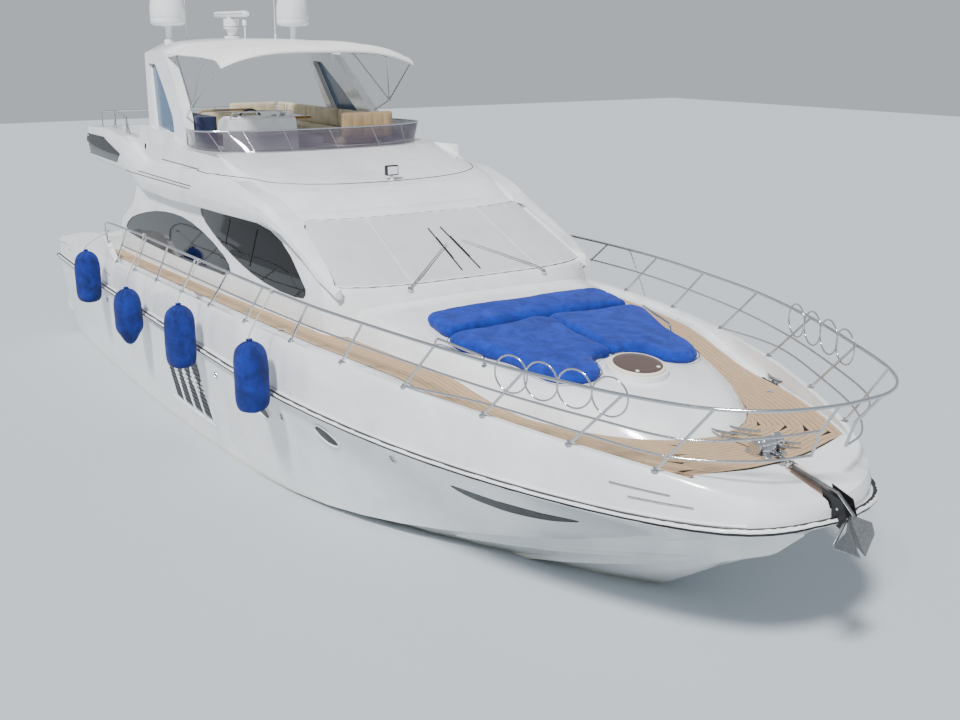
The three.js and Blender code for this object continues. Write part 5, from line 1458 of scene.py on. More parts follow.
@dataclass
class Rails:
    """Stainless guard rails, pulpit and the rings that hold fenders at the bow."""

    gunwale: Sequence[Point] = (
        (-3.6, 2.435, 1.860), (-1.6, 2.450, 1.920), (0.4, 2.450, 1.975), (2.15, 2.430, 2.010),
        (3.4, 2.330, 2.010), (4.6, 2.140, 1.975), (5.6, 1.885, 1.920), (6.4, 1.600, 1.855),
        (7.05, 1.310, 1.790),
        (7.55, 1.020, 1.715),
    )
    feet_x: Sequence[float] = (-3.4, -2.5, -1.5, -0.48, 0.53, 1.62, 2.76, 3.74, 4.70, 5.66, 6.50, 7.20)
    tops: Sequence[Point] = (
        (-2.600, 2.392, 2.470), (-1.680, 2.395, 2.490), (-0.790, 2.395, 2.500), (0.250, 2.395, 2.510),
        (1.290, 2.385, 2.515), (2.270, 2.370, 2.520), (3.280, 2.315, 2.515), (4.220, 2.185, 2.500),
        (5.230, 2.000, 2.480), (6.210, 1.725, 2.440), (7.060, 1.370, 2.405), (7.700, 1.010, 2.400),
    )
    quarter: Sequence[Point] = ((-3.860, 2.325, 2.060), (-3.845, 2.350, 2.30), (-3.700, 2.382, 2.40))
    bow_top: Sequence[Point] = ((8.060, 0.650, 2.420), (8.260, 0.260, 2.450))
    bow_mid: Sequence[Point] = ((7.860, 0.560, 2.130), (8.040, 0.200, 2.170))
    joint_x: float = 6.34
    inboard: float = 0.095
    top_radius: float = 0.0155
    mid_radius: float = 0.0105
    post_radius: float = 0.0125
    ring_radius: float = 0.165
    rings: Sequence[Point] = ((6.02, 1.70, 2.375), (6.31, 1.60, 2.37), (6.61, 1.485, 2.365),
                              (6.91, 1.36, 2.355))

    def build(self) -> None:
        """Make both sides, the pulpit and the fender rings."""
        skin = Skin("deck")
        feet = [self.foot(skin, x) for x in self.feet_x]
        tops = [Vector(p) for p in self.tops]
        mids = [f.lerp(t, 0.52) for f, t in zip(feet, tops)]
        lows = [f.lerp(t, 0.24) for f, t in zip(feet, tops)]
        sides, bow = Shape(), Shape()
        for foot, top in zip(feet, tops):
            (sides if top.x < self.joint_x else bow).add(self.post(foot, top))
        upper = smooth_path([*self.quarter, *tops, *self.bow_top, (8.285, 0.0, 2.455)], 8)
        middle = smooth_path([*mids, *self.bow_mid], 8)
        lower = smooth_path([feet[8] + Vector((0, 0, 0.01)), lows[9], lows[10], lows[11],
                             (7.80, 0.60, 1.925), (7.97, 0.20, 1.945)], 8)
        for line, radius in ((upper, self.top_radius), (middle, self.mid_radius), (lower, self.mid_radius)):
            aft = [p for p in line if p.x <= self.joint_x]
            fore = [aft[-1], *(p for p in line if p.x > self.joint_x)]
            sides.add(tube(aft, radius, 12))
            bow.add(tube(fore, radius, 12))
        for p in (*mids, *lows[9:]):
            (sides if p.x < self.joint_x else bow).add(self.tee(p))
        stay = rounded_path([(7.97, 0.2, 1.945), (8.04, 0.2, 2.17), (8.25, 0.255, 2.45)], 0.05, 4)
        bow.add(tube(stay, self.post_radius, 12))
        piece("guard_rail_port_tubes", sides, STEEL, Slot.STEEL, angle=50, replaces=("guard_rail_port",))
        piece("guard_rail_starboard_tubes", sides.mirrored(), STEEL, Slot.STEEL, angle=50,
              replaces=("guard_rail_starboard",))
        piece("pulpit_tubes", both(bow), STEEL, Slot.STEEL, angle=50, replaces=("pulpit",))
        piece("fender_rings", joined(both(self.ring(p)) for p in self.rings), STEEL, Slot.STEEL, angle=50)

    def foot(self, skin: Skin, x: float) -> Vector:
        """Return where a post stands on the bulwark's cap."""
        for a, b in zip(self.gunwale, self.gunwale[1:]):
            if a[0] <= x <= b[0]:
                y = a[1] + (b[1] - a[1]) * (x - a[0]) / (b[0] - a[0]) - self.inboard
                return skin.top(x, y)
        raise ValueError(f"no bulwark at {x}")

    def post(self, foot: Vector, top: Vector) -> Shape:
        """Return a leaning post with its round base."""
        base = lathe([(0.036, -0.004), (0.036, 0.005), (0.022, 0.011), (0.018, 0.03), (TIP, 0.031)], 20)
        screws = joined(lathe([(0.005, 0.004), (0.005, 0.0085), (TIP, 0.009)], 8).shifted(
            0.028 * math.cos(a), 0.028 * math.sin(a), 0) for a in (0.6, 2.7, 4.8))
        return joined([tube([foot, top], self.post_radius, 12), base.add(screws).shifted(*foot)])

    def tee(self, place: Vector) -> Shape:
        """Return the small cast ball where a lower rail passes a post."""
        ball = [(0.0165 * math.sin(a), -0.0165 * math.cos(a)) for a in (0.2, 0.8, 1.4, 2.0, 2.6, 3.0)]
        return lathe(ball, 12).shifted(*place)

    def ring(self, centre: Point) -> Shape:
        """Return a fender ring in the plane of the rail, straddling the top tube."""
        out = Vector((0.36, 0.93, 0.0)).normalized()
        along = Vector((0.93, -0.36, 0.0)).normalized()
        middle = Vector(centre)
        loop = [middle + along * (self.ring_radius * math.cos(a))
                + Vector((0, 0, self.ring_radius * math.sin(a)))
                + out * 0.03 for a in (k * math.tau / 32 for k in range(32))]
        return tube(loop, 0.008, 10, True)


@dataclass
class Foredeck:
    """Coachroof with its sunbathing pads, headrest, hatch and grab rails."""

    pad_outline: Sequence[tuple[float, float]] = (
        (4.165, 0.003), (4.165, 0.62), (4.165, 1.21), (4.33, 1.255), (4.62, 1.15), (4.95, 1.035),
        (5.30, 0.98),
        (5.53, 0.905), (5.67, 0.76), (5.71, 0.58), (5.645, 0.43), (5.51, 0.345), (5.36, 0.28), (5.285, 0.13),
        (5.27, 0.003), (4.72, 0.003),
    )
    rest_outline: Sequence[tuple[float, float]] = ((3.57, -1.18), (3.57, 1.18), (4.135, 1.23), (4.135, -1.23))
    hatch: Point = (5.64, 0.0, 2.03944)
    hatch_tilt: float = 8.5

    def build(self) -> None:
        """Make the roof, the pads, the hatch and the rails."""
        polished("coachroof", WHITE, angle=30)
        roof = Skin("coachroof")
        path = smooth_path([(x, y, 0) for x, y in self.pad_outline], 6, True)
        port = self.pad("sunpad_port", roof, path, 0.084, 0.004)
        self.cover("sunpad_port_cover", port, "sunpad_port", 1.0)
        other = self.pad("sunpad_starboard", roof, [Vector((p.x, -p.y, 0)) for p in reversed(path)], 0.084,
                         0.004)
        self.cover("sunpad_starboard_cover", other, "sunpad_starboard", 9.0)
        ends = dense(rounded_path([(x, y, 0) for x, y in self.rest_outline], 0.16, 6, True), 0.07)
        rest = self.pad("headrest", roof, ends, 0.095, 0.022)
        self.cover("sunpad_headrest_cover", rest, "sunpad_headrest", 4.0)
        self.piping(roof, path)
        self.hatch_parts()
        self.grab_rails(roof)

    def pad(self, name: str, roof: Skin, loop: Sequence[Vector], height: float,
            crown: float) -> bpy.types.Mesh:
        """Return a pad with rolled edges that lies on the roof, swollen by its filling.

        Args:
            name: Name of its mesh.
            roof: What it lies on.
            loop: Outline seen from above, anticlockwise.
            height: Thickness at its edge.
            crown: How much thicker it is in the middle.

        Returns:
            The pad's mesh.
        """
        n = len(loop)
        centre = sum(loop, Vector()) / n
        roll = height * 0.5
        rows = []
        for step in range(9):
            a = -math.pi / 2 + math.pi * step / 8
            rows.append((roll * (1 - math.cos(a)) + 0.012, roll + roll * math.sin(a), 0.0))
        rows += [(0.0, height, s) for s in (0.12, 0.25, 0.42, 0.6, 0.8, 0.95)]
        rings = []
        for inset, up, share in rows:
            ring = []
            for p in loop:
                out = p - centre
                reach = out.length
                inner = centre + out * max(0.0, (reach - max(inset, roll + 0.012 if share else 0.0)) / reach)
                q = inner.lerp(centre, share)
                top = roof.top(q.x, q.y).z + 0.003
                ring.append((q.x, q.y, top + up + crown * math.sin(share * math.pi / 2)))
            rings.append(ring)
        return stuffed(name, shape_mesh(name, loft(rings)), 0.017, 0.005, 0.02, 3.0)

    def cover(self, name: str, mesh: bpy.types.Mesh, node: str, seed: float) -> None:
        """Dress a pad's mesh in towelling and let its cloth pucker."""
        made = dress(name, wrinkled(wrinkled(mesh, 0.22, 0.008, seed), 0.07, 0.003, seed), BLUE_TERRY,
                     Slot.BLUE,
                     subdivide=1, angle=80, replaces=(node,))

    def piping(self, roof: Skin, path: Sequence[Vector]) -> None:
        """Add the sewn seam that runs round the pads' sides at mid height."""
        seams = []
        for side in (1, -1):
            line = [Vector((p.x, side * p.y, roof.top(p.x, side * p.y).z + 0.046)) for p in path]
            seams.append(tube(line, 0.0045, 6, True))
        piece("sunpad_piping", joined(seams), BLUE_SOCK, Slot.BLUE)

    def hatch_parts(self) -> None:
        """Make the round deck hatch: pale rim, brown dome, two catches and its hinge."""
        place = Matrix.Translation(self.hatch) @ Matrix.Rotation(math.radians(self.hatch_tilt), 4, "Y")
        lid = lathe([(0.255, 0.053), (0.262, 0.055), (0.262, 0.066), (0.240, 0.074), (0.18, 0.0735),
                     (0.1, 0.0742),
                     (TIP, 0.0745)], 64)
        knuckle = tube([(-0.284, -0.06, 0.062), (-0.284, 0.06, 0.062)], 0.008, 12)
        web = block(-0.284, -0.245, -0.055, 0.055, 0.0555, 0.066)
        piece("hatch_dome", lid.moved(place), HATCH_ACRYLIC, Slot.GLASS, "hatch", angle=30,
              replaces=("hatch_lid",))
        piece("hatch_hinge_plate", joined([knuckle, web]).moved(place), STEEL, Slot.STEEL, "hatch")
        rim = lathe([(0.252, 0.0535), (0.2715, 0.0535), (0.2715, 0.066), (0.266, 0.0715), (0.258, 0.0725),
                     (0.2415, 0.0742), (0.243, 0.070), (0.252, 0.066)], 64)
        rim.faces = rim.faces[:-2]
        n = 64
        last = len(rim.points) - n
        rim.faces += [(last + i, last + (i + 1) % n, (i + 1) % n, i) for i in range(n)]
        piece("hatch_rim", rim.moved(place), CREAM, Slot.GELCOAT, "hatch", angle=40)
        knobs = []
        for y in (-0.13, 0.13):
            knobs.append(lathe([(0.02, 0), (0.02, 0.004), (0.012, 0.009), (TIP, 0.010)], 16)
                         .shifted(0.15, y, 0.0742))
        piece("hatch_catches", joined(knobs).moved(place), CREAM, Slot.GELCOAT, "hatch")

    def grab_rails(self, roof: Skin) -> None:
        """Add the low U-shaped rails that stand either side of the pads."""
        rails = []
        for x0, y0, x1, y1 in ((4.127, 1.335, 4.80, 1.19),):
            a, b = roof.top(x0, y0), roof.top(x1, y1)
            path = rounded_path([a, a + Vector((0.02, 0, 0.085)), b + Vector((-0.02, 0, 0.085)), b], 0.05, 6)
            rails.append(tube(path, 0.0125, 12))
            for foot in (a, b):
                rails.append(lathe([(0.028, -0.002), (0.028, 0.004), (0.015, 0.009), (TIP, 0.01)], 18)
                             .shifted(*foot))
        piece("coachroof_grab_rails", both(joined(rails)), STEEL, Slot.STEEL)


@dataclass
class House:
    """Deckhouse with its dark windows, the covered windscreen, wipers and the way in."""

    wipers: Sequence[Sequence[Point]] = (
        # foot of the arm, end of the arm, both ends of the blade
        ((2.897, -0.917, 2.43), (2.269, -0.069, 2.75), (1.949, -0.124, 2.9), (2.752, -0.153, 2.535)),
        ((2.900, 0.880, 2.43), (2.244, 0.153, 2.76), (1.946, 0.045, 2.9), (2.758, 0.087, 2.53)),
    )
    mullions: Sequence[Sequence[tuple[float, float]]] = (
        # top and bottom points of each, seen from the side
        ((-0.17, 2.93), (-0.26, 2.50)), ((0.62, 2.92), (0.52, 2.32)),
    )
    cover_edge: Sequence[tuple[float, float]] = ((2.47, 1.64), (2.52, 1.70), (3.0, 1.56), (3.045, 1.48))

    def build(self) -> None:
        """Dress the house and add its small parts."""
        polished("deckhouse", WHITE, angle=28)
        polished("aft_bulkhead", CREAM)
        polished("saloon_door", GLASS)
        for name, _ in SIDES:
            polished("window_front_" + name, GLASS)
            polished("window_aft_" + name, GLASS)
        polished("windscreen_glass", GLASS)
        self.cover()
        self.window_bars()
        self.wiper_arms()
        self.door_frame()
        self.side_vents()

    def cover(self) -> None:
        """Stretch the mesh cover over the windscreen, hemmed and pressed into small folds."""
        skin = Skin("windscreen_cover")
        house = Skin("deckhouse", "windscreen_glass")
        columns, rows = 96, 26
        front, back = [], []
        for r in range(rows + 1):
            v = r / rows
            z = 2.482 + (3.036 - 2.482) * v
            half = self.half_width(z) - 0.004
            line = []
            for c in range(columns + 1):
                u = -1 + 2 * c / columns
                y = half * math.sin(u * math.pi / 2)
                found = skin.hit((4.5, y, z), (-1, 0, 0)) or house.hit((4.5, y, z), (-1, 0, 0))
                place, normal = found if found else (Vector((2.0, y, z)), Vector((1, 0, 0)))
                fold = 0.004 * noise.noise(Vector((y * 2.2, z * 9, 3.1))) + 0.0035 * math.sin(y * 34
                                                                                              + z * 13) * (
                    abs(v - 0.5) * 2) ** 3
                line.append((place, normal, 0.003 + fold))
            front.append([p + m * d for p, m, d in line])
            back.append([p + m * (d - 0.003) for p, m, d in line])
        shape, edge = lined(front, back)
        width = columns + 1
        cloth = piece("windscreen_mesh", shape, SCREEN_MESH, Slot.MESH, angle=70,
                      replaces=("windscreen_cover",))
        hem_path = [shape.points[i] for i in edge]
        hem = piece("windscreen_hem", tube(hem_path, 0.009, 6, True), WHITE_CANVAS, Slot.MESH)
        seams = []
        for u in (-0.34, 0.34):
            line = []
            for r in range(rows + 1):
                c = round((u + 1) / 2 * columns)
                line.append(shape.points[r * width + c] + Vector((0.003, 0, 0.002)))
            seams.append(tube(line, 0.004, 6))
        bands = piece("windscreen_seams", joined(seams), WHITE_CANVAS, Slot.MESH)
        self.area(front)

    def half_width(self, z: float) -> float:
        """Return half the cover's width at a height."""
        for (z0, y0), (z1, y1) in zip(self.cover_edge, self.cover_edge[1:]):
            if z <= z1:
                return y0 + (y1 - y0) * (z - z0) / (z1 - z0)
        return self.cover_edge[-1][1]

    def area(self, rows: Sequence[Sequence[Vector]]) -> float:
        """Return the area of a net of points."""
        total = 0.0
        for a, b in zip(rows, rows[1:]):
            for k in range(len(a) - 1):
                total += (a[k + 1] - a[k]).cross(b[k] - a[k]).length
        return total

    def window_bars(self) -> None:
        """Add the dark uprights that part the side windows."""
        bars = []
        for _, side in SIDES:
            skin = Skin("window_front_port", "window_front_starboard", "deckhouse")
            for (x0, z0), (x1, z1) in self.mullions:
                line = on_skin(skin, [(x0 + (x1 - x0) * k / 8, z0 + (z1 - z0) * k / 8) for k in range(1, 8)],
                               side, 0.0)
                bars.append(tube(line, 0.010, 6))
        piece("window_bars", joined(bars), BLACK_PLASTIC_AND_SHADE, Slot.GLASS)

    def wiper_arms(self) -> None:
        """Add the wipers that lie on the covered windscreen."""
        skin = Skin("windscreen_cover", "deckhouse")

        def laid(a: Point, b: Point, up: float) -> list[Vector]:
            """Return points from a to b that follow the screen."""
            line = []
            for k in range(9):
                p = Vector(a).lerp(Vector(b), k / 8)
                found = skin.hit(p + Vector((0.8, 0, 0.6)), (-0.8, 0, -0.6))
                line.append((found[0] if found else p) + Vector((0.5, 0, 0.86)) * up)
            return line

        arms, blades = [], []
        for foot, end, low, high in self.wipers:
            arms.append(tube(laid(foot, end, 0.035), lambda t: 0.011 - 0.006 * t, 8))
            base = laid(foot, end, 0.0)[0]
            arms.append(lathe([(0.032, -0.004), (0.032, 0.02), (0.02, 0.035), (TIP, 0.036)], 16)
                        .moved(facing(base, (0.45, 0, 0.9))))
            blades.append(tube(laid(low, high, 0.016), 0.0075, 6))
            blades.append(tube(laid(Vector(low).lerp(Vector(high), 0.25),
                                    Vector(low).lerp(Vector(high), 0.75), 0.03),
                               0.005, 6))
        piece("wiper_arms", joined(arms), STEEL, Slot.STEEL)
        piece("wiper_blades", joined(blades), BLACK_PLASTIC_AND_SHADE, Slot.GRIP)

    def door_frame(self) -> None:
        """Add the frame and handle of the sliding saloon door."""
        box = [(-3.536, -0.69, 1.29), (-3.536, 0.29, 1.29), (-3.536, 0.29, 3.04), (-3.536, -0.69, 3.04)]
        rails = [tube([a, b], 0.012, 4) for a, b in zip(box, box[1:] + box[:1])]
        piece("door_leaf_frame", joined(rails), STEEL, Slot.STEEL, "door")
        pull = rounded_path([(-3.537, 0.2, 2.05), (-3.575, 0.2, 2.05), (-3.575, 0.2, 2.4),
                             (-3.537, 0.2, 2.4)], 0.02)
        piece("door_handle", tube(pull, 0.009, 10), STEEL, Slot.STEEL, "door")

    def side_vents(self) -> None:
        """Add black lines of painted shade in the long styling grooves on the side beams under the flybridge.
        """
        skin = Skin("flybridge", "deckhouse")
        lines = []
        for _, side in SIDES:
            for x0, x1, z0, z1 in ((-4.08, -1.15, 3.135, 3.165), (-3.37, -1.1, 3.19, 3.205)):
                row = on_skin(skin, [(x0 + (x1 - x0) * k / 24, z0 + (z1 - z0) * k / 24) for k in range(25)],
                              side, 0.0)
                lines.append(tube(row, 0.006, 6))
        # The grooves are black lines of painted shade.
        piece("beam_groove_shade", joined(lines), BLACK_PLASTIC_AND_SHADE, Slot.GRIP)


@dataclass
class Flybridge:
    """Upper deck: its moulding, screen, helm, seats, table and small fittings."""

    screen_foot: Sequence[tuple[float, float]] = (
        (-2.08, 1.598), (-1.70, 1.622), (-1.28, 1.540), (-0.93, 1.300), (-0.73, 1.000), (-0.65, 0.560),
        (-0.63, 0.0),
    )
    screen_top: Sequence[tuple[float, float]] = (
        (-2.08, 1.606), (-1.75, 1.690), (-1.38, 1.680), (-1.14, 1.400), (-0.99, 1.040), (-0.92, 0.560),
        (-0.90, 0.0),
    )
    foot_z: float = 3.621
    top_z: float = 3.879
    wheel: Point = (-2.1479, -0.65, 3.921)
    wheel_radius: float = 0.182
    seam: Sequence[tuple[float, float]] = (
        (-2.70, 1.69), (-1.75, 1.65), (-0.70, 1.55), (-0.10, 1.38), (0.14, 1.02), (0.36, 0.55), (0.47, 0.0),
    )
    seam_z: float = 3.41
    wing: Sequence[tuple[float, float]] = (
        (-6.28, 3.54), (-6.24, 3.22), (-4.49, 3.21), (-4.23, 3.36), (-5.21, 3.55),
    )
    aft_rail_height: float = 0.25

    def build(self) -> None:
        """Make the upper deck."""
        polished("flybridge", WHITE, angle=28)
        polished("fly_console", WHITE)
        self.screen()
        self.brow_seam()
        self.helm()
        self.seat()
        self.sofa()
        self.table()
        self.locker()
        self.fittings()
        self.aft_rails()

    def rows(self, half: Sequence[tuple[float, float]], z: float) -> list[Vector]:
        """Return a line right round the front from the port end to the starboard end."""
        whole = [*half, *((x, -y) for x, y in reversed(half[:-1]))]
        return smooth_path([(x, y, z) for x, y in whole], 10)

    def screen(self) -> None:
        """Make the smoked wind screen with its stainless cap rail, foot rail and posts."""
        foot, top = self.rows(self.screen_foot, self.foot_z), self.rows(self.screen_top, self.top_z)
        rows = []
        for v in (0.0, 0.25, 0.5, 0.75, 1.0):
            rows.append([a.lerp(b, v) for a, b in zip(foot, top)])
        n = len(foot)
        inner = []
        for row in rows:
            line = []
            for k, p in enumerate(row):
                a, b = row[max(0, k - 1)], row[min(n - 1, k + 1)]
                along = (b - a).normalized()
                line.append(p + Vector((along.y, -along.x, 0)) * -0.007)
            inner.append(line)
        panes, _ = lined(rows, inner)
        piece("fly_screen_panes", panes, SMOKED, Slot.ACRYLIC, angle=60, replaces=("fly_screen",))
        metal = [tube([p + Vector((0, 0, 0.004)) for p in top], 0.011, 10)]
        metal.append(tube([p + Vector((0.002, 0, 0.008)) for p in foot], 0.006, 8))
        for k in (0, 11, 24, 36, 48, 60, 72, 84, 96, 109, n - 1):
            if k < n:
                metal.append(tube([foot[k] - Vector((0, 0, 0.002)), top[k]], 0.008, 8))
        piece("fly_screen_rail", joined(metal), STEEL, Slot.STEEL, angle=50)

    def brow_seam(self) -> None:
        """Add the black joint line that runs round the brow and down its sides."""
        skin = Skin("flybridge")
        line = []
        for p in self.rows(self.seam, self.seam_z):
            p.z -= 0.07 * max(0.0, 1 - (p.y / 1.3) ** 2)
            out = Vector((1.0, math.copysign(min(1.0, abs(p.y)) * 1.4, p.y),
                          0)) if abs(p.y) < 1.4 else Vector(
                (0.25, math.copysign(1, p.y), 0))
            found = skin.hit(p + out.normalized() * 1.2, -out)
            if found:
                line.append(found[0])
        piece("brow_joint", tube(line, 0.006, 6), BLACK_PLASTIC_AND_SHADE, Slot.GRIP)

    def helm(self) -> None:
        """Make the steering wheel, the throttle box, dials and the console's grab rails."""
        rim = tube([(0, self.wheel_radius * math.cos(a), self.wheel_radius * math.sin(a))
                    for a in (k * math.tau / 48 for k in range(48))], 0.0135, 12, True)
        grips = [tube([(0.001, (self.wheel_radius - 0.004) * math.cos(a),
                        (self.wheel_radius - 0.004) * math.sin(a))
                       for a in (c - 0.28 + 0.56 * j / 8 for j in range(9))], 0.0155, 10)
                       for c in (0.4, 2.74)]
        spokes = []
        for degrees in (90, 210, 330):
            a = math.radians(degrees)
            for shift in (-0.012, 0.012):
                y0, z0 = -math.sin(a) * shift, math.cos(a) * shift
                spokes.append(tube([(0.012, 0.03 * math.cos(a) + y0, 0.03 * math.sin(a) + z0),
                                    (0.006, 0.11 * math.cos(a) + y0, 0.11 * math.sin(a) + z0),
                                    (0, 0.175 * math.cos(a) + y0, 0.175 * math.sin(a) + z0)], 0.006, 8))
        hub = lathe([(0.03, -0.025), (0.03, 0.06), (0.024, 0.088), (TIP, 0.089)], 24).moved(
            Matrix.Rotation(math.radians(90), 4, "Y"))
        cap = lathe([(0.028, 0.0), (0.028, 0.012), (0.012, 0.02), (TIP, 0.021)], 24).moved(
            Matrix.Rotation(math.radians(-90), 4, "Y"))
        place = Matrix.Translation(self.wheel) @ Matrix.Rotation(math.atan2(1, 3), 4, "Y")
        piece("wheel_rim", joined([rim, *grips]).moved(place), GRIP, Slot.GRIP, "helm",
              replaces=("fly_wheel",))
        piece("wheel_spokes", joined([*spokes, hub, cap.shifted(-0.02, 0, 0)]).moved(place), STEEL,
              Slot.STEEL,
              "helm")
        skin = Skin("fly_console")
        dials, faces = Shape(), Shape()
        for y in (-1.0, -0.88, -0.42, -0.30):
            for x in (-1.93, -1.80):
                spot = skin.top(x, y)
                ring = lathe([(0.043, -0.002), (0.043, 0.005), (0.036, 0.008), (0.035, 0.004)], 24)
                ring.faces = ring.faces[:-1]
                lean = Matrix.Rotation(math.radians(-18), 4, "Y")
                dials.add(ring.moved(Matrix.Translation(spot) @ lean))
                faces.add(lathe([(0.036, 0.0), (0.036, 0.004), (TIP, 0.0041)], 24)
                          .moved(Matrix.Translation(spot) @ lean))
        piece("dash_dial_rings", dials, STEEL, Slot.STEEL)
        piece("dash_dial_faces", faces, BLACK_PLASTIC_AND_SHADE, Slot.GRIP)
        spot = skin.top(-1.87, -0.22)
        lever = [tube([spot + Vector((0, dy, 0.0)), spot + Vector((0.03, dy, 0.09)),
                       spot + Vector((0.05, dy, 0.15))],
                      0.006, 8) for dy in (-0.02, 0.02)]
        lever.append(slab([(spot.x - 0.07, spot.y - 0.045), (spot.x + 0.07, spot.y - 0.045),
                           (spot.x + 0.07, spot.y + 0.045), (spot.x - 0.07, spot.y + 0.045)],
                          spot.z - 0.03, spot.z + 0.035))
        piece("throttle_levers", joined(lever), STEEL, Slot.STEEL, bevel=0.004)
        rail = rounded_path([(-1.70, -1.10, 3.98), (-1.66, -1.10, 4.09), (-1.66, -0.20, 4.09),
                             (-1.70, -0.20, 3.98)],
                            0.06, 6)
        piece("console_rail", tube(rail, 0.011, 12), STEEL, Slot.STEEL)

    def cushion(self, outline: Sequence[Point], low: float, high: float, channels: int,
                across: bool = False) -> Shape:
        """Return a sewn cushion: crowned top, rolled edge, and channels from side to side."""
        path = rounded_path([(p[0], p[1], 0) for p in outline], 0.07, 5, True)
        lo = [min(p[i] for p in path) for i in (0, 1)]
        hi = [max(p[i] for p in path) for i in (0, 1)]
        thick = high - low
        roll = min(0.035, thick * 0.4)
        n = len(path)
        centre = sum(path, Vector()) / n
        rings = []
        for inset, up, share in ((0.01, 0.0, 0), (0.0, roll, 0), (0.0, thick - roll, 0),
                                 (roll * 0.3, thick - roll * 0.3, 0),
                                 (roll, thick, 0), (roll, thick, 0.1), (roll, thick, 0.25),
                                 (roll, thick, 0.45),
                                 (roll, thick, 0.7), (roll, thick, 0.93)):
            ring = []
            for p in path:
                out = p - centre
                q = centre + out * (1 - inset / max(out.length, 0.05)) * (1 - share)
                t = (q[1] - lo[1]) / (hi[1] - lo[1]) if across else (q[0] - lo[0]) / (hi[0] - lo[0])
                sewn = up >= thick - roll * 0.5
                groove = 0.012 * abs(math.sin(math.pi * channels * t)) ** 0.5 if sewn else 0.0
                ring.append((q.x, q.y, low + up - 0.012 + groove))
            rings.append(ring)
        return loft(rings)

    def bolster(self, x0: float, x1: float, y0: float, y1: float, z0: float, z1: float, lean: float,
                channels: int) -> Shape:
        """Return an upright back cushion with vertical channels; it leans over x or y."""
        wide_x = x1 - x0 > y1 - y0
        long = (x1 - x0) if wide_x else (y1 - y0)
        thick = (y1 - y0) if wide_x else (x1 - x0)
        n = max(24, channels * 8)
        rings = []
        for k in range(n + 1):
            t = k / n
            end = min(1.0, 6 * min(t, 1 - t) + 0.35) ** 0.5
            puff = (0.80 + 0.20 * abs(math.sin(math.pi * channels * t)) ** 0.5) * end
            ring = []
            for j in range(16):
                a = j * math.tau / 16
                c = math.copysign(abs(math.cos(a)) ** 0.55, math.cos(a)) * 0.5 * thick * puff
                h = 0.5 + 0.5 * math.copysign(abs(math.sin(a)) ** 0.45, math.sin(a)) * (0.96 + 0.04 * end)
                z = z0 + (z1 - z0) * h
                shift = lean * (z - z0)
                if wide_x:
                    ring.append((x0 + long * t, (y0 + y1) / 2 + c + shift, z))
                else:
                    ring.append(((x0 + x1) / 2 + c + shift, y0 + long * t, z))
            rings.append(ring if wide_x else ring[::-1])
        return loft(rings)

    def seat(self) -> None:
        """Make the helm bench: pedestal, moulded pan, cushion and tall tan back."""
        post = lathe([(0.115, 0.0), (0.115, 0.01), (0.06, 0.02), (0.055, 0.24), (0.09, 0.30),
                      (TIP, 0.301)], 28)
        piece("bench_pedestal", post.shifted(-2.62, -0.65, FLY_SOLE), STEEL, Slot.STEEL,
              replaces=("fly_seat",))
        pan = slab([(p.x, p.y) for p in rounded_path([(-2.90, -1.07, 0), (-2.40, -1.07, 0), (-2.40, -0.23, 0),
                                                     (-2.90, -0.23, 0)], 0.09, 5, True)], 3.575, 3.61)
        piece("bench_pan", pan, WHITE, Slot.GELCOAT, bevel=0.008)
        pad = self.cushion([(-2.90, -1.08), (-2.38, -1.08), (-2.38, -0.22), (-2.90, -0.22)], 3.61, 3.735, 4,
                           True)
        upholstered("bench_cushion", pad, BEIGE_VINYL)
        back = self.bolster(-3.0, -2.87, -1.07, -0.23, 3.62, 4.02, -0.11, 6)
        upholstered("bench_back", back, BEIGE_VINYL)
        frame_path = rounded_path([(-2.985, -1.085, 3.60), (-3.00, -1.085, 4.04), (-3.00, -0.215, 4.04),
                                   (-2.985, -0.215, 3.60)], 0.09, 6)
        piece("bench_back_frame", tube(frame_path, 0.017, 10), TAN_VINYL, Slot.HIDE)

    def sofa(self) -> None:
        """Make the wrap-round sofa: moulded base, seat cushions and back rolls."""
        outline = [(-1.30, 0.39), (-1.30, 1.04), (-2.05, 1.40), (-5.68, 1.40), (-5.68, 0.39), (-5.12, 0.39),
                   (-5.12, 0.88), (-2.70, 0.88), (-2.01, 0.72), (-2.01, 0.39)]
        piece("sofa_base", slab(outline, FLY_SOLE, 3.60), WHITE, Slot.GELCOAT, bevel=0.02,
              replaces=("fly_sofa",))
        seats = [
            [(-2.0, 0.40), (-1.42, 0.40), (-1.42, 0.98), (-2.0, 0.72)],
            [(-2.72, 0.90), (-2.04, 0.73), (-1.44, 1.02), (-2.07, 1.27), (-2.72, 1.27)],
            [(-3.68, 0.90), (-2.74, 0.90), (-2.74, 1.27), (-3.68, 1.27)],
            [(-4.64, 0.90), (-3.70, 0.90), (-3.70, 1.27), (-4.64, 1.27)],
            [(-5.54, 0.90), (-4.66, 0.90), (-4.66, 1.27), (-5.54, 1.27)],
            [(-5.54, 0.41), (-5.13, 0.41), (-5.13, 0.88), (-5.54, 0.88)],
        ]
        for k, corners in enumerate(seats):
            upholstered(f"sofa_cushion_{k + 1}", self.cushion(corners, 3.60, 3.71, 4), BEIGE_VINYL)
        backs = [(-3.28, -2.12, 1.275, 1.388), (-4.46, -3.30, 1.275, 1.388), (-5.66, -4.48, 1.275, 1.388)]
        for k, (x0, x1, y0, y1) in enumerate(backs):
            upholstered(f"sofa_back_{k + 1}", self.bolster(x0, x1, y0, y1, 3.69, 3.985, 0.0, 5), BEIGE_VINYL)
        upholstered("sofa_back_front", self.bolster(-1.40, -1.28, 0.41, 1.22, 3.69, 4.055, 0.0, 5), TAN_VINYL)
        upholstered("sofa_back_aft", self.bolster(-5.695, -5.57, 0.41, 1.25, 3.69, 3.985, 0.0, 4),
                    BEIGE_VINYL)

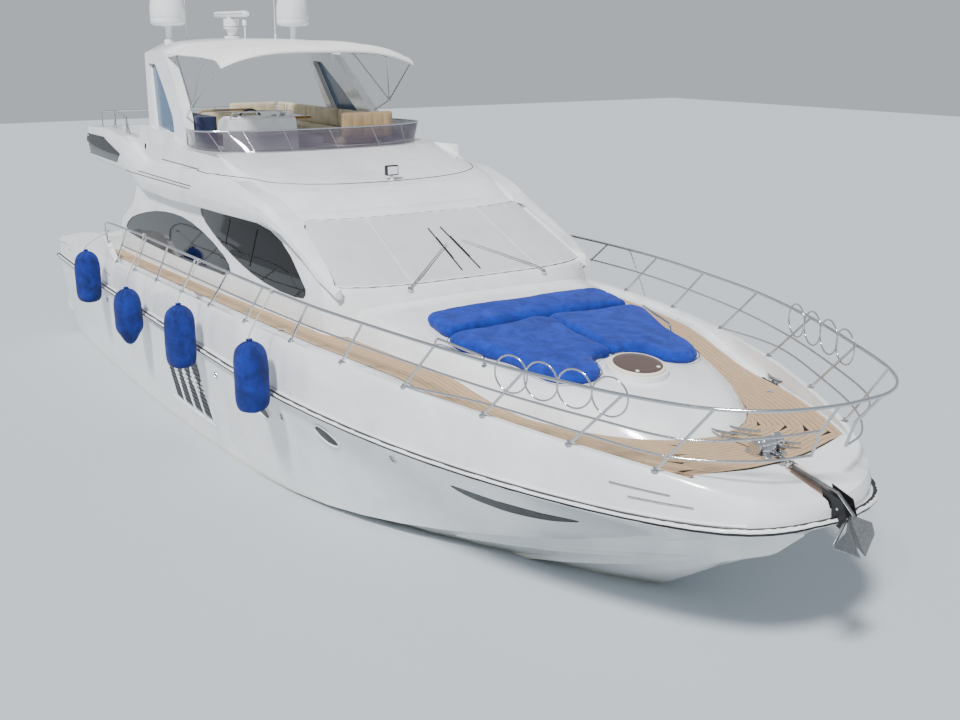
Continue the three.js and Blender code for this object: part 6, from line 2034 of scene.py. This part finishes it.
    def table(self) -> None:
        """Make the varnished table with its fiddle edge on two stainless legs."""
        path = rounded_path([(-4.70, 0.06, 0), (-3.0, 0.06, 0), (-3.0, 0.76, 0), (-4.70, 0.76, 0)], 0.16, 8,
                            True)
        piece("table_top", slab(path, 3.872, 3.905), VARNISH, Slot.VARNISH, bevel=0.006,
              replaces=("fly_table",))
        inner = rounded_path([(-4.655, 0.105, 3.906), (-3.045, 0.105, 3.906), (-3.045, 0.715, 3.906),
                              (-4.655, 0.715, 3.906)], 0.13, 8, True)
        piece("table_inlay", tube(inner, 0.004, 6, True), LINE_ROPE, Slot.VARNISH)
        leg = [(0.055, 0.0), (0.055, 0.008), (0.036, 0.016), (0.033, 0.56), (0.05, 0.59), (TIP, 0.591)]
        piece("table_legs", joined(lathe(leg, 24).shifted(x, 0.41, FLY_SOLE) for x in (-4.35, -3.35)), STEEL,
              Slot.STEEL)

    def locker(self) -> None:
        """Drape the navy cover over the wet bar, with corner folds and a hem that hangs clear."""
        x0, x1, y0, y1, z0, z1 = -3.42, -2.20, -1.39, -1.09, 3.30, 4.005
        loop = self.dense_loop([(x0, y0), (x1, y0), (x1, y1), (x0, y1)], 0.07, 0.03)
        n = len(loop)
        centre = Vector(((x0 + x1) / 2, (y0 + y1) / 2, 0))
        rings = []
        for k in range(17):
            v = k / 16
            ring = []
            for j, p in enumerate(loop):
                out = (p - centre)
                out.z = 0
                flare = 0.006 * v * math.sin(j * 0.9 + 1.3 * math.sin(j * 0.31)) + 0.004 * noise.noise(
                    Vector((p.x * 7, p.y * 7, v * 3)))
                q = p + out.normalized() * (flare * (0.3 + 0.7 * v) - 0.012)
                z = z1 - (z1 - z0) * v - (0.02 * (1 - v) if v else 0.0)
                ring.append((q.x, q.y, z))
            rings.append(ring)
        lid = [(0.93, 0.004), (0.6, 0.006), (0.25, 0.007), (0.02, 0.007)]
        top = [[(centre.x + (x - centre.x) * s, centre.y + (y - centre.y) * s, z1 - 0.006 + up
                 + 0.003 * noise.noise(Vector((x * 3 * s, y * 3 * s, 1)))) for x, y, _ in rings[0]] for s,
                 up in lid]
        skin = loft([*reversed(rings), *top], caps=False)
        skin.faces.append(tuple(range(len(skin.points) - n, len(skin.points))))
        cloth = piece("locker_cover", skin, NAVY_CANVAS, Slot.NAVY, angle=60, replaces=("fly_locker",))
        thick = cloth.modifiers.new("cloth", "SOLIDIFY")
        thick.thickness = 0.0015
        hem = piece("locker_hem", tube([Vector(p) for p in rings[-1]], 0.0035, 6, True), NAVY_CANVAS,
                    Slot.NAVY)
        core = [(x0 + 0.03, y0 + 0.03), (x1 - 0.03, y0 + 0.03), (x1 - 0.03, y1 - 0.03),
                (x0 + 0.03, y1 - 0.03)]
        piece("locker_carcass", slab(core, FLY_SOLE, 3.98), WHITE, Slot.GELCOAT, bevel=0.02)

    def dense_loop(self, corners: Sequence[tuple[float, float]], radius: float, step: float) -> list[Vector]:
        """Return a rounded outline with points no further apart than a step."""
        return dense(rounded_path([(x, y, 0) for x, y in corners], radius, 6, True), step)

    def fittings(self) -> None:
        """Add the floodlight, the dark wing panes, the speakers and the small dome."""
        skin = Skin("flybridge")
        spot = skin.top(0.80, 0.03)
        foot = lathe([(0.035, -0.006), (0.035, 0.008), (0.02, 0.018), (0.018, 0.07), (TIP, 0.071)], 20)
        piece("floodlight_foot", foot.shifted(*spot), WHITE, Slot.GELCOAT)
        piece("floodlight_case", block(-0.035, 0.03, -0.085, 0.085, 0.06, 0.185).shifted(*spot),
              BLACK_PLASTIC_AND_SHADE,
              Slot.GRIP, bevel=0.008)
        piece("floodlight_lens", block(0.029, 0.033, -0.07, 0.07, 0.075, 0.17).shifted(*spot), LAMP,
              Slot.STEEL,
              bevel=0.001)
        for name, side in SIDES:
            loop = [(p.x, p.y) for p in self.dense_loop(self.wing, 0.06, 0.08)]
            piece("wing_glass_" + name, decal(skin, loop, side, 0.004, 6), GLASS, Slot.GLASS)
        rings, cones = [], []
        for _, side in SIDES:
            place, normal = skin.side(-3.46, 3.53, side)
            turn = facing(place, normal)
            rings.append(lathe([(0.075, -0.003), (0.075, 0.006), (0.066, 0.012), (0.056, 0.006),
                                (TIP, 0.005)], 32)
                         .moved(turn))
            cones.append(lathe([(0.055, 0.0055), (0.035, 0.0065), (TIP, 0.010)], 28).moved(turn))
        piece("fly_speakers", joined(rings), WHITE, Slot.GELCOAT)
        piece("fly_speaker_cones", joined(cones), BLACK_PLASTIC_AND_SHADE, Slot.GRIP)
        dome = skin.top(-1.30, 0.85)
        cap = [(0.05, -0.003), (0.05, 0.01), (0.062, 0.02), (0.064, 0.045), (0.05, 0.07), (0.025, 0.082),
               (TIP, 0.085)]
        piece("gps_dome", lathe(cap, 28).shifted(*dome), WHITE, Slot.GELCOAT)

    def aft_rails(self) -> None:
        """Add the low stainless rails round the after end of the upper deck."""
        skin = Skin("flybridge")
        parts = []
        posts = [(-6.45, 1.35), (-6.45, 0.45), (-6.45, -0.45), (-6.45, -1.35)]
        posts += [(x, side * 1.66) for side in (1, -1) for x in (-6.05, -5.3, -4.7)]
        grounded = [skin.top(x, y, 4.4) for x, y in posts]
        for p in grounded:
            parts.append(tube([p - Vector((0, 0, 0.004)), p + Vector((0, 0, self.aft_rail_height))], 0.0125,
                              10))
            parts.append(lathe([(0.03, -0.002), (0.03, 0.005), (0.015, 0.012), (TIP, 0.013)],
                               18).shifted(*p))
        for up, radius in ((self.aft_rail_height, 0.0125),):
            line = []
            for x, y in ((-4.55, 1.66), (-4.7, 1.66), (-5.3, 1.66), (-6.05, 1.66), (-6.45, 1.35),
                         (-6.45, 0.45),
                         (-6.45, -0.45), (-6.45, -1.35), (-6.05, -1.66), (-5.3, -1.66), (-4.7, -1.66),
                         (-4.55, -1.66)):
                line.append(skin.top(x, y, 4.4) + Vector((0, 0, up)))
            line[0].z = skin.top(-4.45, 1.66, 4.4).z + 0.01
            line[-1].z = line[0].z
            parts.append(tube(rounded_path(line, 0.16, 6), radius, 10))
        piece("fly_aft_rail", joined(parts), STEEL, Slot.STEEL)


@dataclass
class ArchTop:
    """Radar arch, what stands on it, and the cloth canopy stretched forward of it."""

    dome_place: tuple[float, float] = (-4.26, 1.03)
    hub: Point = (-1.98, 1.535, 4.17)
    strut_foot: Point = (-2.42, 1.48, 3.985)
    opening: Sequence[tuple[float, float]] = (
        (-3.56, 3.76), (-2.65, 3.74), (-2.80, 3.98), (-3.30, 4.36), (-3.80, 4.70), (-4.13, 4.70),
    )

    def build(self) -> None:
        """Make the arch and everything over it."""
        polished("radar_arch", WHITE, angle=30)
        self.domes()
        self.scanner()
        self.canopy()
        self.tubes()
        self.curtains()
        self.aerials()

    def domes(self) -> None:
        """Make the two satellite domes, each a moulded radome on a flanged stalk."""
        profile = [(0.075, 4.992), (0.075, 5.03), (0.066, 5.045), (0.048, 5.06), (0.046, 5.20),
                   (0.055, 5.235),
                   (0.10, 5.244), (0.19, 5.248), (0.226, 5.256), (0.250, 5.275), (0.2605, 5.300),
                   (0.2605, 5.345),
                   (0.2585, 5.350), (0.2585, 5.358), (0.2615, 5.363), (0.262, 5.43), (0.259, 5.51),
                   (0.247, 5.60),
                   (0.226, 5.67), (0.195, 5.725), (0.155, 5.766), (0.105, 5.790), (0.05, 5.802),
                   (TIP, 5.805)]
        for name, side in SIDES:
            x, y = self.dome_place
            piece("satellite_dome_" + name, lathe(profile, 56).shifted(x, side * y, 0), WHITE, Slot.GELCOAT,
                  angle=40, replaces=("dome_" + name,))

    def scanner(self) -> None:
        """Make the open-array radar scanner with its soft-edged bar."""
        x0, x1, low, high = -4.99, -3.61, 5.375, 5.472
        rings = []
        for k in range(25):
            t = k / 24
            end = min(1.0, (min(t, 1 - t) * 24 / 2.2 + 0.25)) ** 0.5
            ring = []
            for j in range(20):
                a = j * math.tau / 20
                y = 0.06 * math.copysign(abs(math.cos(a)) ** 0.6, math.cos(a)) * end
                z = (low + high) / 2 + (high - low) / 2 * math.copysign(abs(math.sin(a)) ** 0.6,
                                                                        math.sin(a)) * end
                ring.append((x0 + (x1 - x0) * t, y, z))
            rings.append(ring)
        neck = lathe([(0.06, 5.356), (0.06, 5.372), (0.05, 5.384), (TIP, 5.385)], 28).shifted(-4.3, 0, 0)
        piece("scanner_bar", joined([loft(rings), neck]), WHITE, Slot.GELCOAT, "scanner", angle=50,
              replaces=("radar_scanner",))
        groove = tube([(x0 + 0.05, 0.0605, 5.425), (x1 - 0.05, 0.0605, 5.425)], 0.0025, 6)
        piece("scanner_seam", both(groove), BLACK_PLASTIC_AND_SHADE, Slot.GRIP, "scanner")
        joints = [tube([(-4.3 + r * math.cos(a), r * math.sin(a), z)
                        for a in (k * math.tau / 40 for k in range(40))],
                       0.003, 6, True) for r, z in ((0.1265, 5.235), (0.1215, 5.10))]
        piece("pedestal_joints", joined(joints), BLACK_PLASTIC_AND_SHADE, Slot.GRIP)

    def surface(self, s: float, u: float, down: float) -> Vector:
        """Return a point of the canopy: s from the arch forward, u across it, and how far below."""
        half = 1.425 + 0.025 * s
        crown = 5.048 - 0.008 * s - 0.040 * s ** 4 - 0.090 * max(0.0, (s - 0.88) / 0.12) ** 2
        drop = (0.195 + 0.015 * s) * abs(u) ** 3.4
        return Vector((-3.310 + s * 2.270 + 0.120 * s * (1 - u * u), u * half, crown - drop - down))

    def canopy(self) -> None:
        """Stretch the white canopy: slightly hollow between its bows, with a rolled drooping front."""
        rows, columns = 64, 72
        bows = (0.2, 0.66, 0.96)
        rings = []
        for r in range(rows + 1):
            s = 0.008 + 0.992 * r / rows
            near = min(abs(s - b) for b in bows)
            line = []
            for c in range(columns + 1):
                u = -0.998 + 1.996 * c / columns
                sag = 0.010 * min(1.0, near / 0.12) * (1 - abs(u) ** 4)
                crease = 0.0035 * math.sin(abs(u) * 26 + s * 5) * max(0.0, abs(u) - 0.75) * 4
                line.append(self.surface(s, u, 0.003 + sag + abs(crease)))
            rings.append(line)
        top, _ = lined(rings, [[p - Vector((0, 0, 0.0035)) for p in line] for line in rings], flip=True)
        cloth = piece("canopy_cloth", top, WHITE_CANVAS, Slot.CANVAS, angle=70, replaces=("canopy",))
        front = [self.surface(0.985, -0.985 + 1.97 * k / 60, 0.026) for k in range(61)]
        roll = piece("canopy_front_roll",
                     tube(front, lambda t: 0.028 * (0.55 + 0.45 * math.sin(math.pi * t)), 14),
                     WHITE_CANVAS, Slot.CANVAS)
        hems = []
        for side in (1, -1):
            line = [self.surface(0.02 + 0.96 * k / 40, side * 0.99, 0.012) for k in range(41)]
            hems.append(tube(line, 0.011, 10))
        for s in bows[:2]:
            hems.append(tube([self.surface(s, -0.97 + 1.94 * k / 48, 0.0) for k in range(49)], 0.0035, 6))
        hem = piece("canopy_hems", joined(hems), WHITE_CANVAS, Slot.CANVAS)

    def tubes(self) -> None:
        """Make the canopy's bows, struts, hubs and sliding jaws."""
        parts = []
        for s in (0.96, 0.66, 0.2):
            path = [self.surface(s, (-0.985 + 1.97 * k / 40), 0.026 + 0.013) for k in range(41)]
            parts.append(tube(path, 0.0125, 12))
        for side in (1, -1):
            hub = Vector((self.hub[0], side * self.hub[1], self.hub[2]))
            foot = Vector((self.strut_foot[0], side * self.strut_foot[1], self.strut_foot[2]))
            for s in (0.96, 0.66, 0.2):
                top = self.surface(s, side * 0.985, 0.039)
                parts.append(tube([hub, top], 0.0125, 12))
                parts.append(lathe([(0.018, -0.02), (0.018, 0.05), (0.014, 0.055), (TIP, 0.056)], 14)
                             .moved(facing(hub, top - hub)))
            parts.append(tube([hub, foot], 0.0125, 12))
            parts.append(lathe([(0.022, -0.024), (0.022, 0.024), (TIP, 0.025)], 20)
                         .moved(facing(hub, (0, 1, 0))))
        piece("canopy_bows", joined(parts), STEEL, Slot.STEEL, replaces=("canopy_frame",))

    def curtains(self) -> None:
        """Fill the openings of the arch legs with rolled clear-vinyl curtains."""
        path = rounded_path([(x, 0, z) for x, z in self.opening], 0.06, 5, True)
        cx = sum(p.x for p in path) / len(path)
        cz = sum(p.z for p in path) / len(path)
        for name, side in SIDES:
            rings = []
            for scale in (1.0, 0.985, 0.93, 0.8, 0.6, 0.35, 0.05):
                ring = []
                for p in path:
                    x, z = cx + (p.x - cx) * scale, cz + (p.z - cz) * scale
                    lean = 1.600 - 0.1613 * (z - 3.6205)
                    belly = 0.012 * (1 - scale) + 0.004 * noise.noise(Vector((x * 4, z * 4, 5)))
                    ring.append(Vector((x, side * (lean - 0.062 + belly), z)))
                rings.append(ring)
            front = loft(rings, caps=False)
            front.faces.append(tuple(range(len(front.points) - len(path), len(front.points))))
            sheet = piece("arch_curtain_" + name, front, BLUE_VINYL, Slot.ACRYLIC, angle=60)
            thick = sheet.modifiers.new("sheet", "SOLIDIFY")
            thick.thickness = 0.0015
            hem = piece("arch_curtain_hem_" + name, tube(rings[0], 0.012, 8, True), WHITE_CANVAS, Slot.CANVAS)

    def aerials(self) -> None:
        """Add the masthead light and two whips on the arch."""
        skin = Skin("radar_arch")
        whips = []
        for x, y in ((-4.30, -0.735), (-4.30, 0.735)):
            foot = skin.top(x, y, 6.0)
            whips.append(tube([foot, foot + Vector((0, 0, 0.1))], 0.014, 10))
            whips.append(tube([foot + Vector((0, 0, 0.1)), (x, y, 5.985)], lambda t: 0.007 - 0.0035 * t, 8))
        piece("whip_aerials", joined(whips), WHITE, Slot.GELCOAT)
        foot = skin.top(-3.75, 0.0, 6.0)
        stem = tube([foot - Vector((0, 0, 0.003)), foot + Vector((0, 0, 0.19))], 0.012, 10)
        lamp = lathe([(0.032, 0.19), (0.034, 0.20), (0.034, 0.25), (0.03, 0.27), (TIP, 0.28)], 24)
        piece("masthead_stem", stem, WHITE, Slot.GELCOAT)
        piece("masthead_lamp", lamp.shifted(foot.x, foot.y, foot.z), LAMP, Slot.STEEL)


@dataclass
class Cockpit:
    """After deck with its sofa, table, stairs, gate and the swim platform."""

    def build(self) -> None:
        """Make the after deck."""
        polished("swim_platform", WHITE)
        polished("fly_stairs", WHITE)
        polished("transom_gate", WHITE)
        self.seat()
        self.table()
        self.treads()
        self.rail()

    def seat(self) -> None:
        """Make the sofa across the transom."""
        shell = slab([(-6.69, -1.15), (-6.10, -1.15), (-6.10, 1.15), (-6.69, 1.15)], 1.2515, 1.60)
        piece("cockpit_seat_shell", shell, WHITE, Slot.GELCOAT, bevel=0.02, replaces=("cockpit_sofa",))
        maker = Flybridge()
        for k, (y0, y1) in enumerate(((-1.14, -0.39), (-0.37, 0.37), (0.39, 1.14))):
            pad = maker.cushion([(-6.52, y0), (-6.08, y0), (-6.08, y1), (-6.52, y1)], 1.60, 1.70, 5, True)
            upholstered(f"cockpit_cushion_{k + 1}", pad, BEIGE_VINYL)
            back = maker.bolster(-6.685, -6.53, y0, y1, 1.62, 1.985, 0.0, 5)
            upholstered(f"cockpit_back_{k + 1}", back, BEIGE_VINYL)

    def table(self) -> None:
        """Make the varnished cockpit table."""
        path = rounded_path([(-5.85, -0.60, 0), (-5.0, -0.60, 0), (-5.0, 0.75, 0), (-5.85, 0.75, 0)], 0.09,
                            6, True)
        piece("cockpit_table_top", slab(path, 1.947, 1.983), VARNISH, Slot.VARNISH, bevel=0.006,
              replaces=("cockpit_table",))
        leg = [(0.11, 0.0), (0.11, 0.01), (0.07, 0.02), (0.055, 0.06), (0.052, 0.66), (0.09, 0.695),
               (TIP, 0.696)]
        piece("cockpit_table_leg", lathe(leg, 28).shifted(-5.42, 0.08, 1.2515), STEEL, Slot.STEEL)

    def treads(self) -> None:
        """Put teak pads on the flying stairs."""
        pads = Shape()
        for k in range(1, 8):
            x = -5.43 + (k - 1) * 0.232
            z = 1.25 + k * (3.28 - 1.25) / 8
            part = block(x + 0.02, x + 0.25, -1.38, -0.88, z + 0.0005, z + 0.006)
            part.uvs = [(p.y, p.x + k) for p in part.points]
            part.tones = [0.3 + 0.05 * k] * len(part.points)
            pads.add(part)
        piece("stair_pads", pads, TEAK, Slot.TEAK, bevel=0.002)

    def rail(self) -> None:
        """Add the handrail of the flying stairs."""
        path = rounded_path([(-5.40, -0.86, 1.55), (-5.40, -0.83, 2.25), (-4.0, -0.83, 3.02),
                             (-3.86, -0.86, 3.02)],
                            0.08, 6)
        piece("stair_handrail", tube(path, 0.0125, 12), STEEL, Slot.STEEL)


@dataclass
class Fenders:
    """Fenders in drawstring socks, hung from the rails on taut lanyards."""

    places: Sequence[tuple[str, float, int, float]] = (
        # node, x, side, height of the middle
        ("fender_1", -3.80, -1, 1.625), ("fender_2", -1.76, -1, 1.425), ("fender_3", 0.40, -1, 1.618),
        ("fender_4", 2.53, -1, 1.640), ("fender_5", 2.70, 1, 1.450),
    )
    radius: float = 0.203
    slim: float = 0.92
    half: float = 0.405
    sides: int = 72

    def build(self) -> None:
        """Make each fender with its sock, eye and lanyard."""
        for node, x, side, z in self.places:
            low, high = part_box(node)
            y = (low.y + high.y) / 2
            pointed = node == "fender_2"
            made = piece(node + "_sock", self.sock(x, y, z, pointed, x * 1.7), BLUE_SOCK, Slot.BLUE, angle=80,
                         replaces=(node,))
            eye = lathe([(TIP, -self.half), (0.022, -self.half + 0.002), (0.034, -self.half + 0.018),
                         (0.036, -self.half + 0.05)], 20)
            piece(node + "_tip", eye.shifted(x, y, z), LINE_ROPE, Slot.CANVAS)
            self.lanyard(node, Vector((x, y, z + self.half)), side)

    def sock(self, x: float, y: float, z: float, pointed: bool, seed: float) -> Shape:
        """Return a fleece sock that is gathered into pleats at the top."""
        h = self.half
        if pointed:
            profile = [(0.03, -0.395), (0.06, -0.375), (0.10, -0.33), (0.15, -0.25), (0.185, -0.20)]
        else:
            profile = [(0.035, -h + 0.008), (0.10, -h + 0.014), (0.150, -h + 0.035), (0.183, -h + 0.075),
                       (0.199, -h + 0.14)]
        profile += [(self.radius, -0.15), (self.radius, 0.0), (self.radius, 0.12), (0.196, 0.2),
                    (0.180, 0.26),
                    (0.155, 0.305), (0.120, 0.338), (0.082, 0.362), (0.045, 0.376), (0.032, 0.386),
                    (0.037, 0.395),
                    (0.030, 0.403)]
        line = smooth_path([(r * self.slim, 0, t) for r, t in profile], 4)
        rings = []
        for p in line:
            gather = max(0.0, (p.z - 0.16) / 0.24) ** 1.4
            tail = max(0.0, (-p.z - 0.30) / 0.12) * 0.5
            ring = []
            for k in range(self.sides):
                a = k * math.tau / self.sides
                pleat = 0.009 * gather * math.sin(14 * a + 2 * math.sin(3 * a + seed)) * min(1.0, p.x / 0.06)
                pleat += 0.0035 * math.sin(7 * a + seed + 1.8 * math.sin(2 * a + p.z * 3)) * min(1.0,
                                                                                                 p.x / 0.1)
                soft = 0.0035 * noise.noise(Vector((math.cos(a) * 2.5, math.sin(a) * 2.5, p.z * 7 + seed)))
                r = min(self.radius + 0.001,
                        max(0.01, p.x + pleat + soft - 0.003 - 0.004 * tail * math.sin(9 * a)))
                ring.append((x + r * math.cos(a), y + r * math.sin(a), z + p.z))
            rings.append(ring)
        return loft(rings)

    def lanyard(self, node: str, top: Vector, side: int) -> None:
        """Tie the fender to the top rail with a taut line and a clove hitch."""
        rail_y = side * 2.395
        rail = Vector((top.x, rail_y, 2.51))
        found = self.on_rail(rail, side)
        path = smooth_path([top - Vector((0, 0, 0.02)), top + Vector((0, 0, 0.03)), found], 6)
        parts = [tube(path, 0.007, 8)]
        for shift in (-0.012, 0.006):
            loop = [found + Vector((shift + 0.004 * math.cos(a), 0.019 * math.cos(a), 0.019 * math.sin(a)))
                    for a in (k * math.tau / 16 for k in range(16))]
            parts.append(tube(loop, 0.006, 8, True))
        piece(node + "_lanyard", joined(parts), LINE_ROPE, Slot.CANVAS)

    def on_rail(self, near: Vector, side: int) -> Vector:
        """Return the nearest point of the rail."""
        skin = Skin("guard_rail_port" if side > 0 else "guard_rail_starboard")
        found = skin.tree.find_nearest(near)
        return found[0] if found else near


@dataclass
class Drives:
    """Engines, shafts, propellers and rudders."""

    def build(self) -> None:
        """Dress what drives and steers the boat."""
        for name, side in SIDES:
            polished("engine_" + name, ENGINE)
            polished("shaft_" + name, STEEL)
            polished("propeller_" + name, BRONZE, angle=40)
            polished("rudder_" + name, BRONZE, angle=40)
            self.engine_parts(name, side)

    def engine_parts(self, name: str, side: int) -> None:
        """Add the rocker covers on an engine block, down in the engine room."""
        covers = [block(-4.8 + k * 0.42, -4.44 + k * 0.42, side * 0.8 - 0.12, side * 0.8 + 0.12, 0.8795, 0.93)
                  for k in range(3)]
        piece("engine_covers_" + name, joined(covers), ENGINE, Slot.ENGINE, bevel=0.02)


def main() -> None:
    """Build the yacht, piece by piece, and its studio."""
    logging.basicConfig(level=logging.INFO, format="%(name)s %(message)s")
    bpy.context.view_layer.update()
    for assembly in (Studio(), Hull(), Deck(), Rails(), Foredeck(), House(), Flybridge(), ArchTop(),
                     Cockpit(),
                     Fenders(), Drives()):
        LOG.info("building %s", type(assembly).__name__)
        assembly.build()


if __name__ == "__main__":
    main()
